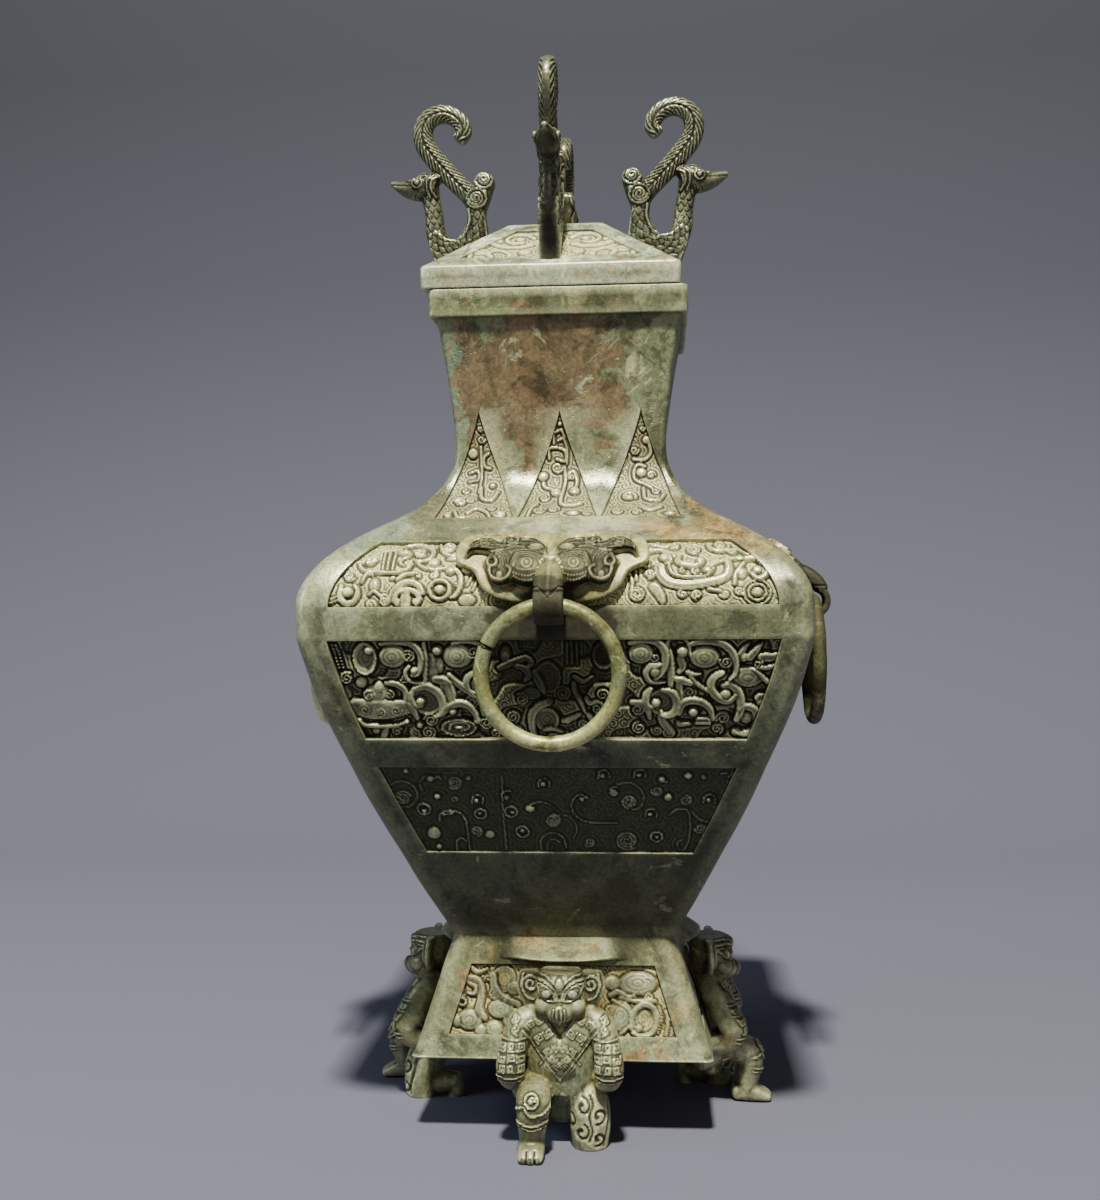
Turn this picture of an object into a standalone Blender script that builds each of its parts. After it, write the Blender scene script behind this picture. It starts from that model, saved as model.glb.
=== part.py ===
# A lidded square bronze vase with bird finials, mask ring holders and kneeling supporters.
# Metres, +Z up. The floor is z = 0, the vessel's axis is the Z axis and its front faces -Y.

import math

import bmesh
import bpy
from mathutils import Matrix, Vector

MM = 0.001
GAP = 0.3 * MM                      # left between pieces that are joined or rest on each other
SINK = 0.8 * MM                     # how far a carved form starts below the ground it stands on
CREST = -0.2 * MM                   # top of the carving against the frame round its panel

# Lengths of the vessel's stretches, from the floor up
FOOT_CLEARANCE = 35.9 * MM          # floor to the foot's lower edge
FOOT_HEIGHT = 52.4 * MM
TAPER_HEIGHT = 141.7 * MM           # foot to belly
BELLY_BAND_HEIGHT = 11.5 * MM
SHOULDER_HEIGHT = 40.5 * MM
FLARE_HEIGHT = 37.0 * MM            # shoulder to the neck's waist
NECK_HEIGHT = 56.0 * MM
RIM_HEIGHT = 13.0 * MM

# Half widths of the square section
FOOT_HALF = 68.5 * MM
BODY_BOTTOM_HALF = 51.7 * MM
BELLY_HALF = 110.8 * MM
FLARE_HALF = 73.0 * MM
WAIST_HALF = 49.2 * MM
NECK_TOP_HALF = 56.8 * MM
RIM_HALF = 59.5 * MM
MOUTH_HALF = 52.2 * MM
MOUTH_DEPTH = 15.0 * MM
WALL = 6.0 * MM                     # measured through the wall
BODY_CORNER = 7.0 * MM              # roundness of the upright edges
NECK_CORNER = 3.0 * MM

# How fast each stretch curves
TAPER_POWER = 1.27
SHOULDER_POWER = 2.1
FLARE_POWER = 2.6
NECK_POWER = 1.5

# Sunk panels: height on the face, margin to the upright edge, depth
SHOULDER_PANEL_DROP = 11.3 * MM     # below the top of the shoulder
SHOULDER_PANEL_HEIGHT = 28.4 * MM
SHOULDER_PANEL_MARGIN = 15.5 * MM
SHOULDER_PANEL_DEPTH = 2.2 * MM
MIDDLE_PANEL_DROP = 2.2 * MM        # below the belly band
MIDDLE_PANEL_HEIGHT = 43.4 * MM
MIDDLE_PANEL_MARGIN = 14.3 * MM
MIDDLE_PANEL_DEPTH = 3.6 * MM
LOWER_PANEL_DROP = 12.9 * MM        # below the middle panel
LOWER_PANEL_HEIGHT = 40.4 * MM
LOWER_PANEL_MARGIN = 13.5 * MM
LOWER_PANEL_DEPTH = 1.4 * MM
FOOT_PANEL_DROP = 12.2 * MM         # below the foot's upper edge
FOOT_PANEL_HEIGHT = 29.7 * MM
FOOT_PANEL_MARGIN = 13.2 * MM
FOOT_PANEL_DEPTH = 2.4 * MM
BLADE_COUNT = 3                     # pointed panels on each side of the neck
BLADE_SPACING = 37.6 * MM
BLADE_HALF = 17.9 * MM
BLADE_HEIGHT = 50.0 * MM
BLADE_DEPTH = 1.6 * MM
HOOD_HALF = 25.0 * MM               # swelling of the foot above each supporter's head
HOOD_HEIGHT = 7.5 * MM
HOOD_REACH = 17.0 * MM

# Lid
LID_HALF = 59.9 * MM
LID_BAND_HEIGHT = 10.0 * MM
LID_RISE = 27.6 * MM
LID_TOP_HALF = 23.0 * MM
LID_WALL = 4.0 * MM
LID_CORNER = 2.5 * MM
FLANGE_DEPTH = 12.0 * MM
FLANGE_WALL = 2.6 * MM
FLANGE_PLAY = 4.4 * MM              # each side, with the lid in the middle
SLIP_GAP = 1.0 * MM                 # left beside the flange where the lid has slid to
LID_PANEL_DROP = 5.0 * MM
LID_PANEL_HEIGHT = 18.0 * MM
LID_PANEL_MARGIN = 11.0 * MM
LID_PANEL_DEPTH = 1.2 * MM

# Birds, whose outline is drawn as shares of the bird's height
BIRD_HEIGHT = 94.5 * MM
BIRD_INSET = 6.5 * MM               # from the lid's edge to the front of the bird's seat
BIRD_HALF_THICKNESS = 5.2 * MM

# Masks
MASK_WIDTH = 80.0 * MM
MASK_RISE = 31.5 * MM               # height of the plate
MASK_DROP = 9.0 * MM                # its top below the top of the shoulder
MASK_THICKNESS = 3.2 * MM
MASK_SEAT_SHARE = 0.58              # of the plate's width
BEAK_HALF = 6.2 * MM
LOOP_WALL = 3.4 * MM
LOOP_PLAY = 1.60 * MM               # round the ring's tube

# Rings
RING_RADIUS = 28.75 * MM
RING_TUBE_RADIUS = 3.25 * MM
RING_STANDOFF = 10.2 * MM           # from the belly to the ring's plane
RING_LIFT = 1.2 * MM                # hinge line above the belly band
BREAK_SPAN = math.radians(5.0)      # the front ring's open joint
BREAK_PLACE = math.radians(156.0)

# Supporters, drawn as shares of their height
FIGURE_TOP_GAP = 1.2 * MM           # from the head to the hood

FOOT_BOTTOM_Z = FOOT_CLEARANCE
FOOT_TOP_Z = FOOT_BOTTOM_Z + FOOT_HEIGHT
BELLY_LOW_Z = FOOT_TOP_Z + TAPER_HEIGHT
BELLY_TOP_Z = BELLY_LOW_Z + BELLY_BAND_HEIGHT
SHOULDER_TOP_Z = BELLY_TOP_Z + SHOULDER_HEIGHT
WAIST_Z = SHOULDER_TOP_Z + FLARE_HEIGHT
NECK_TOP_Z = WAIST_Z + NECK_HEIGHT
RIM_TOP_Z = NECK_TOP_Z + RIM_HEIGHT
LID_BOTTOM_Z = RIM_TOP_Z + GAP
LID_EDGE_Z = LID_BOTTOM_Z + LID_BAND_HEIGHT
LID_TOP_Z = LID_EDGE_Z + LID_RISE
FLANGE_HALF = MOUTH_HALF - FLANGE_PLAY
LID_SLIP = FLANGE_PLAY - SLIP_GAP
RING_PLANE = BELLY_HALF + RING_STANDOFF
RING_AXIS_Z = BELLY_TOP_Z + RING_LIFT

SIDES = {"front": 0, "right": 1, "back": 2, "left": 3}


# The vessel's outline

def half_width(z):
    """Half width of the square section at a height."""
    if z <= FOOT_TOP_Z:
        share = (FOOT_TOP_Z - z) / FOOT_HEIGHT
        return BODY_BOTTOM_HALF + (FOOT_HALF - BODY_BOTTOM_HALF) * share
    if z <= BELLY_LOW_Z:
        share = (BELLY_LOW_Z - z) / TAPER_HEIGHT
        return BELLY_HALF - (BELLY_HALF - BODY_BOTTOM_HALF) * share ** TAPER_POWER
    if z <= BELLY_TOP_Z:
        return BELLY_HALF
    if z <= SHOULDER_TOP_Z:
        share = (z - BELLY_TOP_Z) / SHOULDER_HEIGHT
        return BELLY_HALF - (BELLY_HALF - FLARE_HALF) * share ** SHOULDER_POWER
    if z <= WAIST_Z:
        share = (WAIST_Z - z) / FLARE_HEIGHT
        return WAIST_HALF + (FLARE_HALF - WAIST_HALF) * share ** FLARE_POWER
    share = min((z - WAIST_Z) / NECK_HEIGHT, 1.0)
    return WAIST_HALF + (NECK_TOP_HALF - WAIST_HALF) * share ** NECK_POWER


def slope(z):
    """Change of the half width with height."""
    step = 0.2 * MM
    return (half_width(z + step) - half_width(z - step)) / (2.0 * step)


def climb(z):
    """Height gained for each unit of length along the face."""
    return 1.0 / math.hypot(1.0, slope(z))


def face_point(across, z, lift):
    """Point on the front face: across it, at a height, lifted along its normal."""
    upright = climb(z)
    return Vector((across, -(half_width(z) + lift * upright), z - lift * slope(z) * upright))


def face_length(low, high):
    """Length along the face between two heights."""
    count = 12
    step = (high - low) / count
    return sum(step / climb(low + step * (index + 0.5)) for index in range(count))


def carved_point(across, z, side_step, rise, lift):
    """Point near (across, z), moved in the plane that touches the face there and lifted from it."""
    upright = climb(z)
    up_the_face = Vector((0.0, -slope(z) * upright, upright))
    return face_point(across + side_step, z, lift) + up_the_face * rise


def lid_half(z):
    """Half width of the lid's slope at a height."""
    share = (z - LID_EDGE_Z) / LID_RISE
    return LID_HALF + (LID_TOP_HALF - LID_HALF) * share


def lid_height(reach):
    """Height of the lid's slope at a distance from its middle."""
    return LID_EDGE_Z + LID_RISE * (LID_HALF - reach) / (LID_HALF - LID_TOP_HALF)


# Building blocks

def object_from(name, builder):
    mesh = bpy.data.meshes.new(name)
    builder.to_mesh(mesh)
    builder.free()
    piece = bpy.data.objects.new(name, mesh)
    bpy.context.scene.collection.objects.link(piece)
    return piece


def loft(name, rings):
    """Closed body through rings of equal count, with a flat cap at each end."""
    builder = bmesh.new()
    rows = [[builder.verts.new(point) for point in ring] for ring in rings]
    for lower, upper in zip(rows, rows[1:]):
        for index, corner in enumerate(lower):
            after = (index + 1) % len(lower)
            builder.faces.new((corner, lower[after], upper[after], upper[index]))
    builder.faces.new(rows[0][::-1])
    builder.faces.new(rows[-1])
    bmesh.ops.recalc_face_normals(builder, faces=builder.faces)
    bmesh.ops.connect_verts_nonplanar(builder, angle_limit=math.radians(0.3), faces=builder.faces)
    return object_from(name, builder)


def slab(name, outline, thickness):
    """Upright plate from an outline of (reach, height) points, centred on x = 0."""
    rings = [[Vector((side * thickness / 2.0, -reach, z)) for reach, z in outline] for side in (-1, 1)]
    return loft(name, rings)


def tube(name, path, widths, depths, side, count):
    """Body of oval section along a path; side is the direction of its width."""
    rings = []
    for index, place in enumerate(path):
        before = path[max(index - 1, 0)]
        after = path[min(index + 1, len(path) - 1)]
        along = (after - before).normalized()
        normal = along.cross(side).normalized()
        across = normal.cross(along).normalized()
        ring = []
        for step in range(count):
            angle = 2.0 * math.pi * (step + 0.5) / count
            spread = across * math.cos(angle) * widths[index]
            ring.append(place + spread + normal * math.sin(angle) * depths[index])
        rings.append(ring)
    return loft(name, rings)


def dome(name, across, z, radii, floor, top, count):
    """Low blunt boss on the front face."""
    rings = []
    for share, lift in ((1.0, floor - SINK), (0.55, top)):
        ring = []
        for step in range(count):
            angle = 2.0 * math.pi * (step + 0.5) / count
            aside = radii[0] * share * math.cos(angle)
            rise = radii[1] * share * math.sin(angle)
            ring.append(carved_point(across, z, aside, rise, lift))
        rings.append(ring)
    return loft(name, rings)


def scroll(name, across, z, radius, width, start, sweep, floor, top, count):
    """Raised curl of band on the front face, from one angle round by a sweep."""
    rings = []
    for step in range(count + 1):
        angle = start + sweep * step / count
        ring = []
        for offset, lift in ((0.5, floor - SINK), (0.3, top), (-0.3, top), (-0.5, floor - SINK)):
            reach = radius + width * offset
            ring.append(carved_point(across, z, reach * math.cos(angle), reach * math.sin(angle), lift))
        rings.append(ring)
    return loft(name, rings)


def combine(target, others, operation):
    """Joins other closed bodies to the target, or cuts them from it, and removes them."""
    group = bpy.data.collections.new(target.name + "_tools")
    bpy.context.scene.collection.children.link(group)
    for other in others:
        bpy.context.scene.collection.objects.unlink(other)
        group.objects.link(other)
    cut = target.modifiers.new(operation.lower(), "BOOLEAN")
    cut.operation = operation
    cut.operand_type = "COLLECTION"
    cut.collection = group
    cut.solver = "EXACT"
    depsgraph = bpy.context.evaluated_depsgraph_get()
    mesh = bpy.data.meshes.new_from_object(target.evaluated_get(depsgraph))
    target.modifiers.clear()
    target.data = mesh
    for other in others:
        bpy.data.objects.remove(other)
    bpy.data.collections.remove(group)
    return target


def cut_flat(piece, point, normal):
    """Removes what lies beyond a plane and closes the cut."""
    builder = bmesh.new()
    builder.from_mesh(piece.data)
    geometry = builder.verts[:] + builder.edges[:] + builder.faces[:]
    result = bmesh.ops.bisect_plane(builder, geom=geometry, dist=0.001 * MM, plane_co=point,
                                    plane_no=normal, clear_outer=True)
    edges = [item for item in result["geom_cut"] if isinstance(item, bmesh.types.BMEdge)]
    bmesh.ops.contextual_create(builder, geom=edges)
    builder.to_mesh(piece.data)
    builder.free()
    return piece


def bronze(name, colour, roughness, metallic):
    surface = bpy.data.materials.new(name)
    surface.use_nodes = True
    shader = surface.node_tree.nodes["Principled BSDF"]
    shader.inputs["Base Color"].default_value = (*colour, 1.0)
    shader.inputs["Roughness"].default_value = roughness
    shader.inputs["Metallic"].default_value = metallic
    return surface


def finish(piece, surface):
    """Drops slivers, gives the piece its surface and shades its round parts smooth."""
    builder = bmesh.new()
    builder.from_mesh(piece.data)
    bmesh.ops.dissolve_limit(builder, angle_limit=math.radians(0.8), verts=builder.verts,
                             edges=builder.edges)
    bmesh.ops.triangulate(builder, faces=builder.faces)
    builder.to_mesh(piece.data)
    builder.free()
    piece.data.materials.clear()
    piece.data.materials.append(surface)
    piece.data.shade_smooth()
    piece.data.set_sharp_from_angle(angle=math.radians(35.0))
    return piece


def around(piece, base, shift):
    """Four copies of a front piece, one for each side of the vessel."""
    for side, turns in SIDES.items():
        copy = piece if turns == 0 else bpy.data.objects.new(base, piece.data)
        if turns:
            bpy.context.scene.collection.objects.link(copy)
        copy.name = f"{base}_{side}"
        copy.matrix_world = Matrix.Translation(shift) @ Matrix.Rotation(turns * math.pi / 2.0, 4, "Z")


# The vessel

def square_ring(half, corner, z):
    """Square with its corners cut back to the middle of their roundness."""
    ring = []
    cut = corner * (2.0 - math.sqrt(2.0))
    for quarter in range(4):
        turn = Matrix.Rotation(quarter * math.pi / 2.0, 4, "Z")
        ring.append(turn @ Vector((half - cut, -half, z)))
        ring.append(turn @ Vector((half, -half + cut, z)))
    return ring


def heights(low, high, count):
    """Heights from low to high in equal steps, without the last one."""
    return [low + (high - low) * step / count for step in range(count)]


def outer_heights():
    taper = [BELLY_LOW_Z - TAPER_HEIGHT * (1.0 - step / 5.0) for step in range(5)]
    shoulder = heights(BELLY_TOP_Z, SHOULDER_TOP_Z, 5)
    flare = heights(SHOULDER_TOP_Z, WAIST_Z, 4)
    neck = heights(WAIST_Z, NECK_TOP_Z, 3)
    return taper + [BELLY_LOW_Z] + shoulder + flare + neck + [NECK_TOP_Z]


def inner_half(z):
    return half_width(z) - WALL / climb(z)


def vessel_rings():
    """From the inner floor up the inside, over the rim and down to the hollow of the foot."""
    floor_z = FOOT_TOP_Z + WALL
    inside = [floor_z] + heights(floor_z + 0.15 * TAPER_HEIGHT, BELLY_LOW_Z, 4)
    inside += [BELLY_LOW_Z] + heights(BELLY_TOP_Z, SHOULDER_TOP_Z, 3)
    inside += heights(SHOULDER_TOP_Z, WAIST_Z, 4) + [WAIST_Z, NECK_TOP_Z - NECK_HEIGHT * 0.35]
    corner = BODY_CORNER * 0.5
    rings = [square_ring(inner_half(z), corner, z) for z in inside]
    rings.append(square_ring(MOUTH_HALF, corner, RIM_TOP_Z - MOUTH_DEPTH))
    rings.append(square_ring(MOUTH_HALF, corner, RIM_TOP_Z))
    rings.append(square_ring(RIM_HALF, NECK_CORNER, RIM_TOP_Z))
    rings.append(square_ring(RIM_HALF, NECK_CORNER, NECK_TOP_Z + GAP))
    for z in reversed(outer_heights()):
        corner = NECK_CORNER if z > SHOULDER_TOP_Z else BODY_CORNER
        rings.append(square_ring(half_width(z), corner, z))
    rings.append(square_ring(FOOT_HALF, NECK_CORNER, FOOT_BOTTOM_Z))
    inner_foot = FOOT_HALF - WALL / climb(FOOT_BOTTOM_Z + MM)
    rings.append(square_ring(inner_foot, NECK_CORNER, FOOT_BOTTOM_Z))
    rings.append(square_ring(BODY_BOTTOM_HALF - WALL, NECK_CORNER, FOOT_TOP_Z))
    return rings


def sunk_panel(name, top_z, bottom_z, edges_at, depth, steps):
    """Cutter for a panel sunk into the front face, between the two edges that edges_at gives."""
    rings = []
    for step in range(steps + 1):
        z = top_z + (bottom_z - top_z) * step / steps
        left, right = edges_at(z)
        corners = ((left, WALL), (right, WALL), (right, -depth), (left, -depth))
        rings.append([face_point(across, z, lift) for across, lift in corners])
    return loft(name, rings)


SHOULDER_PANEL_TOP = SHOULDER_TOP_Z - SHOULDER_PANEL_DROP
SHOULDER_PANEL_BOTTOM = SHOULDER_PANEL_TOP - SHOULDER_PANEL_HEIGHT
MIDDLE_PANEL_TOP = BELLY_LOW_Z - MIDDLE_PANEL_DROP
MIDDLE_PANEL_BOTTOM = MIDDLE_PANEL_TOP - MIDDLE_PANEL_HEIGHT
LOWER_PANEL_TOP = MIDDLE_PANEL_BOTTOM - LOWER_PANEL_DROP
LOWER_PANEL_BOTTOM = LOWER_PANEL_TOP - LOWER_PANEL_HEIGHT
FOOT_PANEL_TOP = FOOT_TOP_Z - FOOT_PANEL_DROP
FOOT_PANEL_BOTTOM = FOOT_PANEL_TOP - FOOT_PANEL_HEIGHT
BLADE_BASE_Z = SHOULDER_TOP_Z
HOOD_Z = FOOT_PANEL_TOP + 2.6 * MM


def panel_cutters():
    """All the panels sunk into the front face. The shoulder's has two halves, beside the mask's seat."""
    panels = (
        (MIDDLE_PANEL_TOP, MIDDLE_PANEL_BOTTOM, MIDDLE_PANEL_MARGIN, MIDDLE_PANEL_DEPTH, 3),
        (LOWER_PANEL_TOP, LOWER_PANEL_BOTTOM, LOWER_PANEL_MARGIN, LOWER_PANEL_DEPTH, 2),
        (FOOT_PANEL_TOP, FOOT_PANEL_BOTTOM, FOOT_PANEL_MARGIN, FOOT_PANEL_DEPTH, 1),
    )
    cutters = []
    for top_z, bottom_z, margin, depth, steps in panels:
        cutters.append(sunk_panel("panel", top_z, bottom_z, panel_edges(margin, -1.0), depth, steps))
    inner = MASK_WIDTH * MASK_SEAT_SHARE / 2.0
    for side in (-1.0, 1.0):
        edges = panel_edges(SHOULDER_PANEL_MARGIN, side, inner)
        cutters.append(sunk_panel("panel", SHOULDER_PANEL_TOP, SHOULDER_PANEL_BOTTOM, edges,
                                  SHOULDER_PANEL_DEPTH, 3))
    for place in blade_places():
        cutters.append(blade("blade", place, 3))
    return cutters


def panel_edges(margin, side, inner=None):
    """Left and right edge of a panel at a height, from one margin to the other or to an inner edge."""
    def edges(z):
        outer = half_width(z) - margin
        other = -outer if inner is None else inner
        return sorted((side * outer, side * other))
    return edges


def blade_places():
    return [(index - (BLADE_COUNT - 1) / 2.0) * BLADE_SPACING for index in range(BLADE_COUNT)]


def blade_half(z):
    """Half width of a neck panel, which narrows evenly along the face to a point."""
    tip_z = BLADE_BASE_Z + BLADE_HEIGHT
    share = face_length(z, tip_z) / face_length(BLADE_BASE_Z, tip_z)
    return BLADE_HALF * max(share, 0.01)


def blade(name, place, steps):
    rings = []
    for step in range(steps + 1):
        z = BLADE_BASE_Z + BLADE_HEIGHT * step / steps
        half = blade_half(z)
        corners = ((-half, WALL), (half, WALL), (half, -BLADE_DEPTH), (-half, -BLADE_DEPTH))
        rings.append([face_point(place + across, z, lift) for across, lift in corners])
    return loft(name, rings)


def shoulder_relief():
    """Coiled bosses and a curl on each side of the mask."""
    floor = -SHOULDER_PANEL_DEPTH
    parts = []
    for side in (-1.0, 1.0):
        low = SHOULDER_PANEL_BOTTOM + SHOULDER_PANEL_HEIGHT * 0.30
        high = SHOULDER_PANEL_TOP - SHOULDER_PANEL_HEIGHT * 0.30
        reach = half_width(low) - SHOULDER_PANEL_MARGIN
        parts.append(dome("coil", side * reach * 0.52, low, (5.6 * MM, 5.6 * MM), floor, CREST, 5))
        parts.append(dome("coil", side * reach * 0.62, high, (5.6 * MM, 4.8 * MM), floor, CREST, 5))
        start = math.pi * (0.5 - side * 0.4)
        parts.append(scroll("curl", side * reach * 0.76, low, 6.0 * MM, 3.4 * MM, start,
                            side * math.pi * 1.1, floor, CREST, 3))
    return parts


def middle_relief():
    """Dragon heads in a row, with comma curls below them on both sides of the ring."""
    floor = -MIDDLE_PANEL_DEPTH
    heads = 7
    spacing = 2.0 * (half_width(MIDDLE_PANEL_TOP) - MIDDLE_PANEL_MARGIN) / (heads + 0.6)
    head_z = MIDDLE_PANEL_TOP - MIDDLE_PANEL_HEIGHT * 0.21
    curl_z = MIDDLE_PANEL_TOP - MIDDLE_PANEL_HEIGHT * 0.62
    parts = []
    for index in range(heads):
        place = (index - (heads - 1) / 2.0) * spacing
        parts.append(dome("head", place, head_z, (spacing * 0.42, 7.6 * MM), floor, CREST, 5))
        if index not in (0, 3, 4):
            between = place - spacing / 2.0
            parts.append(scroll("comma", between, curl_z, 6.0 * MM, 4.4 * MM, math.pi * 0.5,
                                math.pi * 1.2, floor, CREST, 3))
    return parts


def foot_relief():
    """Two bosses on each side of the supporter."""
    floor = -FOOT_PANEL_DEPTH
    middle = (FOOT_PANEL_TOP + FOOT_PANEL_BOTTOM) / 2.0
    reach = half_width(middle) - FOOT_PANEL_MARGIN
    parts = []
    for side in (-1.0, 1.0):
        for share, rise, wide, tall in ((0.70, 7.0, 6.0, 4.4), (0.80, -6.0, 5.0, 5.0)):
            parts.append(dome("boss", side * reach * share, middle + rise * MM, (wide * MM, tall * MM),
                              floor, CREST, 5))
    return parts


def hood():
    """Swelling of the foot's upper band that covers a supporter's head."""
    rings = []
    for share, reach in ((1.0, -3.0 * MM), (0.95, HOOD_REACH * 0.55), (0.62, HOOD_REACH)):
        ring = []
        for step in range(6):
            angle = math.pi * step / 5.0
            aside = HOOD_HALF * share * math.cos(angle)
            rise = HOOD_HEIGHT * share * math.sin(angle)
            base = BODY_BOTTOM_HALF + (FOOT_HALF - BODY_BOTTOM_HALF) * (FOOT_TOP_Z - HOOD_Z) / FOOT_HEIGHT
            ring.append(Vector((aside, -(base + reach), HOOD_Z + rise)))
        rings.append(ring)
    return loft("hood", rings)


def mask_outline(share):
    """Half width of the mask's plate, from its top (0) to its bottom (1)."""
    stations = ((0.0, 0.50), (0.10, 0.72), (0.28, 1.0), (0.42, 0.90), (0.62, 0.80), (0.82, 0.62),
                (1.0, 0.34))
    for (start, first), (end, second) in zip(stations, stations[1:]):
        if share <= end:
            return MASK_WIDTH / 2.0 * (first + (second - first) * (share - start) / (end - start))
    return MASK_WIDTH / 2.0 * stations[-1][1]


MASK_TOP_Z = SHOULDER_TOP_Z - MASK_DROP
MASK_ROWS = (0.0, 0.10, 0.28, 0.42, 0.62, 0.82, 1.0)


def mask_body(name, rows, inset, low, high):
    """Plate that follows the shoulder under the mask, between two lifts."""
    rings = []
    for share in rows:
        z = MASK_TOP_Z - MASK_RISE * share
        half = mask_outline(share) - inset
        corners = ((-half, high), (half, high), (half, low), (-half, low))
        rings.append([face_point(across, z, lift) for across, lift in corners])
    return loft(name, rings)


def turned_copies(parts):
    """The parts made for the front face, and their copies on the other three faces."""
    everything = []
    for part in parts:
        everything.append(part)
        for turns in (1, 2, 3):
            copy = bpy.data.objects.new(part.name, part.data.copy())
            bpy.context.scene.collection.objects.link(copy)
            copy.data.transform(Matrix.Rotation(turns * math.pi / 2.0, 4, "Z"))
            everything.append(copy)
    return everything


def make_vessel(surface):
    vessel = loft("vessel", vessel_rings())
    combine(vessel, turned_copies(panel_cutters()), "DIFFERENCE")
    relief = shoulder_relief() + middle_relief() + foot_relief() + [hood()]
    combine(vessel, turned_copies(relief), "UNION")
    finish(vessel, surface)


# The lid

def lid_point(across, z, lift):
    """Point on the lid's front slope, lifted along its normal."""
    run = LID_HALF - LID_TOP_HALF
    length = math.hypot(run, LID_RISE)
    return Vector((across, -(lid_half(z) + lift * LID_RISE / length), z + lift * run / length))


def lid_panel():
    top_z = LID_EDGE_Z + LID_PANEL_DROP + LID_PANEL_HEIGHT
    rings = []
    for z in (LID_EDGE_Z + LID_PANEL_DROP, top_z):
        half = lid_half(z) - LID_PANEL_MARGIN
        corners = ((-half, 2.0 * MM), (half, 2.0 * MM), (half, -LID_PANEL_DEPTH), (-half, -LID_PANEL_DEPTH))
        rings.append([lid_point(across, z, lift) for across, lift in corners])
    return loft("panel", rings)


def bird_seat():
    """Raised ground of the lid's panel under a bird, level with the panel's frame."""
    rings = []
    for reach in (LID_HALF - BIRD_INSET - 1.0 * MM, BIRD_SEAT_BACK - 2.0 * MM):
        z = lid_height(reach)
        half = BIRD_HALF_THICKNESS + 1.5 * MM
        depth = LID_PANEL_DEPTH + SINK
        corners = ((-half, 0.0), (half, 0.0), (half, -depth), (-half, -depth))
        rings.append([lid_point(across, z, lift) for across, lift in corners])
    return loft("bird_seat", rings)


def make_lid(surface):
    inner_edge = FLANGE_HALF - FLANGE_WALL
    run = LID_HALF - LID_TOP_HALF
    drop = LID_WALL * math.hypot(run, LID_RISE) / run
    ceiling_z = LID_TOP_Z - LID_WALL
    rings = [
        square_ring(LID_TOP_HALF - run / LID_RISE * (drop - LID_WALL), LID_CORNER, ceiling_z),
        square_ring(inner_edge, LID_CORNER, lid_height(inner_edge) - drop),
        square_ring(inner_edge, LID_CORNER, LID_BOTTOM_Z - FLANGE_DEPTH),
        square_ring(FLANGE_HALF, LID_CORNER, LID_BOTTOM_Z - FLANGE_DEPTH),
        square_ring(FLANGE_HALF, LID_CORNER, LID_BOTTOM_Z),
        square_ring(LID_HALF, LID_CORNER, LID_BOTTOM_Z),
        square_ring(LID_HALF, LID_CORNER, LID_EDGE_Z),
        square_ring(LID_TOP_HALF, LID_CORNER, LID_TOP_Z),
    ]
    lid = loft("lid", rings)
    combine(lid, turned_copies([lid_panel()]), "DIFFERENCE")
    combine(lid, turned_copies([bird_seat()]), "UNION")
    finish(lid, surface)
    lid.location = (-LID_SLIP, 0.0, 0.0)


# The birds

BIRD = BIRD_HEIGHT / 94.5           # one drawn millimetre of the bird
BIRD_FOOT = LID_HALF - BIRD_INSET   # reach of the front of the bird's foot
BIRD_SEAT_BACK = BIRD_FOOT - 21.0 * BIRD


def bird_place(out, up):
    """Place in the bird's own plane: outwards from its foot and up from the lid there."""
    return (BIRD_FOOT + out * BIRD, lid_height(BIRD_FOOT) + up * BIRD)


def bird_tail_path():
    """From the bird's back up and out, then round in a curl that tightens."""
    path = [(-5.5, 46.0), (5.0, 57.0)]
    for step in range(8):
        share = step / 7.0
        angle = math.radians(-36.0 + 288.0 * share)
        radius = 11.0 - 5.6 * max(share - 0.35, 0.0) / 0.65
        path.append((5.0 + radius * math.cos(angle), 75.0 + radius * math.sin(angle)))
    return path


def bird_tube(name, path, widths, depths, count):
    points = [Vector((0.0, -place[0], place[1])) for place in (bird_place(*point) for point in path)]
    widths = [width * BIRD for width in widths]
    depths = [depth * BIRD for depth in depths]
    return tube(name, points, widths, depths, Vector((1.0, 0.0, 0.0)), count)


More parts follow.
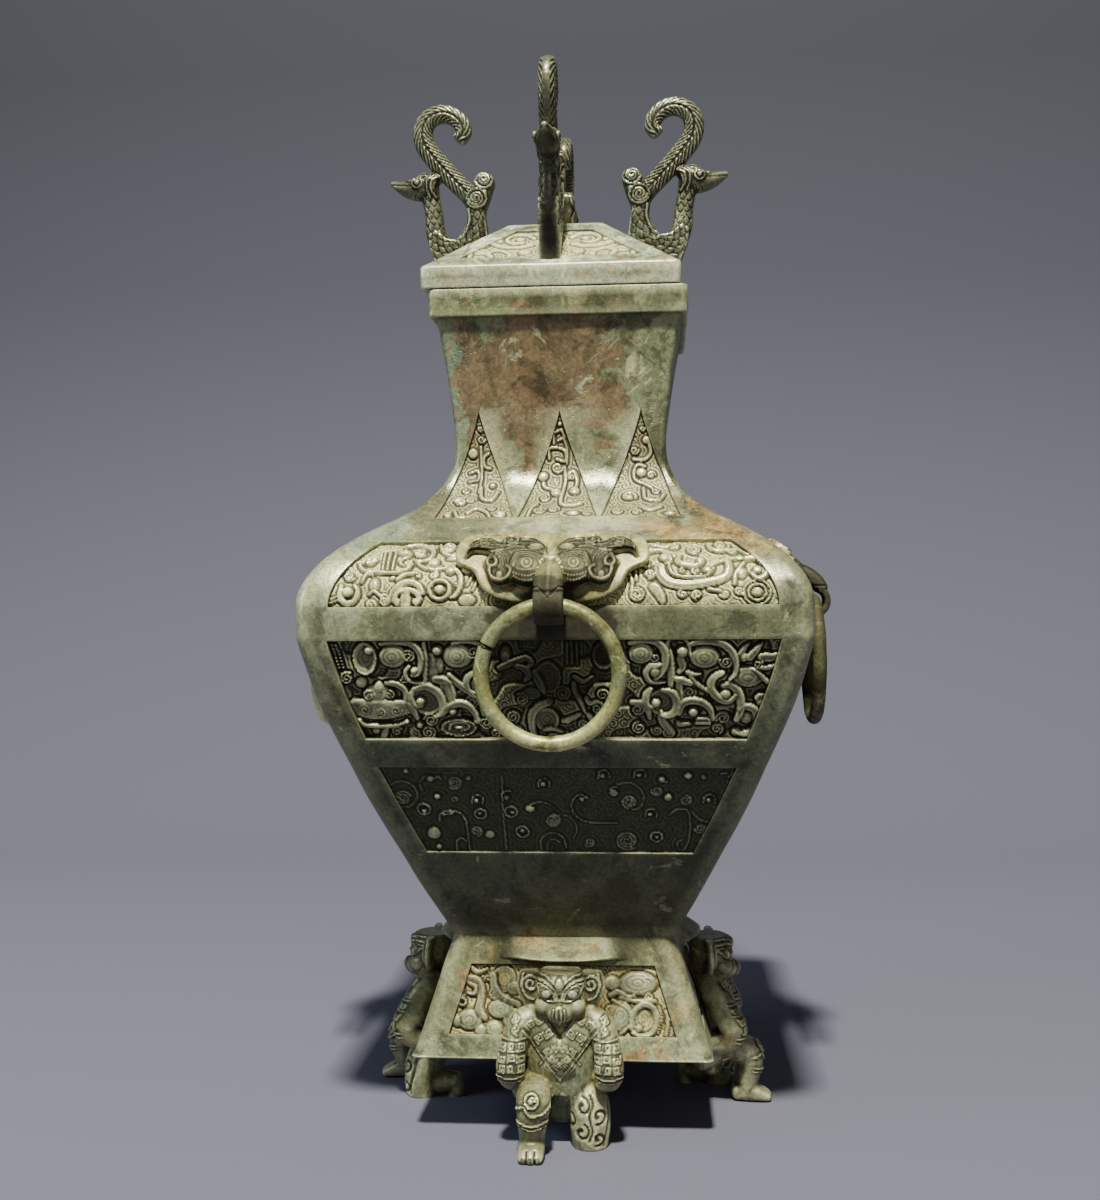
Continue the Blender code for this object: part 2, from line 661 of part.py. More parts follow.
def make_bird(surface):
    body = [(0.5, -6.0), (5.0, 4.0), (10.5, 20.0), (3.5, 22.0), (-5.0, 25.0), (-8.0, 32.0), (-17.0, 34.0),
            (-18.0, 20.0), (-21.0, 2.0)]
    wing = [(-9.0, 51.0), (-15.0, 55.5), (-21.5, 50.0), (-18.0, 41.0), (-17.5, 29.0), (-9.0, 22.0),
            (-3.5, 31.0), (-3.5, 42.0)]
    thickness = 2.0 * BIRD_HALF_THICKNESS
    bird = slab("bird", [bird_place(*point) for point in body], thickness)
    parts = [slab("wing", [bird_place(*point) for point in wing], thickness * 1.12)]
    parts.append(bird_tube("neck", [(7.0, 14.0), (9.5, 28.0), (11.5, 46.0)],
                           [4.3, 3.9, 4.2], [3.6, 3.2, 3.6], 5))
    parts.append(bird_tube("head", [(6.0, 50.5), (10.5, 50.0), (16.0, 46.5), (22.5, 48.0), (31.5, 49.6)],
                           [2.4, 4.8, 5.8, 3.8, 0.9], [2.8, 5.2, 7.6, 4.4, 1.0], 5))
    tail = bird_tail_path()
    last = len(tail) - 1
    widths = [3.8 if index < last else 2.6 for index in range(len(tail))]
    depths = [4.2 if index < last else 2.4 for index in range(len(tail))]
    parts.append(bird_tube("tail", tail, widths, depths, 5))
    for side in (-1.0, 1.0):
        for out, up, radius in ((-15.0, 49.0, 5.2), (-11.0, 39.5, 6.2)):
            parts.append(wing_coil(side, out, up, radius))
    combine(bird, parts, "UNION")
    run = LID_HALF - LID_TOP_HALF
    seat = Vector((0.0, -BIRD_FOOT, lid_height(BIRD_FOOT) + GAP * math.hypot(run, LID_RISE) / run))
    cut_flat(bird, seat, Vector((0.0, LID_RISE, -run)).normalized())
    finish(bird, surface)
    around(bird, "bird", Vector((-LID_SLIP, 0.0, 0.0)))


def wing_coil(side, out, up, radius):
    """Round boss on one flank of a bird, where its plumage coils."""
    reach, z = bird_place(out, up)
    rings = []
    for share, lift in ((1.0, -1.5 * MM), (0.55, 1.5 * MM)):
        ring = []
        for step in range(5):
            angle = 2.0 * math.pi * step / 5.0
            spread = radius * BIRD * share
            height = BIRD_HALF_THICKNESS * 1.12 + lift
            ring.append(Vector((side * height, spread * math.cos(angle) - reach,
                                spread * math.sin(angle) + z)))
        rings.append(ring)
    return loft("coil", rings)


# The masks and their rings

def beak_profile():
    """Outline of the beak and loop from the side, from the brow down round the ring and back."""
    top_z = MASK_TOP_Z - MASK_RISE * 0.24
    low_z = MASK_TOP_Z - MASK_RISE
    loop = LOOP_WALL + LOOP_PLAY + RING_TUBE_RADIUS
    lift = MASK_THICKNESS * 0.6
    brow = face_point(0.0, top_z, MASK_THICKNESS + 5.0 * MM)
    outline = [(-face_point(0.0, top_z, lift).y, top_z), (-brow.y + 1.5 * MM, brow.z)]
    bridge = Vector((RING_PLANE - loop * 0.3, RING_AXIS_Z + loop * 1.65))
    outline.append((bridge.x, bridge.y))
    outline.append((RING_PLANE + loop * 0.75, RING_AXIS_Z + loop * 1.02))
    for step in range(5):
        angle = math.radians(20.0 - 44.0 * step)
        outline.append((RING_PLANE + loop * math.cos(angle), RING_AXIS_Z + loop * math.sin(angle)))
    for share in (1.0, 0.75, 0.5):
        point = face_point(0.0, low_z + (top_z - low_z) * (1.0 - share), lift)
        outline.append((-point.y, point.z))
    return outline


MASK_FACE = ((0.04, 0.45, 2.4), (0.10, 0.84, 3.0), (0.22, 0.90, 3.8), (0.29, 0.66, 4.2), (0.60, 0.62, 6.4))


def mask_face():
    """The thick face of the mask, from its horns down to the cheeks, on top of the thin plate."""
    rings = []
    for share, wide, rise in MASK_FACE:
        z = MASK_TOP_Z - MASK_RISE * share
        half = MASK_WIDTH / 2.0 * wide
        high = MASK_THICKNESS + rise * MM
        corners = ((-half, high), (half, high), (half, MASK_THICKNESS - SINK), (-half, MASK_THICKNESS - SINK))
        rings.append([face_point(across, z, lift) for across, lift in corners])
    return loft("mask_face", rings)


def make_mask(surface):
    plate = mask_body("mask", MASK_ROWS, 0.0, GAP, MASK_THICKNESS)
    parts = [slab("beak", beak_profile(), 2.0 * BEAK_HALF), mask_face()]
    for side in (-1.0, 1.0):
        for aside, share, wide, tall, floor in ((0.25, 0.40, 4.6, 4.0, 5.0), (0.54, 0.47, 5.2, 5.4, 5.6),
                                                (0.42, 0.14, 6.0, 3.2, 3.2)):
            parts.append(dome("feature", side * aside * MASK_WIDTH / 2.0, MASK_TOP_Z - MASK_RISE * share,
                              (wide * MM, tall * MM), MASK_THICKNESS + floor * MM,
                              MASK_THICKNESS + (floor + 2.0) * MM, 5))
    bore = []
    for side in (-2.0, 2.0):
        ring = []
        for step in range(8):
            angle = 2.0 * math.pi * (step + 0.5) / 8.0
            radius = (RING_TUBE_RADIUS + LOOP_PLAY) / math.cos(math.pi / 8.0)
            ring.append(Vector((side * BEAK_HALF, -RING_PLANE + radius * math.cos(angle),
                                RING_AXIS_Z + radius * math.sin(angle))))
        bore.append(ring)
    combine(parts[0], [loft("bore", bore)], "DIFFERENCE")
    combine(plate, parts, "UNION")
    finish(plate, surface)
    around(plate, "mask", Vector((0.0, 0.0, 0.0)))


def ring_mesh(name, gap_start, gap_span):
    """Hanging ring whose hinge line passes through its origin."""
    segments = 16
    sides = 5
    sweep = 2.0 * math.pi - gap_span
    rings = []
    count = segments + 1 if gap_span else segments
    for step in range(count):
        angle = gap_start + gap_span / 2.0 + sweep * step / segments
        outward = Vector((math.cos(angle), 0.0, math.sin(angle)))
        centre = outward * RING_RADIUS - Vector((0.0, 0.0, RING_RADIUS))
        ring = []
        for corner in range(sides):
            turn = 2.0 * math.pi * (corner + 0.5) / sides
            reach = RING_TUBE_RADIUS * math.cos(turn)
            ring.append(centre + outward * reach + Vector((0.0, RING_TUBE_RADIUS * math.sin(turn), 0.0)))
        rings.append(ring)
    if gap_span:
        return loft(name, rings)
    builder = bmesh.new()
    rows = [[builder.verts.new(point) for point in ring] for ring in rings]
    for index, row in enumerate(rows):
        after = rows[(index + 1) % len(rows)]
        for corner in range(sides):
            beside = (corner + 1) % sides
            builder.faces.new((row[corner], row[beside], after[beside], after[corner]))
    bmesh.ops.recalc_face_normals(builder, faces=builder.faces)
    return object_from(name, builder)


def make_rings(surface):
    for side, turns in SIDES.items():
        broken = side == "front"
        start = BREAK_PLACE if broken else math.pi * 9.0 / 16.0
        ring = ring_mesh(f"ring_{side}", start, BREAK_SPAN if broken else 0.0)
        finish(ring, surface)
        hinge = Vector((0.0, -RING_PLANE, RING_AXIS_Z))
        ring.matrix_world = Matrix.Rotation(turns * math.pi / 2.0, 4, "Z") @ Matrix.Translation(hinge)


# The kneeling supporters

FIGURE_HEIGHT = HOOD_Z - FIGURE_TOP_GAP
FIGURE = FIGURE_HEIGHT / 77.6       # one drawn millimetre of the figure


def figure_place(across, reach, z):
    """Place in the figure's own drawing; reach is counted from the foot's lower edge."""
    return Vector((across * FIGURE, -(FOOT_HALF + (reach - 68.5) * FIGURE), z * FIGURE))


def limb(name, path, widths, depths, side, count):
    points = [figure_place(*point) for point in path]
    widths = [width * FIGURE for width in widths]
    depths = [depth * FIGURE for depth in depths]
    return tube(name, points, widths, depths, side, count)


def foot_room():
    """The foot's own shape grown by the joint's gap, which the supporter is cut back to."""
    grown = GAP * 1.2
    rings = []
    for z in (FOOT_BOTTOM_Z - grown, FOOT_TOP_Z):
        rings.append(square_ring(half_width(max(z, FOOT_BOTTOM_Z)) + grown, NECK_CORNER, z))
    return loft("foot_room", rings)


def make_figure(surface):
    aside = Vector((1.0, 0.0, 0.0))
    torso = limb("figure", [(0, 70, 19), (0, 70, 44), (0, 66, 59)],
                 [12.0, 19.5, 12.0], [8.0, 8.5, 7.0], aside, 6)
    parts = [
        limb("head", [(0, 68.5, 52.5), (0, 69.5, 57), (0, 69.2, 68), (0, 67.5, 77.6)],
             [8.0, 12.0, 13.0, 8.0], [6.5, 9.8, 10.8, 7.0], aside, 6),
        limb("beak", [(0, 75, 62.5), (0, 81.5, 60.6), (0, 84.5, 57.5)],
             [7.0, 6.0, 2.4], [6.0, 5.0, 2.0], aside, 4),
    ]
    for side in (-1.0, 1.0):
        parts.append(limb("ear", [(side * 9, 67, 66.5), (side * 16.5, 67, 66.5)],
                          [4.4, 3.4], [6.0, 4.4], Vector((0.0, 1.0, 0.0)), 4))
        parts.append(limb("arm", [(side * 14, 68, 58), (side * 21.5, 80, 33.5), (side * 18, 62, 30.2)],
                          [5.4, 7.0, 4.4], [5.4, 6.4, 3.8], aside, 4))
    parts.append(limb("raised_leg", [(-7, 66, 21), (-11.3, 86, 23.5), (-12, 86, 2.5)],
                      [7.0, 9.0, 5.6], [7.0, 8.6, 5.0], aside, 5))
    parts.append(limb("raised_foot", [(-12, 79.5, 2.4), (-12, 92, 2.8), (-12, 98.5, 1.6)],
                      [5.2, 7.4, 5.6], [5.6, 5.0, 3.0], aside, 4))
    parts.append(limb("kneeling_thigh", [(9, 64, 23), (13, 73, 14), (13, 73.5, -1.5)],
                      [8.0, 9.8, 7.0], [8.0, 8.6, 6.0], aside, 5))
    parts.append(limb("kneeling_shin", [(13, 73, 7.0), (13, 57, 6.6)], [6.4, 5.0], [6.0, 5.0], aside, 4))
    parts.append(limb("kneeling_toes", [(13, 58, 8), (13, 58, -1.5)], [4.4, 5.4], [3.6, 4.0], aside, 4))
    combine(torso, parts, "UNION")
    combine(torso, [foot_room()], "DIFFERENCE")
    cut_flat(torso, Vector((0.0, 0.0, 0.0)), Vector((0.0, 0.0, -1.0)))
    cut_flat(torso, Vector((0.0, 0.0, FIGURE_HEIGHT)), Vector((0.0, 0.0, 1.0)))
    finish(torso, surface)
    around(torso, "figure", Vector((0.0, 0.0, 0.0)))


def build():
    for leftover in list(bpy.data.objects):
        bpy.data.objects.remove(leftover)
    patina = bronze("green_bronze", (0.23, 0.26, 0.20), 0.55, 0.25)
    lid_patina = bronze("pale_bronze", (0.42, 0.45, 0.36), 0.60, 0.20)
    worn = bronze("worn_bronze", (0.33, 0.31, 0.20), 0.45, 0.45)
    dark = bronze("dark_bronze", (0.17, 0.17, 0.12), 0.50, 0.30)
    make_vessel(patina)
    make_lid(lid_patina)
    make_bird(lid_patina)
    make_mask(worn)
    make_rings(worn)
    make_figure(dark)


build()
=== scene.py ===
# Looks of the lidded square bronze vase: carved panels, birds, masks, loose rings, supporters, patina.
# Sizes in the dictionaries are in millimetres and become metres when a mesh is made. Those of the room,
# the lights and the camera are in metres.
import math

import bpy
import numpy as np
from mathutils import Euler, Matrix, Vector

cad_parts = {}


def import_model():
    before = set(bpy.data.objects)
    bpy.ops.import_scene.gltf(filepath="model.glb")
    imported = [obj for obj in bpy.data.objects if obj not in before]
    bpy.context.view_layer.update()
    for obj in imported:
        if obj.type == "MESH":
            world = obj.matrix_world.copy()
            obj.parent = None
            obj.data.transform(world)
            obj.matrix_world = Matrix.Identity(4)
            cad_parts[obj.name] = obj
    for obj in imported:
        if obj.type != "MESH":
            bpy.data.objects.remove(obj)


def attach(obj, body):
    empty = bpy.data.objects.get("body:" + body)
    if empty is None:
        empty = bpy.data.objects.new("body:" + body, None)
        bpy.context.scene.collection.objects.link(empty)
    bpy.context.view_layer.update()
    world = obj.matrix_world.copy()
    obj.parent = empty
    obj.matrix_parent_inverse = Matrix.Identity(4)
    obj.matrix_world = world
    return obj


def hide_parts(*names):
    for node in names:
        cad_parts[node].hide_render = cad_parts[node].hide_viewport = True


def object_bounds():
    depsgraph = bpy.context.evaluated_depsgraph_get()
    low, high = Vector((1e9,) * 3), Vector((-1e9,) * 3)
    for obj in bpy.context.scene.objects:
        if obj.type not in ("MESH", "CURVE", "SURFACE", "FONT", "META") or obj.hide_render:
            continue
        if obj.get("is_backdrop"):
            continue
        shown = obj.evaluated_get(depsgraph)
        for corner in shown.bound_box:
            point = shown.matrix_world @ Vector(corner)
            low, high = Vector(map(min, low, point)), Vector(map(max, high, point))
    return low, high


mm = 0.001
sides = {"front": 0, "right": 1, "back": 2, "left": 3}


# Outline of the vessel, the same as in the frame

vesselSize = {
    "footBottom": 35.9, "footTop": 88.3, "bellyLow": 230.0, "bellyTop": 241.5, "shoulderTop": 282.0,
    "waist": 319.0, "neckTop": 375.0, "footHalf": 68.5, "bodyHalf": 51.7,
    "bellyHalf": 110.8, "flareHalf": 73.0, "waistHalf": 49.2, "neckHalf": 56.8, "wall": 6.0,
    "taperPower": 1.27, "shoulderPower": 2.1, "flarePower": 2.6, "neckPower": 1.5,
}


def halfWidth(z):
    s = vesselSize
    z = np.asarray(z, float)
    foot = (s["footHalf"] - s["bodyHalf"]) * (s["footTop"] - z) / (s["footTop"] - s["footBottom"])
    foot = s["bodyHalf"] + foot
    taper = np.clip((s["bellyLow"] - z) / (s["bellyLow"] - s["footTop"]), 0, 1)
    body = s["bellyHalf"] - (s["bellyHalf"] - s["bodyHalf"]) * taper ** s["taperPower"]
    climb = np.clip((z - s["bellyTop"]) / (s["shoulderTop"] - s["bellyTop"]), 0, 1)
    shoulder = s["bellyHalf"] - (s["bellyHalf"] - s["flareHalf"]) * climb ** s["shoulderPower"]
    sweep = np.clip((s["waist"] - z) / (s["waist"] - s["shoulderTop"]), 0, 1)
    flare = s["waistHalf"] + (s["flareHalf"] - s["waistHalf"]) * sweep ** s["flarePower"]
    rise = np.clip((z - s["waist"]) / (s["neckTop"] - s["waist"]), 0, 1)
    neck = s["waistHalf"] + (s["neckHalf"] - s["waistHalf"]) * rise ** s["neckPower"]
    belly = np.full(z.shape, s["bellyHalf"])
    return np.select([z <= s["footTop"], z <= s["bellyLow"], z <= s["bellyTop"], z <= s["shoulderTop"],
                      z <= s["waist"]], [foot, body, belly, shoulder, flare], neck)


def faceSlope(z):
    return (halfWidth(z + 0.15) - halfWidth(z - 0.15)) / 0.3


def facePoint(across, z, lift):
    # a place on the front face, lifted along the face's own normal
    slope = faceSlope(z)
    upright = 1.0 / np.hypot(1.0, slope)
    reach = halfWidth(z) + lift * upright
    return np.stack(np.broadcast_arrays(across, -reach, z - lift * slope * upright), -1)


def downFace(heights):
    # distance along the face from the first height to each
    return np.concatenate([[0.0], np.cumsum(np.hypot(np.diff(heights), np.diff(halfWidth(heights))))])


def faceRows(top, bottom, cell):
    # heights at equal steps along the face, and their distance from the top
    fine = np.linspace(top, bottom, 400)
    length = downFace(fine)
    count = max(int(round(length[-1] / cell)), 2)
    steps = np.linspace(0.0, length[-1], count + 1)
    return np.interp(steps, length, fine), steps


def wobble(points):
    # the casting isn't perfectly true: slow waves of a third of a millimetre
    x, y, z = points[:, 0], points[:, 1], points[:, 2]
    wave = np.sin(x * 0.11 + z * 0.07 + 1.3) + np.sin(y * 0.13 - z * 0.09 + 0.4)
    wave += 0.7 * np.sin(x * 0.21 - y * 0.17 + z * 0.16) + 0.5 * np.sin(z * 0.31 + x * 0.05)
    push = 0.13 * wave[:, None]
    flat = points * np.array([1.0, 1.0, 0.0])
    return points + push * flat / np.maximum(np.linalg.norm(flat, axis=1), 1.0)[:, None]


# Mesh helpers

def meshPiece(name, points, faces):
    mesh = bpy.data.meshes.new(name)
    mesh.from_pydata((np.asarray(points) * mm).tolist(), [], faces)
    mesh.update()
    piece = bpy.data.objects.new(name, mesh)
    bpy.context.scene.collection.objects.link(piece)
    return piece


def pointsOf(piece):
    points = np.empty(len(piece.data.vertices) * 3)
    piece.data.vertices.foreach_get("co", points)
    return points.reshape(-1, 3) / mm


def setPoints(piece, points):
    piece.data.vertices.foreach_set("co", (points * mm).ravel())
    piece.data.update()


def normalsOf(piece):
    normals = np.empty(len(piece.data.vertices) * 3)
    piece.data.vertex_normals.foreach_get("vector", normals)
    return normals.reshape(-1, 3)


def setMask(piece, name, values):
    layer = piece.data.attributes.get(name) or piece.data.attributes.new(name, "FLOAT", "POINT")
    layer.data.foreach_set("value", np.clip(values, 0, 1).astype(np.float32))


def sunkenBy(piece, rounds):
    # how far each place lies under the average of its neighbours
    edges = np.empty(len(piece.data.edges) * 2, np.int32)
    piece.data.edges.foreach_get("vertices", edges)
    a, b = edges.reshape(-1, 2).T
    points = pointsOf(piece)
    ends, others = np.concatenate([a, b]), np.concatenate([b, a])
    count = np.maximum(np.bincount(ends, minlength=len(points)), 1)
    smooth = points
    for _ in range(rounds):
        smooth = np.stack([np.bincount(ends, smooth[others, axis], minlength=len(points)) / count
                           for axis in range(3)], -1)
    return ((smooth - points) * normalsOf(piece)).sum(1)


def markRelief(piece, rounds, scale, lines=0.0):
    # painted shade in crevices, with the drawn lines if there are any, and crests that are lightened for
    # wear and painted highlight
    depth = sunkenBy(piece, rounds) / scale
    setMask(piece, "crevice", np.maximum(depth, lines))
    setMask(piece, "crest", -depth)


def alone(*pieces):
    bpy.ops.object.select_all(action="DESELECT")
    for piece in pieces:
        piece.select_set(True)
    bpy.context.view_layer.objects.active = pieces[0]


def joined(pieces):
    alone(*pieces)
    if len(pieces) > 1:
        bpy.ops.object.join()
    return pieces[0]


def applied(piece, kind, **values):
    alone(piece)
    step = piece.modifiers.new(kind.title(), kind)
    for key, value in values.items():
        setattr(step, key, value)
    bpy.ops.object.modifier_apply(modifier=step.name)
    return piece


def tidyNormals(piece, merge=0.02):
    alone(piece)
    bpy.ops.object.mode_set(mode="EDIT")
    bpy.ops.mesh.select_all(action="SELECT")
    bpy.ops.mesh.remove_doubles(threshold=merge * mm)
    bpy.ops.mesh.normals_make_consistent(inside=False)
    bpy.ops.object.mode_set(mode="OBJECT")
    return piece


def smoothed(piece, angle=40.0):
    alone(piece)
    bpy.ops.object.shade_smooth_by_angle(angle=math.radians(angle))
    return piece


def turnedCopies(piece, base, shift=(0.0, 0.0)):
    # the finished front piece, and a copy with its own mesh on each other side
    pieces = {}
    for side, turns in sides.items():
        copy = piece
        if turns:
            copy = piece.copy()
            copy.data = piece.data.copy()
            bpy.context.scene.collection.objects.link(copy)
        pieces[side] = copy
    for side, copy in pieces.items():
        copy.name = f"{base}_{side}"
        turn = Matrix.Rotation(sides[side] * math.pi / 2.0, 4, "Z")
        copy.data.transform(Matrix.Translation((shift[0] * mm, shift[1] * mm, 0.0)) @ turn)
    return pieces


# Carving: a height field in millimetres over a flat sheet (u across, v down)

def softPath(places, steps=5):
    places = np.asarray(places, float)
    if len(places) < 3:
        return places
    ends = np.vstack([2 * places[0] - places[1], places, 2 * places[-1] - places[-2]])
    result = []
    for a, b, c, d in zip(ends, ends[1:], ends[2:], ends[3:]):
        for t in np.arange(steps) / steps:
            result.append(0.5 * (2 * b + (c - a) * t + (2 * a - 5 * b + 4 * c - d) * t * t
                                 + (3 * b - a - 3 * c + d) * t ** 3))
    result.append(places[-1])
    return np.array(result)


def spiralPath(u, v, radius, turns, start, hand, inner=0.18):
    t = np.linspace(0.0, 1.0, int(10 * turns) + 6)
    angle = math.radians(start) + hand * 2.0 * math.pi * turns * t
    reach = radius * (1.0 + (inner - 1.0) * t)
    return np.stack([u + reach * np.cos(angle), v + reach * np.sin(angle)], -1)


class Carving:
    def __init__(self, u, v):
        self.u = u.ravel()
        self.v = v.ravel()
        self.shape = u.shape
        self.height = np.zeros(self.u.shape)
        self.edge = np.full(self.u.shape, 9.0)

    def near(self, low, high):
        inside = (self.u > low[0]) & (self.u < high[0]) & (self.v > low[1]) & (self.v < high[1])
        return np.nonzero(inside)[0]

    def raiseTo(self, index, edge, tops):
        inside = edge < 0
        self.height[index] = np.where(inside, np.maximum(self.height[index], tops), self.height[index])
        self.edge[index] = np.minimum(self.edge[index], edge)

    def ball(self, u, v, radius, top, tall=None, grooves=0.0):
        tall = tall or radius
        index = self.near((u - radius - 4, v - tall - 4), (u + radius + 4, v + tall + 4))
        ratio = np.hypot((self.u[index] - u) / radius, (self.v[index] - v) / tall)
        tops = top * np.sqrt(np.clip(1.0 - ratio ** 2 * 0.72, 0, 1))
        if grooves:
            tops -= grooves * (0.5 + 0.5 * np.cos(2 * math.pi * ratio * min(radius, tall) / 1.6))
        self.raiseTo(index, (ratio - 1.0) * min(radius, tall), tops)

    def ring(self, u, v, radius, width, top):
        index = self.near((u - radius - 5, v - radius - 5), (u + radius + 5, v + radius + 5))
        away = np.abs(np.hypot(self.u[index] - u, self.v[index] - v) - radius) - width
        self.raiseTo(index, away, top * np.sqrt(np.clip(1.0 - (away / width + 1.0) ** 2 * 0.5, 0, 1)))

    def oval(self, u, v, wide, tall, top):
        for share, rise in ((1.0, 0.7), (0.62, 0.88), (0.28, 1.0)):
            index = self.near((u - wide - 4, v - tall - 4), (u + wide + 4, v + tall + 4))
            ratio = np.hypot((self.u[index] - u) / (wide * share), (self.v[index] - v) / (tall * share))
            lip = np.clip((1.0 - ratio) * min(wide, tall) * share / 0.7, 0, 1)
            rim = 1.0 - 0.35 * np.clip((1.0 - ratio) * min(wide, tall) * share / 0.7 - 1.0, 0, 1)
            self.raiseTo(index, (ratio - 1.0) * min(wide, tall) * share, top * rise * lip * rim)

    def band(self, places, width, top, endWidth=None, groove=0.0, ribs=0.0, soft=True, swell=0.0):
        path = softPath(places) if soft else np.asarray(places, float)
        endWidth = width if endWidth is None else endWidth
        share = np.linspace(0.0, 1.0, len(path))
        widths = (width + (endWidth - width) * share) * (1.0 + swell * np.sin(math.pi * share))
        reach = max(widths) + 3.5
        index = self.near(path.min(0) - reach, path.max(0) + reach)
        edge = np.full(index.shape, 99.0)
        ratio = np.ones(index.shape)
        aside = np.zeros(index.shape)
        along = np.zeros(index.shape)
        start = 0.0
        for a, b, wide, wider in zip(path, path[1:], widths, widths[1:]):
            step = b - a
            length = max(np.hypot(*step), 1e-6)
            t = ((self.u[index] - a[0]) * step[0] + (self.v[index] - a[1]) * step[1]) / length ** 2
            t = np.clip(t, 0, 1)
            away = np.hypot(self.u[index] - a[0] - t * step[0], self.v[index] - a[1] - t * step[1])
            here = wide + (wider - wide) * t
            closer = away - here < edge
            edge = np.where(closer, away - here, edge)
            ratio = np.where(closer, away / here, ratio)
            cross = step[0] * (self.v[index] - a[1]) - step[1] * (self.u[index] - a[0])
            aside = np.where(closer, np.clip(cross / length / here, -1, 1), aside)
            along = np.where(closer, start + t * length, along)
            start += length
        tops = top * np.clip(1.0 - ratio ** 6 * 0.30, 0, 1) * (1.0 - 0.16 * (1.0 + aside))
        if groove:
            tops -= groove * np.exp(-((ratio - 0.5) / 0.16) ** 2)
        if ribs:
            tops -= 0.3 * (0.5 + 0.5 * np.cos(2 * math.pi * along / ribs))
        self.raiseTo(index, edge, tops)

    def coil(self, u, v, radius, top, turns=2.0, start=0.0, hand=1, width=0.45):
        turns = min(turns, radius * 0.5 + 0.25)
        self.band(spiralPath(u, v, radius, turns, start, hand), width, top, soft=False)

    def comma(self, u, v, radius, top, start=0.0, sweep=300.0, hand=1, width=1.1):
        # a hook that thickens into a round head
        path = spiralPath(u, v, radius, sweep / 360.0, start, hand, inner=0.25)
        self.band(path, width * 0.6, top, endWidth=width * 1.25, soft=False)
        self.ball(path[-1][0], path[-1][1], width * 1.5, top * 1.08)

    def beads(self, places, radius, top, pitch):
        path = softPath(places)
        length = np.concatenate([[0.0], np.cumsum(np.hypot(*np.diff(path, axis=0).T))])
        for at in np.arange(0.0, length[-1], pitch):
            self.ball(np.interp(at, length, path[:, 0]), np.interp(at, length, path[:, 1]), radius, top)

    def dish(self, u, v, wide, tall, top):
        # a hollow shell with fine lines in it and a thin lip
        index = self.near((u - wide - 4, v - tall - 4), (u + wide + 4, v + tall + 4))
        ratio = np.hypot((self.u[index] - u) / wide, (self.v[index] - v) / tall)
        tops = top * (0.22 + 0.78 * np.clip(ratio, 0, 1) ** 2.6)
        tops -= 0.16 * (0.5 + 0.5 * np.cos(2 * math.pi * ratio * min(wide, tall) / 1.5)) * (ratio < 0.85)
        self.raiseTo(index, (ratio - 1.0) * min(wide, tall), tops)

    def shadeLines(self, reach=0.4):
        # painted shade in lines beside each form
        return np.exp(-((self.edge - 0.3) / reach) ** 2)

    def draw(self, forms, bold=1.0):
        for u, v, radius, top, *more in forms.get("balls", ()):
            self.ball(u, v, radius * (1.0 + 0.45 * (bold - 1.0)), top, *more)
        for form in forms.get("dishes", ()):
            self.dish(*form)
        for form in forms.get("rings", ()):
            self.ring(*form)
        for index, (u, v, radius, top, *turns) in enumerate(forms.get("coils", ())):
            # every other coil turns the other way
            self.coil(u, v, radius, top, *(turns or [2.2]), start=37.0 * u, hand=index % 2 * 2 - 1,
                      width=min(0.5, radius / 4.5))
        for (width, top, *more), places in forms.get("bands", ()):
            endWidth, swell, groove, ribs = more + [width, 0.0, 0.0, 0.0][len(more):]
            self.band(np.reshape(places, (-1, 2)), width * bold, top, endWidth=endWidth * bold,
                      groove=groove, ribs=ribs, swell=swell + bold - 1.0)
        for (radius, top, pitch), places in forms.get("beads", ()):
            self.beads(np.reshape(places, (-1, 2)), radius, top, pitch)

    def ground(self, rise, pitch, cell, shelf=0.0):
        # thread-fine lines that follow each form, and small coils where there is room
        lines = 0.5 + 0.5 * np.cos(2 * math.pi * self.edge / pitch)
        row = np.floor(self.v / cell)
        across = self.u + row % 2 * cell * 0.5
        du = (across / cell - np.floor(across / cell) - 0.5) * cell
        dv = (self.v / cell - row - 0.5) * cell
        hand = np.where((row + np.floor(across / cell)) % 2 > 0.5, 1.0, -1.0)
        spiral = 0.5 + 0.5 * np.cos(2 * math.pi * np.hypot(du, dv) / pitch + hand * np.arctan2(dv, du))
        share = np.clip((self.edge - 1.6 * pitch) / 0.6, 0, 1)
        ground = rise * (lines * (1 - share) + spiral * share)
        # shelves of middle height between the forms
        level = np.sin(self.u * 0.33 + 1.3) * np.sin(self.v * 0.29 + 0.7)
        level += 0.5 * np.sin(self.u * 0.17 + self.v * 0.41)
        ground += shelf * np.clip(level * 4.0 + 0.9, 0, 1) * np.clip((self.edge - 0.35) / 0.8, 0, 1)
        self.height = np.where(self.edge > 0, ground, self.height)
        return self.height.reshape(self.shape)


# Panels of the vessel's front face

panelSize = {
    "shoulder": {"top": 270.7, "bottom": 242.3, "margin": 15.5, "depth": 2.2, "cell": 0.57},
    "middle": {"top": 227.8, "bottom": 184.4, "margin": 14.3, "depth": 3.9, "cell": 0.52},
    "lower": {"top": 171.5, "bottom": 131.1, "margin": 13.5, "depth": 1.4, "cell": 0.72},
    "foot": {"top": 76.1, "bottom": 46.4, "margin": 13.2, "depth": 2.6, "cell": 0.6},
}
bladeSize = {"base": 282.0, "height": 50.0, "half": 17.9, "spacing": 37.6, "depth": 1.6}
bladeTip = bladeSize["base"] + bladeSize["height"]
carvingCell = 0.62


def bladeHalf(z):
    # the edges bow in a little towards the tip
    share = np.clip((bladeTip - np.asarray(z, float)) / bladeSize["height"], 0, 1)
    return bladeSize["half"] * share ** 1.13


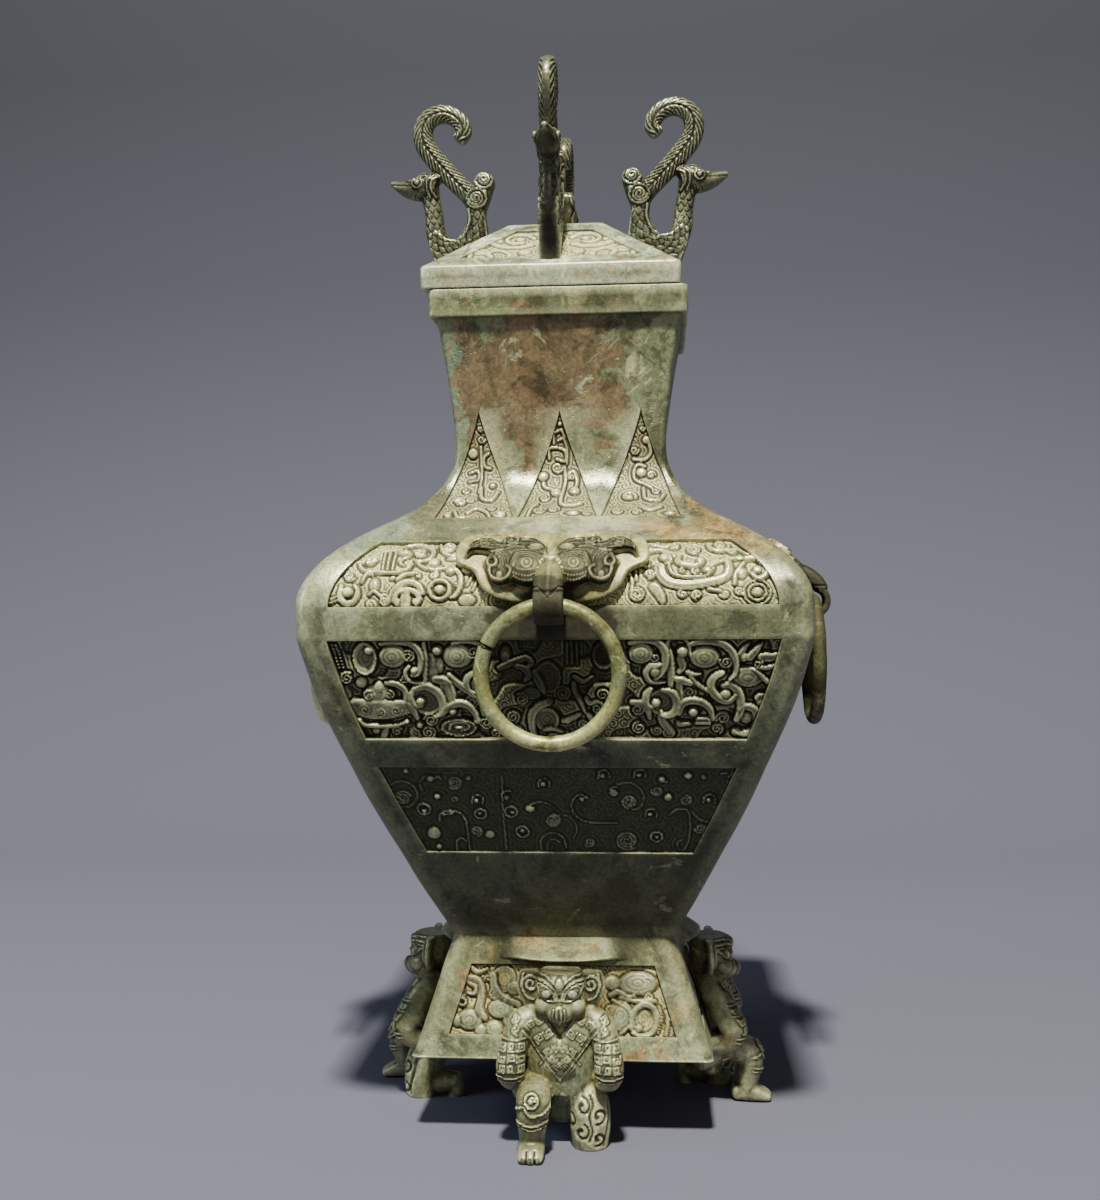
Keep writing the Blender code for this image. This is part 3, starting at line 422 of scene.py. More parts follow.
# What is cast on each panel, in mm across and down it.
# balls: across, down, radius, height, other radius, lines; dishes: across, down, wide, tall, height
# rings: across, down, radius, half width, height; coils: across, down, radius, height, turns if not 2.2
# bands: (half width, height, end width, swell, groove, ribs), the last ones left out if plain, then places
# beads: (radius, height, pitch), then the places they run through
shoulderForms = {
    "balls": (
        (-65.0, 5.9, 2.9, 1.4, 1.8, 0.2), (-51.0, 13.3, 2.3, 2.4), (-43.3, 18.2, 1.9, 2.4),
        (-42.9, 10.5, 2.5, 1.4, 1.5, 0.2), (-36.1, 17.7, 2.7, 1.4, 1.8, 0.2), (-47.6, 27.6, 2.0, 2.4),
        (-35.7, 32.6, 3.2, 1.9, 2.7), (-65.9, 33.1, 1.44, 2.5), (-57.6, 33.1, 1.44, 2.5),
        (-87.2, 28.4, 2.1, 2.5), (-76.0, 25.1, 2.0, 1.5, 3.3, 0.2), (52.0, 3.3, 1.02, 2.3),
        (62.6, 13.3, 1.44, 2.4), (47.7, 11.6, 2.0, 2.5), (65.7, 18.9, 1.7, 2.5), (86.7, 19.1, 1.9, 2.5),
        (80.0, 19.9, 1.9, 1.4, 3.1, 0.2), (86.3, 29.8, 2.0, 2.4),
    ),
    "rings": (
        (-47.6, 27.6, 4.4, 0.85, 2.1), (86.3, 29.8, 3.7, 0.42, 1.7), (86.3, 29.8, 5.6, 0.34, 1.6),
    ),
    "coils": (
        (-78.5, 12.7, 2.5, 1.8), (-57.3, 6.6, 2.9, 1.7), (-45.5, 3.0, 3.2, 1.9), (-40.4, 24.9, 1.5, 1.6),
        (-35.6, 32.0, 2.4, 2.2), (-56.9, 20.2, 1.36, 1.7), (-68.3, 22.1, 1.36, 1.6),
        (-71.3, 32.6, 2.7, 1.7, 2.6), (-77.2, 34.3, 2.2, 1.6), (-87.0, 20.7, 2.4, 1.6),
        (-22.2, 33.1, 3.9, 1.5, 3.0), (-50.6, 20.2, 2.0, 1.5), (52.0, 3.3, 2.2, 1.9, 1.6),
        (60.5, 6.1, 3.2, 1.8, 3.0), (71.1, 3.0, 2.7, 1.7), (40.1, 14.4, 2.4, 1.8, 2.4),
        (41.4, 20.7, 2.5, 1.9, 2.8), (60.9, 19.1, 1.9, 1.8, 2.4), (55.4, 18.9, 1.44, 1.6),
        (61.3, 30.9, 2.2, 1.9, 2.8), (55.4, 30.4, 2.0, 1.6), (35.9, 30.6, 3.4, 1.7, 3.0),
        (72.8, 30.6, 2.0, 1.6), (78.9, 29.1, 1.9, 1.6), (77.0, 7.7, 2.2, 1.5),
    ),
    "bands": (
        ((0.68, 2.2, 0.51), (-83.6, 13.8, -81.1, 17.7, -74.7, 18.8, -67.1, 19.1, -62.0, 17.1, -60.1, 14.4)),
        ((0.34, 1.7), (-68.3, 6.1, -68.6, 11.6, -68.8, 17.1)), ((0.42, 1.7), (-70.9, 5.5, -71.1, 17.1)),
        ((0.34, 1.5), (-73.2, 6.1, -73.2, 16.6)),
        ((0.68, 2.0, 0.42, 0.5), (-64.5, 2.8, -58.6, 1.7, -52.7, 4.4, -52.2, 8.8, -55.2, 12.2, -59.4,
         11.6)),
        ((0.59, 1.8, 0.34), (-62.0, 9.4, -64.5, 10.5, -65.8, 13.3, -63.7, 14.9)),
        ((0.59, 1.9, 0.42), (-49.3, 1.7, -47.6, 6.6, -43.3, 9.2, -39.8, 7.2)),
        ((0.34, 1.5), (-53.9, 14.7, -51.0, 17.3, -47.4, 15.1)),
        ((0.51, 1.7), (-58.6, 12.7, -54.4, 16.6, -47.6, 17.1, -42.5, 14.9)),
        ((0.68, 2.0, 0.51, 0.3), (-42.5, 16.0, -39.1, 20.4, -38.7, 26.0, -40.8, 30.4, -42.9, 31.5)),
        ((0.34, 1.5), (-36.1, 26.0, -33.2, 19.9, -31.5, 17.1)),
        ((0.34, 1.5), (-33.6, 28.2, -31.3, 22.7, -30.5, 20.2)),
        ((1.02, 1.9, 0.85, 0.2), (-69.2, 32.6, -67.5, 28.2, -64.5, 25.1, -61.1, 23.8, -56.9, 25.4, -54.8,
         29.3)),
        ((1.7, 2.2, 2.0), (-62.2, 28.2, -62.2, 34.8)),
        ((1.02, 2.3, 0.85), (-62.4, 27.6, -65.6, 28.7, -67.1, 32.0, -65.8, 34.3)),
        ((1.02, 2.3, 0.85), (-61.8, 27.6, -58.2, 28.7, -56.2, 31.5, -57.3, 34.3)),
        ((0.76, 1.8, 0.51), (-66.2, 22.7, -62.8, 19.9, -57.8, 19.3)),
        ((0.85, 2.3, 0.59, 0.3), (-90.0, 25.4, -90.4, 30.4, -87.8, 33.7, -84.0, 32.6, -82.8, 28.2, -84.4,
         25.1)),
        ((0.59, 1.8), (-81.5, 23.8, -79.8, 19.9, -77.2, 19.9)),
        ((0.51, 1.6), (-78.1, 29.8, -76.2, 28.2, -73.0, 30.6, -70.5, 34.3)),
        ((0.42, 1.5), (-62.0, -2.3, -54.4, -1.2, -49.3, -2.1)),
        ((0.85, 2.2, 0.51, 0.5), (54.1, 10.5, 53.3, 13.8, 55.8, 16.0, 60.9, 16.6, 63.9, 13.8, 63.0, 11.6)),
        ((0.68, 1.9, 0.42, 0.3), (66.4, 2.8, 67.7, 6.1, 71.1, 7.7, 74.9, 6.1, 75.3, 2.8)),
        ((0.68, 2.0, 0.42, 0.3), (40.6, 8.3, 45.6, 6.6, 49.4, 9.9, 50.3, 13.8, 48.2, 15.1)),
        ((1.9, 2.1, 1.19, 0.0, 0.4), (45.6, 17.1, 46.9, 22.1, 50.7, 25.4, 57.5, 26.2, 66.0, 25.1, 72.8,
         22.7, 74.9, 18.2, 74.6, 13.8)),
        ((0.42, 2.3), (49.4, 14.9, 50.7, 20.2, 54.1, 22.2, 62.6, 22.7, 67.0, 20.7, 68.7, 17.7)),
        ((0.51, 2.0, 0.34), (66.8, 17.1, 71.1, 14.4, 77.8, 12.7, 80.8, 12.5)),
        ((1.02, 2.3, 0.68, 0.4), (82.1, 12.7, 86.3, 12.7, 89.7, 16.6, 89.7, 21.5, 86.7, 23.2, 84.2, 21.0)),
        ((0.59, 1.8), (77.0, 26.0, 77.8, 20.4, 81.2, 14.9)),
        ((1.9, 1.8, 1.19, 0.0, 0.0, 1.1), (43.5, 27.1, 45.6, 30.4, 46.9, 33.7)),
        ((0.51, 1.6), (32.1, 18.2, 34.2, 23.8, 33.8, 29.3)), ((0.42, 1.6), (35.3, 13.8, 36.0, 23.8)),
        ((0.68, 1.8), (66.4, 28.4, 71.1, 29.3)), ((0.42, 1.7), (77.8, 5.0, 82.1, 9.4, 85.9, 10.5)),
        ((0.34, 1.5), (42.2, 2.8, 47.3, 4.1, 50.3, 2.8)),
    ),
    "beads": (
        ((0.6, 1.6, 1.4), (-95.0, 33.7, -90.6, 32.0)), ((0.6, 1.6, 1.4), (-94.0, 31.7, -91.0, 30.2)),
        ((0.7, 1.8, 1.6), (90.6, 19.9, 93.9, 25.1, 96.9, 32.0)),
        ((0.7, 1.8, 1.6), (92.1, 18.8, 95.5, 24.6, 98.3, 31.3)),
    ),
}
middleForms = {
    "balls": (
        (-78.6, 4.6, 1.7, 3.7), (-68.5, 7.4, 5.2, 3.6, 5.2, 0.22), (-59.5, 14.0, 1.44, 3.8),
        (-49.3, 4.8, 1.9, 3.6), (-49.0, 12.0, 1.9, 2.0, 3.7, 0.2), (-40.6, 7.4, 5.4, 3.6, 5.4, 0.22),
        (-57.5, 28.1, 1.7, 3.9), (-76.1, 24.9, 5.1, 2.4, 4.2, 0.2), (-75.3, 21.7, 2.0, 3.0, 2.7),
        (-82.9, 19.5, 2.2, 2.2), (-84.6, 37.1, 0.93, 3.4), (-63.8, 37.8, 0.93, 3.4),
        (-78.2, 42.6, 1.5, 1.9), (-41.3, 40.4, 2.2, 3.3, 0.91), (-43.6, 32.9, 1.44, 3.9),
        (-58.4, 39.6, 1.35, 2.9), (-33.2, 37.3, 1.5, 3.3), (-19.9, 6.9, 2.0, 2.7, 4.1),
        (-9.3, 24.9, 3.4, 2.3, 2.7, 0.2), (5.9, 37.5, 1.35, 3.0), (37.6, 6.5, 4.6, 3.5, 4.6, 0.22),
        (43.6, 14.7, 2.2, 4.0), (55.2, 5.8, 2.2, 3.7), (64.5, 8.3, 5.4, 3.6, 4.9, 0.18),
        (73.3, 24.9, 2.0, 4.0), (43.7, 29.0, 1.7, 4.0), (59.5, 33.4, 1.8, 4.0), (77.8, 42.9, 1.7, 2.7),
        (80.8, 8.3, 1.9, 3.0), (82.6, 17.2, 5.6, 3.1, 4.7, 0.18), (88.4, 28.6, 2.0, 2.9),
        (82.0, 36.4, 2.2, 2.6),
    ),
    "dishes": (
        (-80.5, 8.3, 5.2, 7.4, 3.2), (-32.4, 20.7, 2.7, 4.1, 2.2), (-38.1, 27.2, 4.9, 4.7, 1.8),
        (-54.5, 28.1, 6.3, 6.6, 2.4), (-41.4, 40.6, 7.8, 4.1, 3.3), (-2.1, 17.5, 5.6, 7.3, 1.8),
        (-3.0, 37.3, 5.1, 5.6, 1.9), (22.0, 7.4, 4.9, 6.6, 2.0), (46.3, 29.0, 6.3, 5.9, 2.3),
    ),
    "coils": (
        (-89.0, 17.3, 3.0, 2.8), (-61.6, 7.4, 2.7, 3.0), (-33.7, 5.7, 2.9, 3.0), (-35.1, 29.0, 3.4, 2.2),
        (-79.7, 25.3, 2.5, 3.0), (-70.6, 25.1, 2.0, 2.8), (-63.8, 17.5, 2.2, 2.4), (-81.9, 32.1, 2.4, 3.1),
        (-74.8, 33.2, 2.4, 3.1), (-68.1, 32.4, 2.4, 3.1), (-68.9, 42.9, 2.4, 1.9), (-53.3, 37.3, 3.2, 2.5),
        (-55.0, 43.3, 3.4, 2.3), (-29.6, 38.7, 2.9, 2.2), (-25.8, 43.8, 2.5, 2.0), (-13.4, 27.2, 2.9, 3.1),
        (-17.8, 35.9, 3.0, 2.0), (-15.6, 42.4, 2.5, 2.0), (21.1, 25.3, 2.9, 2.9, 2.6),
        (18.6, 31.6, 2.4, 2.7), (12.3, 39.6, 2.7, 2.2), (4.2, 24.9, 3.7, 1.9, 3.0), (43.6, 8.3, 2.0, 2.9),
        (57.9, 24.4, 2.9, 2.1, 2.6), (73.6, 10.6, 2.9, 2.6, 2.6), (72.3, 36.4, 3.0, 2.5),
        (69.8, 41.5, 2.7, 2.2), (49.0, 42.9, 2.7, 2.4), (44.2, 42.4, 2.4, 2.2),
        (35.9, 32.3, 3.0, 2.3, 3.0), (36.4, 41.0, 3.0, 2.3, 3.0), (86.7, 11.3, 2.0, 3.5, 1.6),
        (91.3, 24.0, 1.35, 3.0),
    ),
    "bands": (
        ((0.76, 3.7, 0.51, 0.5), (-73.2, 1.7, -66.8, 0.9, -60.0, 2.0, -56.8, 6.0, -56.5, 11.1, -57.9, 15.2,
         -60.5, 15.9)),
        ((0.68, 3.3, 0.34), (-61.6, 11.8, -63.3, 14.3, -62.7, 17.5, -60.0, 19.5, -55.8, 19.5)),
        ((0.76, 3.0), (-55.0, 1.3, -54.8, 9.2, -55.0, 18.9)),
        ((1.18, 2.0, 1.5), (-52.4, 7.4, -51.6, 13.8, -52.6, 19.5)),
        ((0.76, 3.6, 0.59), (-42.3, 1.5, -35.5, 0.7, -29.6, 2.8, -27.9, 7.4, -28.8, 12.9)),
        ((0.85, 3.3, 0.51, 0.4), (-44.7, 15.9, -41.4, 19.5, -37.2, 23.0, -33.4, 24.7, -29.6, 23.0)),
        ((0.93, 3.5, 0.42, 0.4), (-34.2, 15.2, -36.8, 17.5, -37.0, 21.7, -34.8, 25.3, -31.7, 26.3)),
        ((1.18, 3.4), (-50.7, 18.0, -47.8, 18.4, -44.7, 19.5)),
        ((2.2, 3.0, 1.01, 0.0, 0.25), (-46.1, 20.3, -44.8, 25.8, -44.1, 31.8)),
        ((0.76, 3.7, 0.59, 0.5), (-60.2, 22.1, -61.7, 26.3, -60.0, 30.2, -56.7, 30.2)),
        ((0.93, 3.7, 0.68, 0.5), (-60.0, 22.6, -55.0, 21.2, -50.3, 23.5, -48.0, 28.1, -48.6, 33.2, -51.2,
         35.2)),
        ((0.85, 2.7), (-71.9, 19.8, -67.7, 20.3, -64.3, 23.0, -63.8, 27.2)),
        ((2.9, 2.7, 2.5), (-85.8, 30.9, -79.5, 32.1, -71.0, 32.1, -62.6, 30.9)),
        ((1.01, 3.3, 0.68), (-62.6, 29.5, -60.5, 32.7, -59.2, 36.4)),
        ((0.76, 3.4, 0.51), (-85.4, 37.1, -82.9, 39.4, -77.0, 40.0, -69.3, 39.8, -63.8, 38.0)),
        ((0.68, 2.8, 1.01), (-73.2, 40.6, -74.2, 43.3, -75.3, 45.6)),
        ((0.51, 3.0, 0.34), (-45.5, 41.5, -44.4, 38.9, -38.9, 38.2, -37.0, 40.6, -40.6, 42.2)),
        ((0.93, 3.8, 0.68, 0.4), (-48.0, 34.1, -45.7, 31.2, -41.4, 29.1, -37.2, 30.0, -34.2, 33.6, -32.8,
         37.8)),
        ((1.1, 3.0, 0.68), (-22.4, 12.9, -17.8, 10.6, -14.0, 9.2, -11.0, 8.3, -8.9, 10.6, -11.0, 12.9)),
        ((1.01, 2.8, 0.68), (-15.2, 12.0, -11.8, 13.4, -10.3, 16.4, -11.8, 18.6)),
        ((1.01, 2.7, 0.59, 0.3), (-8.0, 15.2, -5.5, 20.3, -3.8, 24.4)),
        ((1.1, 3.1, 0.85), (-1.7, 28.6, -6.8, 30.9, -9.5, 35.0, -9.7, 40.6, -8.5, 45.2)),
        ((0.68, 2.8, 0.51), (-4.2, 41.9, -0.8, 41.5, 3.4, 42.9)), ((0.34, 1.7), (6.3, 1.4, 6.2, 11.5)),
        ((0.34, 1.7), (8.2, 0.9, 8.4, 11.5)), ((0.34, 1.7), (10.4, 0.9, 10.7, 11.5)),
        ((0.76, 2.7, 0.42), (9.3, 17.1, 13.1, 19.4, 16.9, 17.2)),
        ((0.76, 2.8, 0.51), (8.9, 19.8, 9.3, 23.5, 11.8, 29.0, 13.5, 33.6)),
        ((0.68, 2.9, 0.42), (14.0, 27.2, 15.6, 29.5, 19.0, 28.6, 22.2, 30.4)),
        ((0.85, 2.9, 0.68), (4.2, 37.8, 8.0, 36.4, 11.0, 34.6)),
        ((0.85, 2.6, 0.68), (14.8, 34.6, 16.9, 38.2, 16.1, 40.3)),
        ((0.85, 3.8, 0.68, 0.5), (33.0, 1.8, 38.5, 0.5, 44.4, 1.4, 47.6, 5.5, 47.9, 10.6, 46.3, 15.2, 43.6,
         17.8)),
        ((0.85, 3.5, 0.34, 0.3), (45.2, 11.5, 41.4, 12.0, 39.7, 15.2, 41.0, 18.9, 44.4, 19.8, 47.8, 19.4)),
        ((0.59, 3.2, 0.51), (49.0, 4.1, 49.0, 1.4, 50.7, -0.1, 55.8, -0.1, 57.9, 3.2, 58.4, 7.8)),
        ((0.93, 2.8, 1.01), (49.6, 5.1, 50.3, 14.3, 50.1, 20.7)),
        ((1.18, 2.4, 0.68), (54.1, 8.8, 55.2, 12.4, 53.7, 15.2)),
        ((1.01, 3.6), (52.9, 18.2, 55.4, 18.9, 58.4, 20.0)),
        ((1.01, 2.8, 0.68), (53.5, 19.4, 54.0, 24.4, 54.2, 30.0)),
        ((0.93, 3.9, 0.42, 0.6), (58.4, 2.3, 63.8, 1.2, 70.6, 1.8, 75.3, 5.1, 77.5, 10.1, 77.4, 15.2, 74.8,
         18.7)),
        ((0.76, 3.3, 0.42), (57.1, 15.2, 59.6, 16.1, 62.6, 15.7)),
        ((0.68, 3.3, 0.51), (58.4, 16.6, 61.3, 20.3, 66.0, 24.0)),
        ((0.93, 3.8, 0.68, 0.4), (71.9, 15.2, 68.5, 17.2, 67.1, 20.7, 68.5, 24.9, 71.9, 27.9, 75.3, 28.1,
         77.8, 25.3)),
        ((0.93, 3.4, 1.01, 0.2), (72.3, 21.2, 75.7, 21.2, 78.6, 24.0, 79.7, 28.6, 79.5, 32.7, 77.8, 36.9)),
        ((0.85, 3.7, 0.59, 0.4), (41.4, 22.4, 39.5, 25.8, 39.8, 30.0, 42.3, 31.1)),
        ((0.93, 3.7, 0.68, 0.5), (46.9, 23.0, 50.7, 24.4, 52.7, 28.6, 51.8, 32.7, 49.0, 34.7, 46.5, 34.6)),
        ((0.93, 3.8, 0.76, 0.3), (53.7, 33.6, 54.7, 30.0, 57.9, 28.1, 63.0, 28.6, 66.6, 31.8, 67.9, 36.4)),
        ((0.68, 3.2), (61.3, 36.6, 66.0, 36.6)), ((0.68, 3.2), (60.9, 38.6, 66.0, 38.6)),
        ((0.68, 3.2), (66.0, 36.6, 66.4, 38.6)), ((0.68, 2.6), (52.9, 38.2, 53.7, 39.4, 57.9, 39.2)),
        ((0.85, 2.8, 1.18, 0.0, 0.0, 1.2), (45.7, 33.6, 46.5, 38.2, 50.3, 42.9)),
        ((1.01, 2.8, 0.68), (33.8, 29.0, 37.6, 29.5, 40.2, 32.7, 41.0, 36.4)),
        ((1.35, 3.4, 0.17), (83.3, 8.3, 86.7, 4.1, 88.8, 1.6)),
        ((1.01, 3.1, 0.25), (79.5, 6.9, 81.2, 4.0, 83.1, 2.1)),
        ((1.5, 3.1, 0.76), (88.4, 8.3, 92.6, 8.3, 96.7, 6.9)),
        ((0.76, 3.2, 0.51), (87.5, 13.2, 91.8, 12.9, 95.8, 10.8)),
        ((0.76, 3.5, 0.51), (85.4, 14.3, 89.2, 18.0, 92.6, 22.1)),
        ((0.68, 3.3), (86.3, 27.2, 87.5, 25.8, 90.1, 25.3)),
        ((0.93, 3.5, 0.76, 0.4), (79.5, 32.3, 82.0, 30.9, 85.4, 32.3, 86.7, 36.4, 85.0, 41.9, 81.2, 43.3,
         78.6, 42.9)),
    ),
    "beads": (
        ((0.6, 2.4, 1.5), (-93.0, 2.3, -91.2, 7.4, -90.1, 13.4)),
        ((0.6, 2.4, 1.5), (-94.5, 2.3, -93.0, 8.3, -91.8, 13.8)),
    ),
}
lowerForms = {
    "balls": (
        (-55.7, 6.0, 1.6, 1.28), (-53.0, 15.2, 1.42, 1.28), (-59.4, 22.7, 1.24, 1.28),
        (-35.7, 17.1, 1.16, 1.28), (-22.4, 15.5, 1.07, 1.28), (-5.9, 8.7, 1.16, 1.28),
        (-12.0, 21.5, 2.1, 1.28, 1.5), (-56.1, 34.6, 3.2, 1.0, 3.2, 0.12), (-34.5, 23.8, 0.8, 1.0),
        (-20.0, 23.4, 0.89, 0.9), (-16.0, 33.0, 1.07, 1.0), (-30.8, 35.3, 2.1, 0.8),
        (-54.4, 41.9, 1.33, 1.28), (-66.4, 2.4, 1.16, 0.9), (-38.8, 5.8, 1.16, 0.8),
        (11.0, 16.2, 1.16, 1.28), (20.3, 4.3, 1.07, 1.28), (36.3, 3.9, 1.07, 1.28), (46.1, 6.0, 1.6, 1.28),
        (48.1, 7.2, 0.71, 1.0), (57.6, 4.2, 1.7, 1.28), (64.3, 4.9, 1.07, 0.9), (25.0, 12.9, 1.9, 1.28),
        (48.9, 15.2, 1.8, 1.28), (66.1, 16.4, 1.07, 1.28), (40.8, 24.0, 1.07, 1.28),
        (43.7, 36.1, 0.89, 0.9),
    ),
    "rings": (
        (-68.8, 14.3, 6.8, 0.36, 0.5), (-59.6, 21.8, 2.8, 0.44, 0.9), (-34.2, 24.2, 2.5, 0.44, 0.8),
        (-20.6, 23.0, 2.7, 0.44, 0.7), (-16.0, 33.6, 2.8, 0.44, 0.8), (43.5, 35.9, 2.5, 0.44, 0.8),
    ),
    "coils": (
        (-68.6, 16.2, 3.7, 0.6, 3.2), (-45.0, 16.8, 1.6, 0.6), (-45.0, 8.1, 3.4, 0.45),
        (-2.4, 28.3, 2.1, 0.5), (-36.8, 33.5, 2.7, 0.5), (31.9, 17.8, 3.4, 0.6, 3.0),
        (43.9, 12.0, 2.5, 0.5), (56.3, 16.8, 2.5, 0.5), (63.0, 31.4, 2.7, 0.6, 3.0),
        (30.5, 38.2, 5.0, 0.5, 3.5), (13.6, 39.3, 2.5, 0.5), (-2.4, 27.7, 3.6, 0.5, 2.6),
    ),
    "bands": (
        ((0.62, 0.8, 0.27), (-53.7, 5.8, -52.0, 5.1, -51.1, 6.6)),
        ((0.44, 1.05, 0.27), (-37.8, 18.5, -37.1, 15.2, -34.3, 14.3, -32.7, 16.6, -33.0, 18.7)),
        ((0.53, 1.2, 0.36), (-23.9, 16.9, -24.4, 13.9, -22.3, 12.0, -20.3, 12.4)),
        ((0.44, 1.05, 0.27), (-8.0, 10.2, -7.3, 6.8, -4.5, 6.0, -2.9, 8.3, -3.2, 10.4)),
        ((0.53, 0.8, 0.27), (-13.5, 20.6, -9.5, 18.3, -4.1, 18.8, 0.5, 23.0)),
        ((0.53, 0.9, 0.36), (-53.0, 27.7, -52.1, 24.1, -47.7, 22.5, -43.2, 24.1, -41.0, 28.8, -40.6, 37.2,
         -40.4, 44.5)),
        ((0.53, 1.15), (-51.1, 24.8, -46.6, 23.8)),
        ((0.44, 0.8), (-46.4, 44.5, -45.9, 38.7, -43.4, 37.4, -41.3, 39.3)),
        ((0.36, 0.55), (-23.9, 4.7, -24.2, 17.3, -23.9, 43.5)),
        ((0.36, 0.7), (-3.2, 25.1, 4.3, 25.1, 8.3, 30.9, 6.7, 37.2)),
        ((0.36, 0.65), (-8.1, 43.5, -7.7, 37.4, -3.2, 34.2, 1.9, 36.6, 3.2, 42.4)),
        ((0.36, 0.6), (-5.5, 43.5, -4.8, 39.5, -2.4, 37.6, 0.3, 39.5)),
        ((0.36, 0.8), (-49.5, 3.2, -43.7, 3.2)), ((0.36, 0.7), (-59.7, 12.0, -60.6, 7.9, -57.9, 4.7)),
        ((0.44, 0.95, 0.27), (13.5, 15.8, 10.1, 13.9, 7.0, 16.8, 6.5, 21.5, 9.2, 26.2, 13.6, 28.3, 19.9,
         28.8, 26.5, 28.8)),
        ((0.44, 1.05, 0.27), (18.2, 5.8, 18.9, 2.4, 21.7, 1.6, 23.3, 3.9, 23.0, 6.0)),
        ((0.44, 1.05, 0.27), (34.2, 5.3, 34.9, 2.0, 37.7, 1.2, 39.3, 3.5, 39.0, 5.5)),
        ((0.44, 1.0), (71.6, 3.2, 73.9, 2.8)), ((0.23, 0.9), (74.3, 8.1, 75.2, 2.6)),
        ((0.23, 0.9), (75.5, 7.0, 76.4, 2.2)), ((0.23, 0.9), (76.8, 6.0, 77.6, 1.8)),
        ((0.23, 0.9), (78.0, 4.9, 78.9, 1.4)), ((0.36, 0.9), (22.9, 11.8, 24.5, 10.2, 27.2, 10.4)),
        ((0.44, 1.05, 0.27), (64.0, 17.9, 64.7, 14.6, 67.5, 13.7, 69.1, 16.0, 68.8, 18.1)),
        ((0.44, 1.05, 0.27), (38.7, 25.4, 39.4, 22.1, 42.3, 21.3, 43.9, 23.6, 43.5, 25.7)),
        ((0.44, 0.6, 0.27), (26.1, 8.9, 32.3, 7.9, 37.2, 12.0, 38.1, 17.3, 35.4, 21.5, 31.4, 20.9)),
        ((0.44, 0.7, 0.27), (49.2, 24.6, 52.8, 21.5, 57.2, 22.0, 58.5, 27.7, 58.1, 36.1, 56.3, 42.4, 53.6,
         42.9, 52.8, 39.3, 55.2, 37.4)),
        ((0.36, 0.7), (59.0, 22.5, 62.5, 26.7, 67.0, 27.7, 69.8, 24.4)),
    ),
}
footForms = {
    "balls": (
        (-28.3, 19.8, 5.3, 2.4, 4.2, 0.2), (-26.0, 15.6, 2.1, 2.3), (-42.7, 24.8, 5.1, 2.4, 4.5, 0.2),
        (-48.2, 25.3, 2.5, 2.0), (-37.5, 29.2, 2.3, 1.8), (-31.2, 28.6, 3.5, 1.7, 3.5, 0.15),
        (-22.6, 10.5, 3.0, 1.8, 3.0, 0.15), (-22.0, 24.2, 4.6, 1.9, 4.6, 0.2),
        (34.5, 7.7, 8.1, 2.5, 5.2, 0.28), (26.4, 22.0, 5.3, 2.4, 6.5, 0.2), (34.7, 27.5, 1.7, 2.5),
        (22.9, 7.7, 3.2, 1.9, 3.2, 0.15),
    ),
    "dishes": (
        (-27.2, 6.6, 5.3, 5.8, 1.3), (37.4, 23.1, 4.1, 5.3, 0.9),
    ),
    "rings": (
        (-46.2, 17.2, 1.5, 0.46, 2.2), (-47.3, 11.7, 1.5, 0.46, 2.2),
    ),
    "coils": (
        (-31.2, 13.4, 2.8, 2.1), (-34.4, 6.6, 1.7, 2.1), (38.5, 7.7, 3.0, 2.6), (39.7, 13.8, 2.3, 1.9),
        (21.6, 19.8, 2.5, 1.8),
    ),
    "bands": (
        ((0.92, 2.1, 0.58), (-42.7, 1.7, -39.3, 3.9, -35.2, 2.2)),
        ((1.27, 2.4), (-46.8, 14.3, -46.8, 8.8, -42.7, 6.6, -38.7, 8.3, -37.5, 13.2, -38.7, 20.9, -37.0,
         23.1)),
        ((0.81, 2.3, 0.58), (-43.3, 8.8, -40.4, 10.5, -41.0, 13.4, -43.9, 13.0)),
        ((1.38, 2.5, 0.69, 0.2), (-32.4, 5.0, -31.2, 11.0, -26.6, 15.4, -20.8, 17.6, -19.1, 19.8)),
        ((1.15, 2.3), (-38.1, 19.8, -35.6, 24.0)),
        ((0.92, 2.3, 0.69), (21.8, 13.2, 25.3, 11.6, 29.9, 13.8, 32.7, 13.2)),
        ((0.69, 2.4, 0.58), (22.9, 15.4, 29.9, 19.8, 31.0, 25.3, 27.0, 29.7)),
        ((1.04, 2.4, 0.92), (31.6, 27.5, 32.2, 20.9, 36.8, 17.1, 41.4, 18.7, 43.1, 23.7, 40.8, 29.2, 36.2,
         30.8, 32.2, 29.2)),
        ((0.46, 1.7), (47.1, 19.8, 48.1, 25.3, 47.1, 30.6)),
        ((0.46, 1.7), (49.4, 23.1, 50.1, 27.5, 49.4, 30.8)),
        ((0.69, 2.0), (26.4, 14.1, 33.3, 15.6, 42.5, 15.6)),
    ),
    "beads": (
        ((0.6, 1.9, 1.4), (44.3, 18.2, 45.1, 23.1, 43.5, 29.2)),
    ),
}


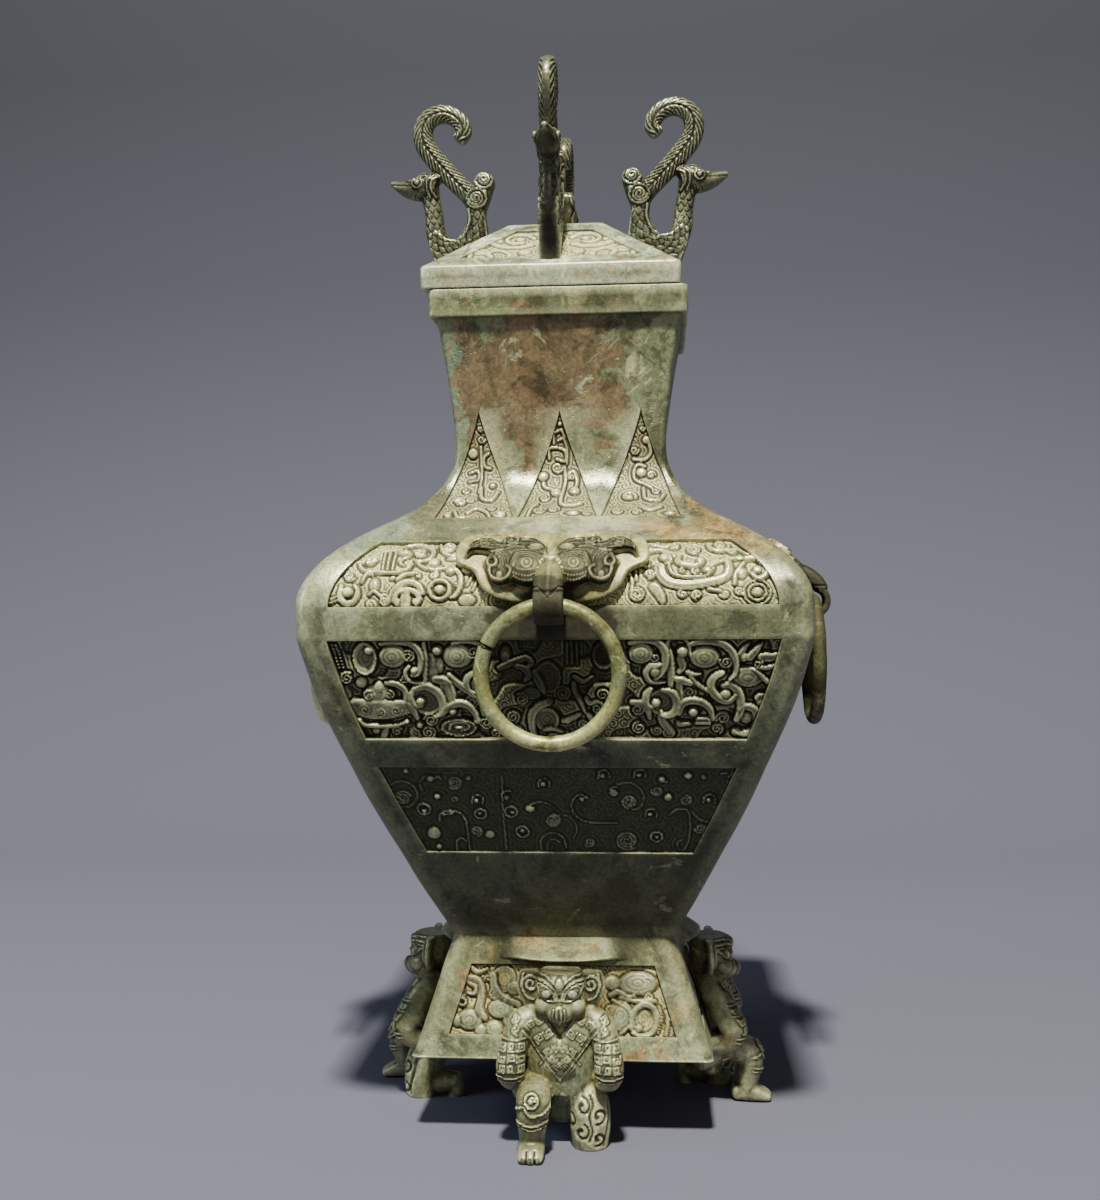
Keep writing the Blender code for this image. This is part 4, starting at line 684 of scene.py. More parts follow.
def bladeForms(carving, downAt, which):
    # places are counted across in mm and down as a share of the blade's height
    c = carving

    def v(share):
        return float(downAt(share))

    def line(*places):
        return [(u, v(share)) for u, share in places]

    if which == 0:
        c.ball(-7.8, v(0.60), 2.3, 1.6)
        c.ball(-1.4, v(0.75), 2.3, 1.6)
        c.ball(7.1, v(0.74), 2.3, 1.6)
        c.band(line((7.6, 0.72), (8.2, 0.64), (6.6, 0.56), (4.4, 0.57), (4.6, 0.62)), 0.8, 1.4)
        c.coil(5.6, v(0.60), 1.6, 1.3, turns=1.2, width=0.4)
        c.band(line((-3.4, 0.72), (-6.6, 0.70), (-7.4, 0.66)), 0.8, 1.3)
        c.band(line((-2.8, 0.30), (-2.8, 0.20), (0.6, 0.17), (2.0, 0.24), (-0.8, 0.27)), 0.5, 1.3,
               soft=False)
        c.band(line((-5.0, 0.44), (-4.6, 0.34), (1.8, 0.36), (2.6, 0.46), (-1.6, 0.44)), 0.55, 1.3)
        c.band(line((1.8, 0.26), (3.2, 0.36), (3.2, 0.48)), 0.5, 1.2)
        c.coil(-1.2, v(0.52), 2.6, 1.3, turns=1.4, width=0.5)
        c.band(line((2.2, 0.52), (2.6, 0.66), (0.8, 0.84), (4.6, 0.88), (10.4, 0.86)), 0.7, 1.3)
        c.oval(7.0, v(0.945), 3.0, 1.7, 1.4)
        c.coil(-8.6, v(0.92), 2.6, 1.1, turns=1.8, width=0.4)
        c.coil(-2.0, v(0.91), 2.6, 1.1, turns=1.8, hand=-1, width=0.4)
        c.coil(-6.6, v(0.80), 2.2, 1.1, turns=1.6, width=0.4)
        c.band(line((-13.6, 0.97), (-12.0, 0.90), (-9.6, 0.86)), 0.7, 1.2)
        c.coil(13.0, v(0.95), 1.8, 1.1, turns=1.5, width=0.35)
        c.ball(0.0, v(0.12), 0.9, 1.3)
    elif which < 0:
        c.ball(-3.2, v(0.38), 2.2, 1.6)
        c.coil(0.6, v(0.15), 1.5, 1.2, turns=1.5, width=0.35)
        c.coil(1.0, v(0.25), 1.8, 1.2, turns=1.6, width=0.4)
        c.band(line((0.6, 0.32), (0.8, 0.46), (1.0, 0.60), (0.4, 0.74)), 0.6, 1.4)
        c.band(line((4.2, 0.38), (2.0, 0.42), (2.4, 0.50), (5.0, 0.52)), 0.6, 1.3)
        c.band(line((-4.6, 0.56), (-1.0, 0.54), (-0.6, 0.62), (-4.8, 0.64)), 0.55, 1.3)
        c.band(line((1.2, 0.70), (2.0, 0.80), (6.4, 0.82), (9.4, 0.74)), 0.8, 1.4)
        c.ball(6.6, v(0.68), 1.4, 1.5)
        c.comma(-7.7, v(0.84), 2.6, 1.5, start=200, hand=1, width=0.9)
        c.comma(11.6, v(0.955), 2.8, 1.5, start=160, hand=-1, width=0.9)
        c.coil(-6.0, v(0.72), 1.8, 1.1, turns=1.5, width=0.35)
        c.ball(-12.2, v(0.96), 1.6, 1.4)
        c.band(line((-3.6, 0.94), (0.0, 0.90), (4.6, 0.93), (6.6, 0.97)), 0.7, 1.3)
        c.coil(-3.0, v(0.81), 2.4, 1.1, turns=1.8, hand=-1, width=0.4)
        c.coil(6.8, v(0.89), 2.0, 1.1, turns=1.6, width=0.35)
        c.band(line((-9.6, 0.92), (-7.4, 0.98), (-4.4, 0.985)), 0.6, 1.2)
    else:
        c.ball(2.5, v(0.28), 1.7, 1.6)
        c.coil(-3.0, v(0.37), 2.0, 1.3, turns=1.5, width=0.4)
        c.band(line((3.6, 0.30), (4.4, 0.40), (1.0, 0.46), (-3.6, 0.45)), 0.7, 1.4)
        c.ball(0.0, v(0.575), 2.2, 1.6)
        c.coil(4.6, v(0.60), 2.0, 1.2, turns=1.6, hand=-1, width=0.4)
        c.band(line((1.8, 0.52), (-1.6, 0.50), (-3.4, 0.56), (-2.8, 0.64), (1.0, 0.68), (5.0, 0.72)), 0.6,
               1.3)
        c.comma(-5.6, v(0.80), 3.4, 1.6, start=20, hand=-1, width=1.1)
        c.band(line((1.0, 0.72), (2.0, 0.82), (8.0, 0.84), (10.6, 0.78)), 0.7, 1.3)
        c.coil(6.4, v(0.745), 1.8, 1.2, turns=1.5, width=0.35)
        c.oval(13.0, v(0.955), 2.6, 1.3, 1.4)
        c.band(line((0.0, 0.90), (4.0, 0.93), (9.0, 0.90)), 0.7, 1.3)
        c.coil(-10.8, v(0.935), 2.4, 1.2, turns=1.7, width=0.4)
        c.coil(-2.0, v(0.945), 2.2, 1.1, turns=1.7, hand=-1, width=0.4)
        c.coil(0.6, v(0.17), 1.3, 1.2, turns=1.3, width=0.35)
    return c.ground(0.36, 1.4, 3.6)


def sheetMesh(points, sheet, backLift):
    # front sheet of the carving, closed by a plain back that follows it
    rows, cols = points.shape[:2]
    front = points.reshape(-1, 3)
    back = backLift.reshape(-1, 3)
    index = np.arange(rows * cols).reshape(rows, cols)
    a, b, c, d = index[:-1, :-1], index[1:, :-1], index[1:, 1:], index[:-1, 1:]
    faces = np.stack([a, b, c, d], -1).reshape(-1, 4).tolist()
    left = rows * cols + np.arange(rows) * 2
    right = left + 1
    for row in range(rows - 1):
        faces.append([int(left[row]), int(right[row]), int(right[row + 1]), int(left[row + 1])])
        faces.append([int(index[row, 0]), int(left[row]), int(left[row + 1]), int(index[row + 1, 0])])
        faces.append([int(index[row, -1]), int(index[row + 1, -1]), int(right[row + 1]), int(right[row])])
    faces.append([int(i) for i in index[0]] + [int(right[0]), int(left[0])])
    faces.append([int(i) for i in index[-1][::-1]] + [int(left[-1]), int(right[-1])])
    sheet["points"].append(np.vstack([front, back]))
    sheet["faces"].extend([[corner + sheet["count"] for corner in face] for face in faces])
    sheet["count"] += len(front) + len(back)


def newSheet():
    return {"points": [], "faces": [], "count": 0, "hollow": [], "lines": []}


def addPanel(sheet, rowsZ, rowsV, halfAt, depth, place, forms, cell=carvingCell, dark=0.85):
    widest = halfAt.max()
    cols = max(int(round(2.0 * widest / cell)), 3)
    s = np.linspace(-1.0, 1.0, cols + 1)
    u = s[None, :] * halfAt[:, None]
    v = np.repeat(rowsV[:, None], cols + 1, 1)
    carving = Carving(u, v)
    height = forms(carving)
    z = np.repeat(rowsZ[:, None], cols + 1, 1)
    lift = np.minimum(height - depth, -0.12)
    points = facePoint(u + place, z, lift)
    back = np.stack([place - halfAt, place + halfAt], -1)
    back = facePoint(back, np.repeat(rowsZ[:, None], 2, 1), -depth - 1.2)
    sheetMesh(points, sheet, back)
    hollow = 1.0 - np.clip(height / depth, 0, 1).ravel()
    sheet["hollow"].append(np.where(carving.edge > 0, hollow, 0.45 * hollow))
    sheet["hollow"].append(np.ones(back.shape[0] * 2))
    # shadow along the frame and beside the forms
    rim = np.minimum(halfAt[:, None] - np.abs(u), np.minimum(v - rowsV.min(), 9.0)).ravel()
    lines = np.maximum(np.exp(-(rim / 0.7) ** 2), dark * carving.shadeLines())
    sheet["lines"].append(np.concatenate([lines, np.zeros(back.shape[0] * 2)]))


def makeCarving():
    sheet = newSheet()
    # forms, their boldness and the strength of the painted shade beside them, and rise, pitch, cell and
    # shelf of the ground between them
    grounds = {"shoulder": (shoulderForms, 1.15, 0.7, (0.45, 1.4, 3.9, 0.3)),
               "middle": (middleForms, 1.35, 0.5, (0.32, 1.5, 4.6, 1.5)),
               "lower": (lowerForms, 0.9, 0.2, (0.16, 1.7, 5.0)),
               "foot": (footForms, 1.15, 0.55, (0.45, 1.45, 4.2, 0.5))}
    for name, size in panelSize.items():
        table, bold, dark, ground = grounds[name]

        def forms(carving):
            carving.draw(table, bold)
            return carving.ground(*ground)

        rowsZ, rowsV = faceRows(size["top"], size["bottom"], size["cell"])
        half = halfWidth(rowsZ) - size["margin"]
        addPanel(sheet, rowsZ, rowsV, half, size["depth"], 0.0, forms, size["cell"], dark)
    rowsZ, rowsV = faceRows(bladeTip - 1.6, bladeSize["base"], carvingCell)
    half = np.maximum(bladeHalf(rowsZ), 0.3)

    def downAt(share):
        return np.interp(-(bladeTip - bladeSize["height"] * share), -rowsZ, rowsV)

    for index in (-1, 0, 1):
        addPanel(sheet, rowsZ, rowsV, half, bladeSize["depth"], index * bladeSize["spacing"],
                 lambda carving: bladeForms(carving, downAt, index))
    piece = meshPiece("carving", wobble(np.vstack(sheet["points"])), sheet["faces"])
    setMask(piece, "hollow", np.concatenate(sheet["hollow"]))
    markRelief(piece, 3, 0.18, np.concatenate(sheet["lines"]))
    alone(piece)
    bpy.ops.object.shade_smooth()
    return piece


# Vessel shell: one skin from the hollow of the foot, up the outside, over the rim and down to the floor

shellSize = {"bodyCorner": 6.4, "neckCorner": 3.0, "rowStep": 2.5, "arcSteps": 5, "floor": 94.3,
             "outerTop": 374.0, "outerBottom": 37.4, "innerTop": 371.5, "innerStep": 7.0,
             "footInset": 6.3, "footTaper": 16.6, "footColumns": 60.0, "neckColumns": 350.0}
edgeSteps = (-0.5, -0.18, 0.0, 0.12, 0.25)


def cornerAt(z):
    return np.interp(z, [278.0, 296.0], [shellSize["bodyCorner"], shellSize["neckCorner"]])


def panelHalf(z):
    ends = sorted((size[end], size["margin"]) for size in panelSize.values() for end in ("top", "bottom"))
    return halfWidth(z) - np.interp(z, *zip(*ends))


def sunkLip(away, depth, shelf):
    # lift beside a panel's edge: sunk within it, with a rounded lip outside
    return np.interp(away, [-0.25, -0.1, 0.0, 0.18, 0.5], [-depth - 0.5, -shelf, -0.3, -0.06, 0.0])


def rowAcross(z):
    # columns run along the panels' and blades' edges, with close ones at each edge
    flat = float(halfWidth(z) - cornerAt(z))
    panelTop = panelSize["shoulder"]["top"]
    panel = np.linspace(-1.0, 1.0, 8) * min(float(panelHalf(min(z, panelTop))), flat - 2.0)
    half = float(bladeHalf(np.clip(z, bladeSize["base"], bladeTip)))
    blades = np.repeat((-1, 0, 1), 2) * bladeSize["spacing"] + np.tile((-half, half), 3)
    blades = np.concatenate([[-flat + 1.2], np.clip(blades, -flat + 1.6, flat - 1.6), [flat - 1.2]])
    even = np.linspace(-1.0, 1.0, 8) * (flat - 4.0)
    share = [panelTop, bladeSize["base"] - 1.0, bladeTip, shellSize["neckColumns"]]
    share = np.interp(z, share, [0.0, 1.0, 1.0, 2.0])
    anchors = panel + (blades - panel) * share if share <= 1 else blades + (even - blades) * (share - 1)
    ends = np.concatenate([[-flat], anchors, [flat]])
    across = [-flat, -flat + (ends[1] + flat) * 0.5]
    for index, anchor in enumerate(anchors):
        inward = 1.0 if index in (0, 1, 3, 5) else -1.0
        across.extend(anchor + inward * np.array(edgeSteps))
        after = ends[index + 2]
        across.extend(anchor + (after - anchor) * np.array((0.35, 0.65)))
    across.append(flat)
    across = np.sort(np.array(across))
    return across + np.linspace(-0.06, 0.06, len(across))


def panelLift(across, z):
    # how far the shell is sunk: under the panels, with a rounded lip at their edges
    lean = float(np.hypot(1.0, faceSlope(np.array(z))))
    lift = np.zeros(across.shape)
    for size in panelSize.values():
        away = np.maximum(np.abs(across) - (halfWidth(z) - size["margin"]),
                          max(z - size["top"], size["bottom"] - z) * lean)
        lift += sunkLip(away, size["depth"], size["depth"] * 0.7)
    if bladeSize["base"] - 0.6 < z < bladeTip + 1:
        for place in (-bladeSize["spacing"], 0.0, bladeSize["spacing"]):
            away = np.maximum(np.abs(across - place) - float(bladeHalf(z)), (bladeSize["base"] - z) * lean)
            lift += sunkLip(away, bladeSize["depth"], 1.0)
    return lift


hoodSize = {"half": 29.0, "bottom": 78.7, "top": 88.3, "reach": 12.5}
hoodHeights = {78.58, 78.7, 78.95, 79.4, 80.2, 81.2, 82.4, 83.6, 84.8, 85.9, 86.8, 87.4, 87.9, 88.15, 88.3,
               88.6}


def hoodReach(across, z):
    # the foot's upper band swells out gently over each supporter's head and ends in a rounded lip
    s = hoodSize
    if z < s["bottom"] - 0.05 or z > s["top"]:
        return np.zeros(across.shape)
    share = (z - s["bottom"]) / (s["top"] - s["bottom"])
    rise = (1.0 - share) ** 1.25 * math.sqrt(min(max((z - s["bottom"] + 0.12) / 1.3, 0.0), 1.0))
    return s["reach"] * rise * np.clip(1.0 - np.abs(across / s["half"]) ** 2.8, 0, 1) ** 1.6


def squareRow(half, corner, z, across, lift=0.0, slope=0.0, hood=0.0):
    # one closed row round the vessel, with rounded corners
    upright = 1.0 / math.hypot(1.0, slope)
    outward, level = -half - lift * upright - hood, z - lift * slope * upright
    flat = np.stack(np.broadcast_arrays(across, outward, level), -1)
    angles = np.linspace(-math.pi / 2, 0, shellSize["arcSteps"] + 2)[1:-1]
    arc = np.stack([half - corner + corner * np.cos(angles), -half + corner + corner * np.sin(angles),
                    np.full(angles.shape, z)], -1)
    side = np.vstack([flat, arc])
    row = []
    for turns in range(4):
        c, s = round(math.cos(turns * math.pi / 2)), round(math.sin(turns * math.pi / 2))
        row.append(side @ np.array([[c, s, 0], [-s, c, 0], [0, 0, 1]]))
    return np.vstack(row)


def tubeFaces(rows, count):
    # quads between closed rows, with the two ends capped
    index = np.arange(rows * count).reshape(rows, count)
    after = np.roll(index, -1, axis=1)
    faces = np.stack([index[:-1], after[:-1], after[1:], index[1:]], -1).reshape(-1, 4).tolist()
    faces.append(index[0][::-1].tolist())
    faces.append(index[-1].tolist())
    return faces


def outerHeights():
    s = shellSize
    heights = set(np.round(faceRows(s["outerTop"], s["outerBottom"], s["rowStep"])[0], 2)) | hoodHeights
    for size in panelSize.values():
        for offset in edgeSteps:
            heights |= {round(size["top"] - offset / 1.1, 2), round(size["bottom"] + offset / 1.1, 2)}
    heights |= {round(bladeSize["base"] + offset / 1.1, 2) for offset in edgeSteps}
    heights = sorted(heights)
    kept = heights[:1]
    for z in heights[1:]:
        if z - kept[-1] > 0.07:
            kept.append(z)
    return kept


# half width and height of the plain rows round the foot's lower edge and over the rim
footEdge = ((62.5, 36.3), (63.0, 35.95), (64.0, 35.9), (67.6, 35.9), (68.2, 36.1), (68.45, 36.6))
rimEdge = ((56.75, 374.7), (57.0, 375.0), (58.6, 375.1), (59.2, 375.35), (59.5, 375.9), (59.55, 379),
           (59.5, 383), (59.5, 387.0), (59.3, 387.6), (58.7, 387.95), (57.0, 388.0), (53.4, 388.0),
           (52.6, 387.7), (52.2, 387.0), (52.2, 381.0), (52.2, 374.0))
floorEdge = ((1.4, 1.2), (0.3, 3.0), (0.0, 6.0))  # height over the floor, distance inwards


def makeVessel():
    s, shell = vesselSize, shellSize

    def plain(half, z, like, corner=shell["neckCorner"]):
        # a row with the same columns as the row at the height named
        across = rowAcross(shell[like])
        return squareRow(half, corner, z, across / np.abs(across).max() * (half - corner))

    rows = []
    for z in np.linspace(s["footTop"], 37.2, 12):
        taper = (z - s["footBottom"]) / (s["footTop"] - s["footBottom"]) * shell["footTaper"]
        rows.append(plain(s["footHalf"] - shell["footInset"] - taper, z, "footColumns"))
    rows += [plain(half, z, "footColumns") for half, z in footEdge]
    for z in outerHeights():
        across = rowAcross(z)
        slope = float(faceSlope(np.array(z)))
        rows.append(squareRow(float(halfWidth(z)), float(cornerAt(z)), z, across,
                              panelLift(across, z), slope, hoodReach(across, z)))
    rows += [plain(half, z, "neckColumns") for half, z in rimEdge]
    for z in faceRows(shell["innerTop"], shell["floor"] + 3.0, shell["innerStep"])[0]:
        half = float(halfWidth(z)) - s["wall"] * math.hypot(1.0, float(faceSlope(np.array(z))))
        rows.append(plain(half, z, "neckColumns", 3.5))
    rows += [plain(half - less, shell["floor"] + rise, "neckColumns", 3.5) for rise, less in floorEdge]
    piece = meshPiece("vessel_shell", wobble(np.vstack(rows)), tubeFaces(len(rows), len(rows[0])))
    return smoothed(tidyNormals(piece, 0.005), 35.0)


# Lid: band, four slopes with a carved panel each, flange and hollow below

lidSize = {"half": 59.9, "bottom": 388.3, "edge": 398.3, "top": 425.9, "topHalf": 23.0, "corner": 2.5,
           "panelTop": 421.3, "panelBottom": 403.3, "margin": 11.0, "depth": 1.3, "slip": -3.4,
           "flangeHalf": 47.8, "flangeInner": 45.2, "flangeBottom": 376.3, "ceiling": 421.9}
lidRun = lidSize["half"] - lidSize["topHalf"]
lidRise = lidSize["top"] - lidSize["edge"]


def lidHalf(z):
    s = lidSize
    return s["half"] - lidRun * np.clip((z - s["edge"]) / lidRise, 0, 1)


def lidPoint(across, z, lift):
    length = math.hypot(lidRun, lidRise)
    reach = lidHalf(z) + lift * lidRise / length
    return np.stack(np.broadcast_arrays(across, -reach, z + lift * lidRun / length), -1)


def lidForms(carving):
    c = carving
    for side in (-1, 1):
        c.band([(side * 9, 8), (side * 13, 4), (side * 19, 4.5), (side * 22, 9), (side * 19, 13.5),
                (side * 14, 13.0)], 1.1, 1.25, endWidth=0.8)
        c.ball(side * 15.5, 9.0, 2.0, 1.3)
        c.band([(side * 10, 16), (side * 16, 18), (side * 23, 17), (side * 28, 13), (side * 26.5, 9.5)],
               1.3, 1.2)
        c.ball(side * 25.2, 10.6, 1.6, 1.3)
        c.oval(side * 33.0, 22.0, 4.4, 3.2, 1.25)
        c.band([(side * 20, 24), (side * 25, 21), (side * 29.5, 24.0), (side * 28, 28)], 1.1, 1.2)
        c.ball(side * 12.5, 23.5, 2.8, 1.2)
        c.comma(side * 18.5, 27.0, 2.6, 1.2, start=90, hand=side)
        c.band([(side * 31, 15.5), (side * 34.5, 18), (side * 37.5, 23), (side * 38.0, 28)], 0.9, 1.2)
        c.coil(side * 9.8, 28.0, 2.2, 1.0)
        c.ball(side * 8.0, 3.2, 1.5, 1.2)
    return c.ground(0.5, 1.5, 4.4)


def makeLidCarving():
    s = lidSize
    sheet = newSheet()
    length = (s["panelTop"] - s["panelBottom"]) / lidRise * math.hypot(lidRun, lidRise)
    count = int(length / carvingCell)
    rowsZ = np.linspace(s["panelTop"], s["panelBottom"], count + 1)
    rowsV = np.linspace(0.0, length, count + 1)
    halfAt = lidHalf(rowsZ) - s["margin"]
    cols = int(2 * halfAt.max() / carvingCell)
    across = np.linspace(-1, 1, cols + 1)[None, :] * halfAt[:, None]
    carving = Carving(across, np.repeat(rowsV[:, None], cols + 1, 1))
    height = lidForms(carving)
    lift = np.minimum(height - s["depth"], -0.05)
    points = lidPoint(across, np.repeat(rowsZ[:, None], cols + 1, 1), lift)
    back = lidPoint(np.stack([-halfAt, halfAt], -1), np.repeat(rowsZ[:, None], 2, 1), -s["depth"] - 1.0)
    sheetMesh(points, sheet, back)
    piece = meshPiece("lid_carving", np.vstack(sheet["points"]), sheet["faces"])
    back = np.zeros(back.shape[0] * 2)
    hollow = 1.0 - 0.6 * np.clip(height / s["depth"], 0, 1).ravel()
    setMask(piece, "hollow", np.concatenate([hollow, back + 1.0]))
    # shadow along the frame and beside the forms
    rim = np.minimum(halfAt[:, None] - np.abs(across), np.minimum(rowsV, length - rowsV)[:, None])
    lines = np.maximum(0.9 * np.exp(-(rim / 1.1) ** 2), 0.75 * carving.shadeLines().reshape(rim.shape))
    markRelief(piece, 3, 0.22, np.concatenate([lines.ravel(), back]))
    alone(piece)
    bpy.ops.object.shade_smooth()
    return piece


def makeLid():
    s = lidSize
    lean = math.hypot(lidRun, lidRise) / lidRise

    def slopeRow(z):
        flat = float(lidHalf(z)) - s["corner"] - 0.02
        edge = min(float(lidHalf(z)) - s["margin"], flat - 1.0)
        inner = np.linspace(-edge, edge, 31)[1:-1]
        across = np.concatenate([[-flat, -flat + (flat - edge) * 0.5], -edge + np.array(edgeSteps), inner,
                                 edge - np.array(edgeSteps)[::-1], [flat - (flat - edge) * 0.5, flat]])
        across = np.sort(across) + np.linspace(-0.04, 0.04, len(across))
        away = np.maximum(np.abs(across) - (float(lidHalf(z)) - s["margin"]),
                          max(z - s["panelTop"], s["panelBottom"] - z) * lean)
        lift = sunkLip(away, s["depth"], 0.9)
        return squareRow(float(lidHalf(z)), s["corner"], z, across, lift, -lidRun / lidRise)

    heights = set(np.round(np.linspace(s["edge"] + 0.5, s["top"] - 0.4, 20), 2))
    for offset in edgeSteps:
        heights |= {round(s["panelTop"] - offset / lean, 2), round(s["panelBottom"] + offset / lean, 2)}
    slope = [slopeRow(z) for z in sorted(heights)]
    count = (len(slope[0]) // 4) - shellSize["arcSteps"]
    share = np.linspace(-1, 1, count)

    def plainRow(half, z):
        return squareRow(half, s["corner"], z, share * (half - s["corner"]))

    rows = [plainRow(half, z) for half, z in (
        (8.0, s["ceiling"]), (21.3, s["ceiling"]), (22.6, 421.2), (33, 413.0), (44.6, 404.8),
        (s["flangeInner"], 403.6), (s["flangeInner"], 390), (s["flangeInner"], 376.8),
        (45.7, s["flangeBottom"]), (47.3, s["flangeBottom"]), (s["flangeHalf"], 376.8),
        (s["flangeHalf"], 387.6), (48.4, 388.25), (56.0, s["bottom"]), (59.0, s["bottom"]), (59.6, 388.5),
        (s["half"], 389.1), (59.95, 393.0), (s["half"], 397.6), (59.75, 398.15))]
    rows += slope
    rows += [plainRow(half, z) for half, z in ((22.4, 425.85), (21.5, s["top"]), (8.0, s["top"]))]
    piece = meshPiece("lid_shell", wobble(np.vstack(rows)), tubeFaces(len(rows), len(rows[0])))
    carving = list(turnedCopies(makeLidCarving(), "lid_carving").values())
    smoothed(tidyNormals(piece, 0.005), 35.0)
    setMask(piece, "hollow", np.zeros(len(piece.data.vertices)))
    markRelief(piece, 2, 0.5)
    lid = joined([piece] + carving)
    lid.data.transform(Matrix.Translation((s["slip"] * mm, 0.0, 0.0)))
    return lid


# Round parts that are cast in one: tubes and balls that grow together

def tubeParts(stations, side, power=2.0, around=22, ends=(0.6, 0.6)):
    # stations: x, y, z, half width along the side, half depth; the ends are domed
    path = softPath(stations, 4)
    centre, width, depth = path[:, :3], path[:, 3], path[:, 4]
    tangent = np.gradient(centre, axis=0)
    tangent /= np.linalg.norm(tangent, axis=1)[:, None]
    across = np.asarray(side, float) - (tangent @ np.asarray(side, float))[:, None] * tangent
    across /= np.linalg.norm(across, axis=1)[:, None]
    thick = np.cross(tangent, across)
    angles = np.linspace(0, 2 * math.pi, around, endpoint=False)
    cos = np.sign(np.cos(angles)) * np.abs(np.cos(angles)) ** (2.0 / power)
    sin = np.sign(np.sin(angles)) * np.abs(np.sin(angles)) ** (2.0 / power)

    def dome(at, sign, tall):
        # rows that close the tube, from its end outwards
        wide, deep = width[at] * cos[:, None] * across[at], depth[at] * sin[:, None] * thick[at]
        rise = min(width[at], depth[at]) * tall
        return [centre[at] + sign * step * rise * tangent[at] + math.sqrt(1.0 - step ** 2) * (wide + deep)
                for step in (0.5, 0.8, 0.97)]

    rows = dome(0, -1.0, ends[0])[::-1]
    for c, w, d, a, t in zip(centre, width, depth, across, thick):
        rows.append(c + w * cos[:, None] * a + d * sin[:, None] * t)
    rows += dome(-1, 1.0, ends[1])
    return np.vstack(rows), tubeFaces(len(rows), around)


def ballParts(centre, radii, turn=(0, 0, 0)):
    rows = []
    angles = np.linspace(0, 2 * math.pi, 24, endpoint=False)
    for height in np.sin(np.linspace(-1.47, 1.47, 15)):
        size = math.sqrt(1 - height ** 2)
        rows.append(np.stack([size * np.cos(angles), size * np.sin(angles), np.full(24, height)], -1))
    matrix = np.array(Euler([math.radians(a) for a in turn]).to_matrix())
    points = np.vstack(rows) * np.asarray(radii, float)
    return points @ matrix.T + np.asarray(centre, float), tubeFaces(len(rows), 24)


def slabParts(outline, half):
    # flat shape in the plane of the side view, given as distance out and height
    outline = np.asarray(outline, float)
    rows = [np.stack([np.full(len(outline), x), -outline[:, 0], outline[:, 1]], -1) for x in (-half, half)]
    return np.vstack(rows), tubeFaces(2, len(outline))


def grownTogether(name, parts, grain, rounds=2):
    piece = joined([tidyNormals(meshPiece(name, points, faces), 0.001) for points, faces in parts])
    applied(piece, "REMESH", mode="VOXEL", voxel_size=grain * mm, adaptivity=0.0)
    applied(piece, "SMOOTH", factor=0.5, iterations=rounds)
    return piece


def pathPlaces(u, v, path):
    # distance along a drawn line, and offset to its left
    path = softPath(path)
    best = np.full(u.shape, 1e9)
    along, aside = np.zeros(u.shape), np.zeros(u.shape)
    start = 0.0
    for a, b in zip(path, path[1:]):
        step = b - a
        length = max(np.hypot(*step), 1e-6)
        t = np.clip(((u - a[0]) * step[0] + (v - a[1]) * step[1]) / length ** 2, 0, 1)
        du, dv = u - a[0] - t * step[0], v - a[1] - t * step[1]
        away = np.hypot(du, dv)
        closer = away < best
        best = np.where(closer, away, best)
        along = np.where(closer, start + t * length, along)
        aside = np.where(closer, (step[0] * dv - step[1] * du) / length, aside)
        start += length
    return along, aside


def scaleLines(along, aside, length, width, depth):
    # overlapping scales: each row is moved half a scale sideways
    row = np.floor(along / length)
    across = aside / width + 0.5 * (row % 2)
    within = across - np.floor(across) - 0.5
    reach = along / length - row - 0.9 * (1.0 - 4.0 * within ** 2)
    return -depth * np.exp(-(reach * length / 0.42) ** 2)


def pressed(piece, height, weight=None):
    push = height if weight is None else height * weight
    setPoints(piece, pointsOf(piece) + normalsOf(piece) * push[:, None])


# Birds on the lid

birdSize = {"foot": 53.4, "footHeight": 403.16, "grain": 0.62, "body": 4.9, "seatGap": 0.35}


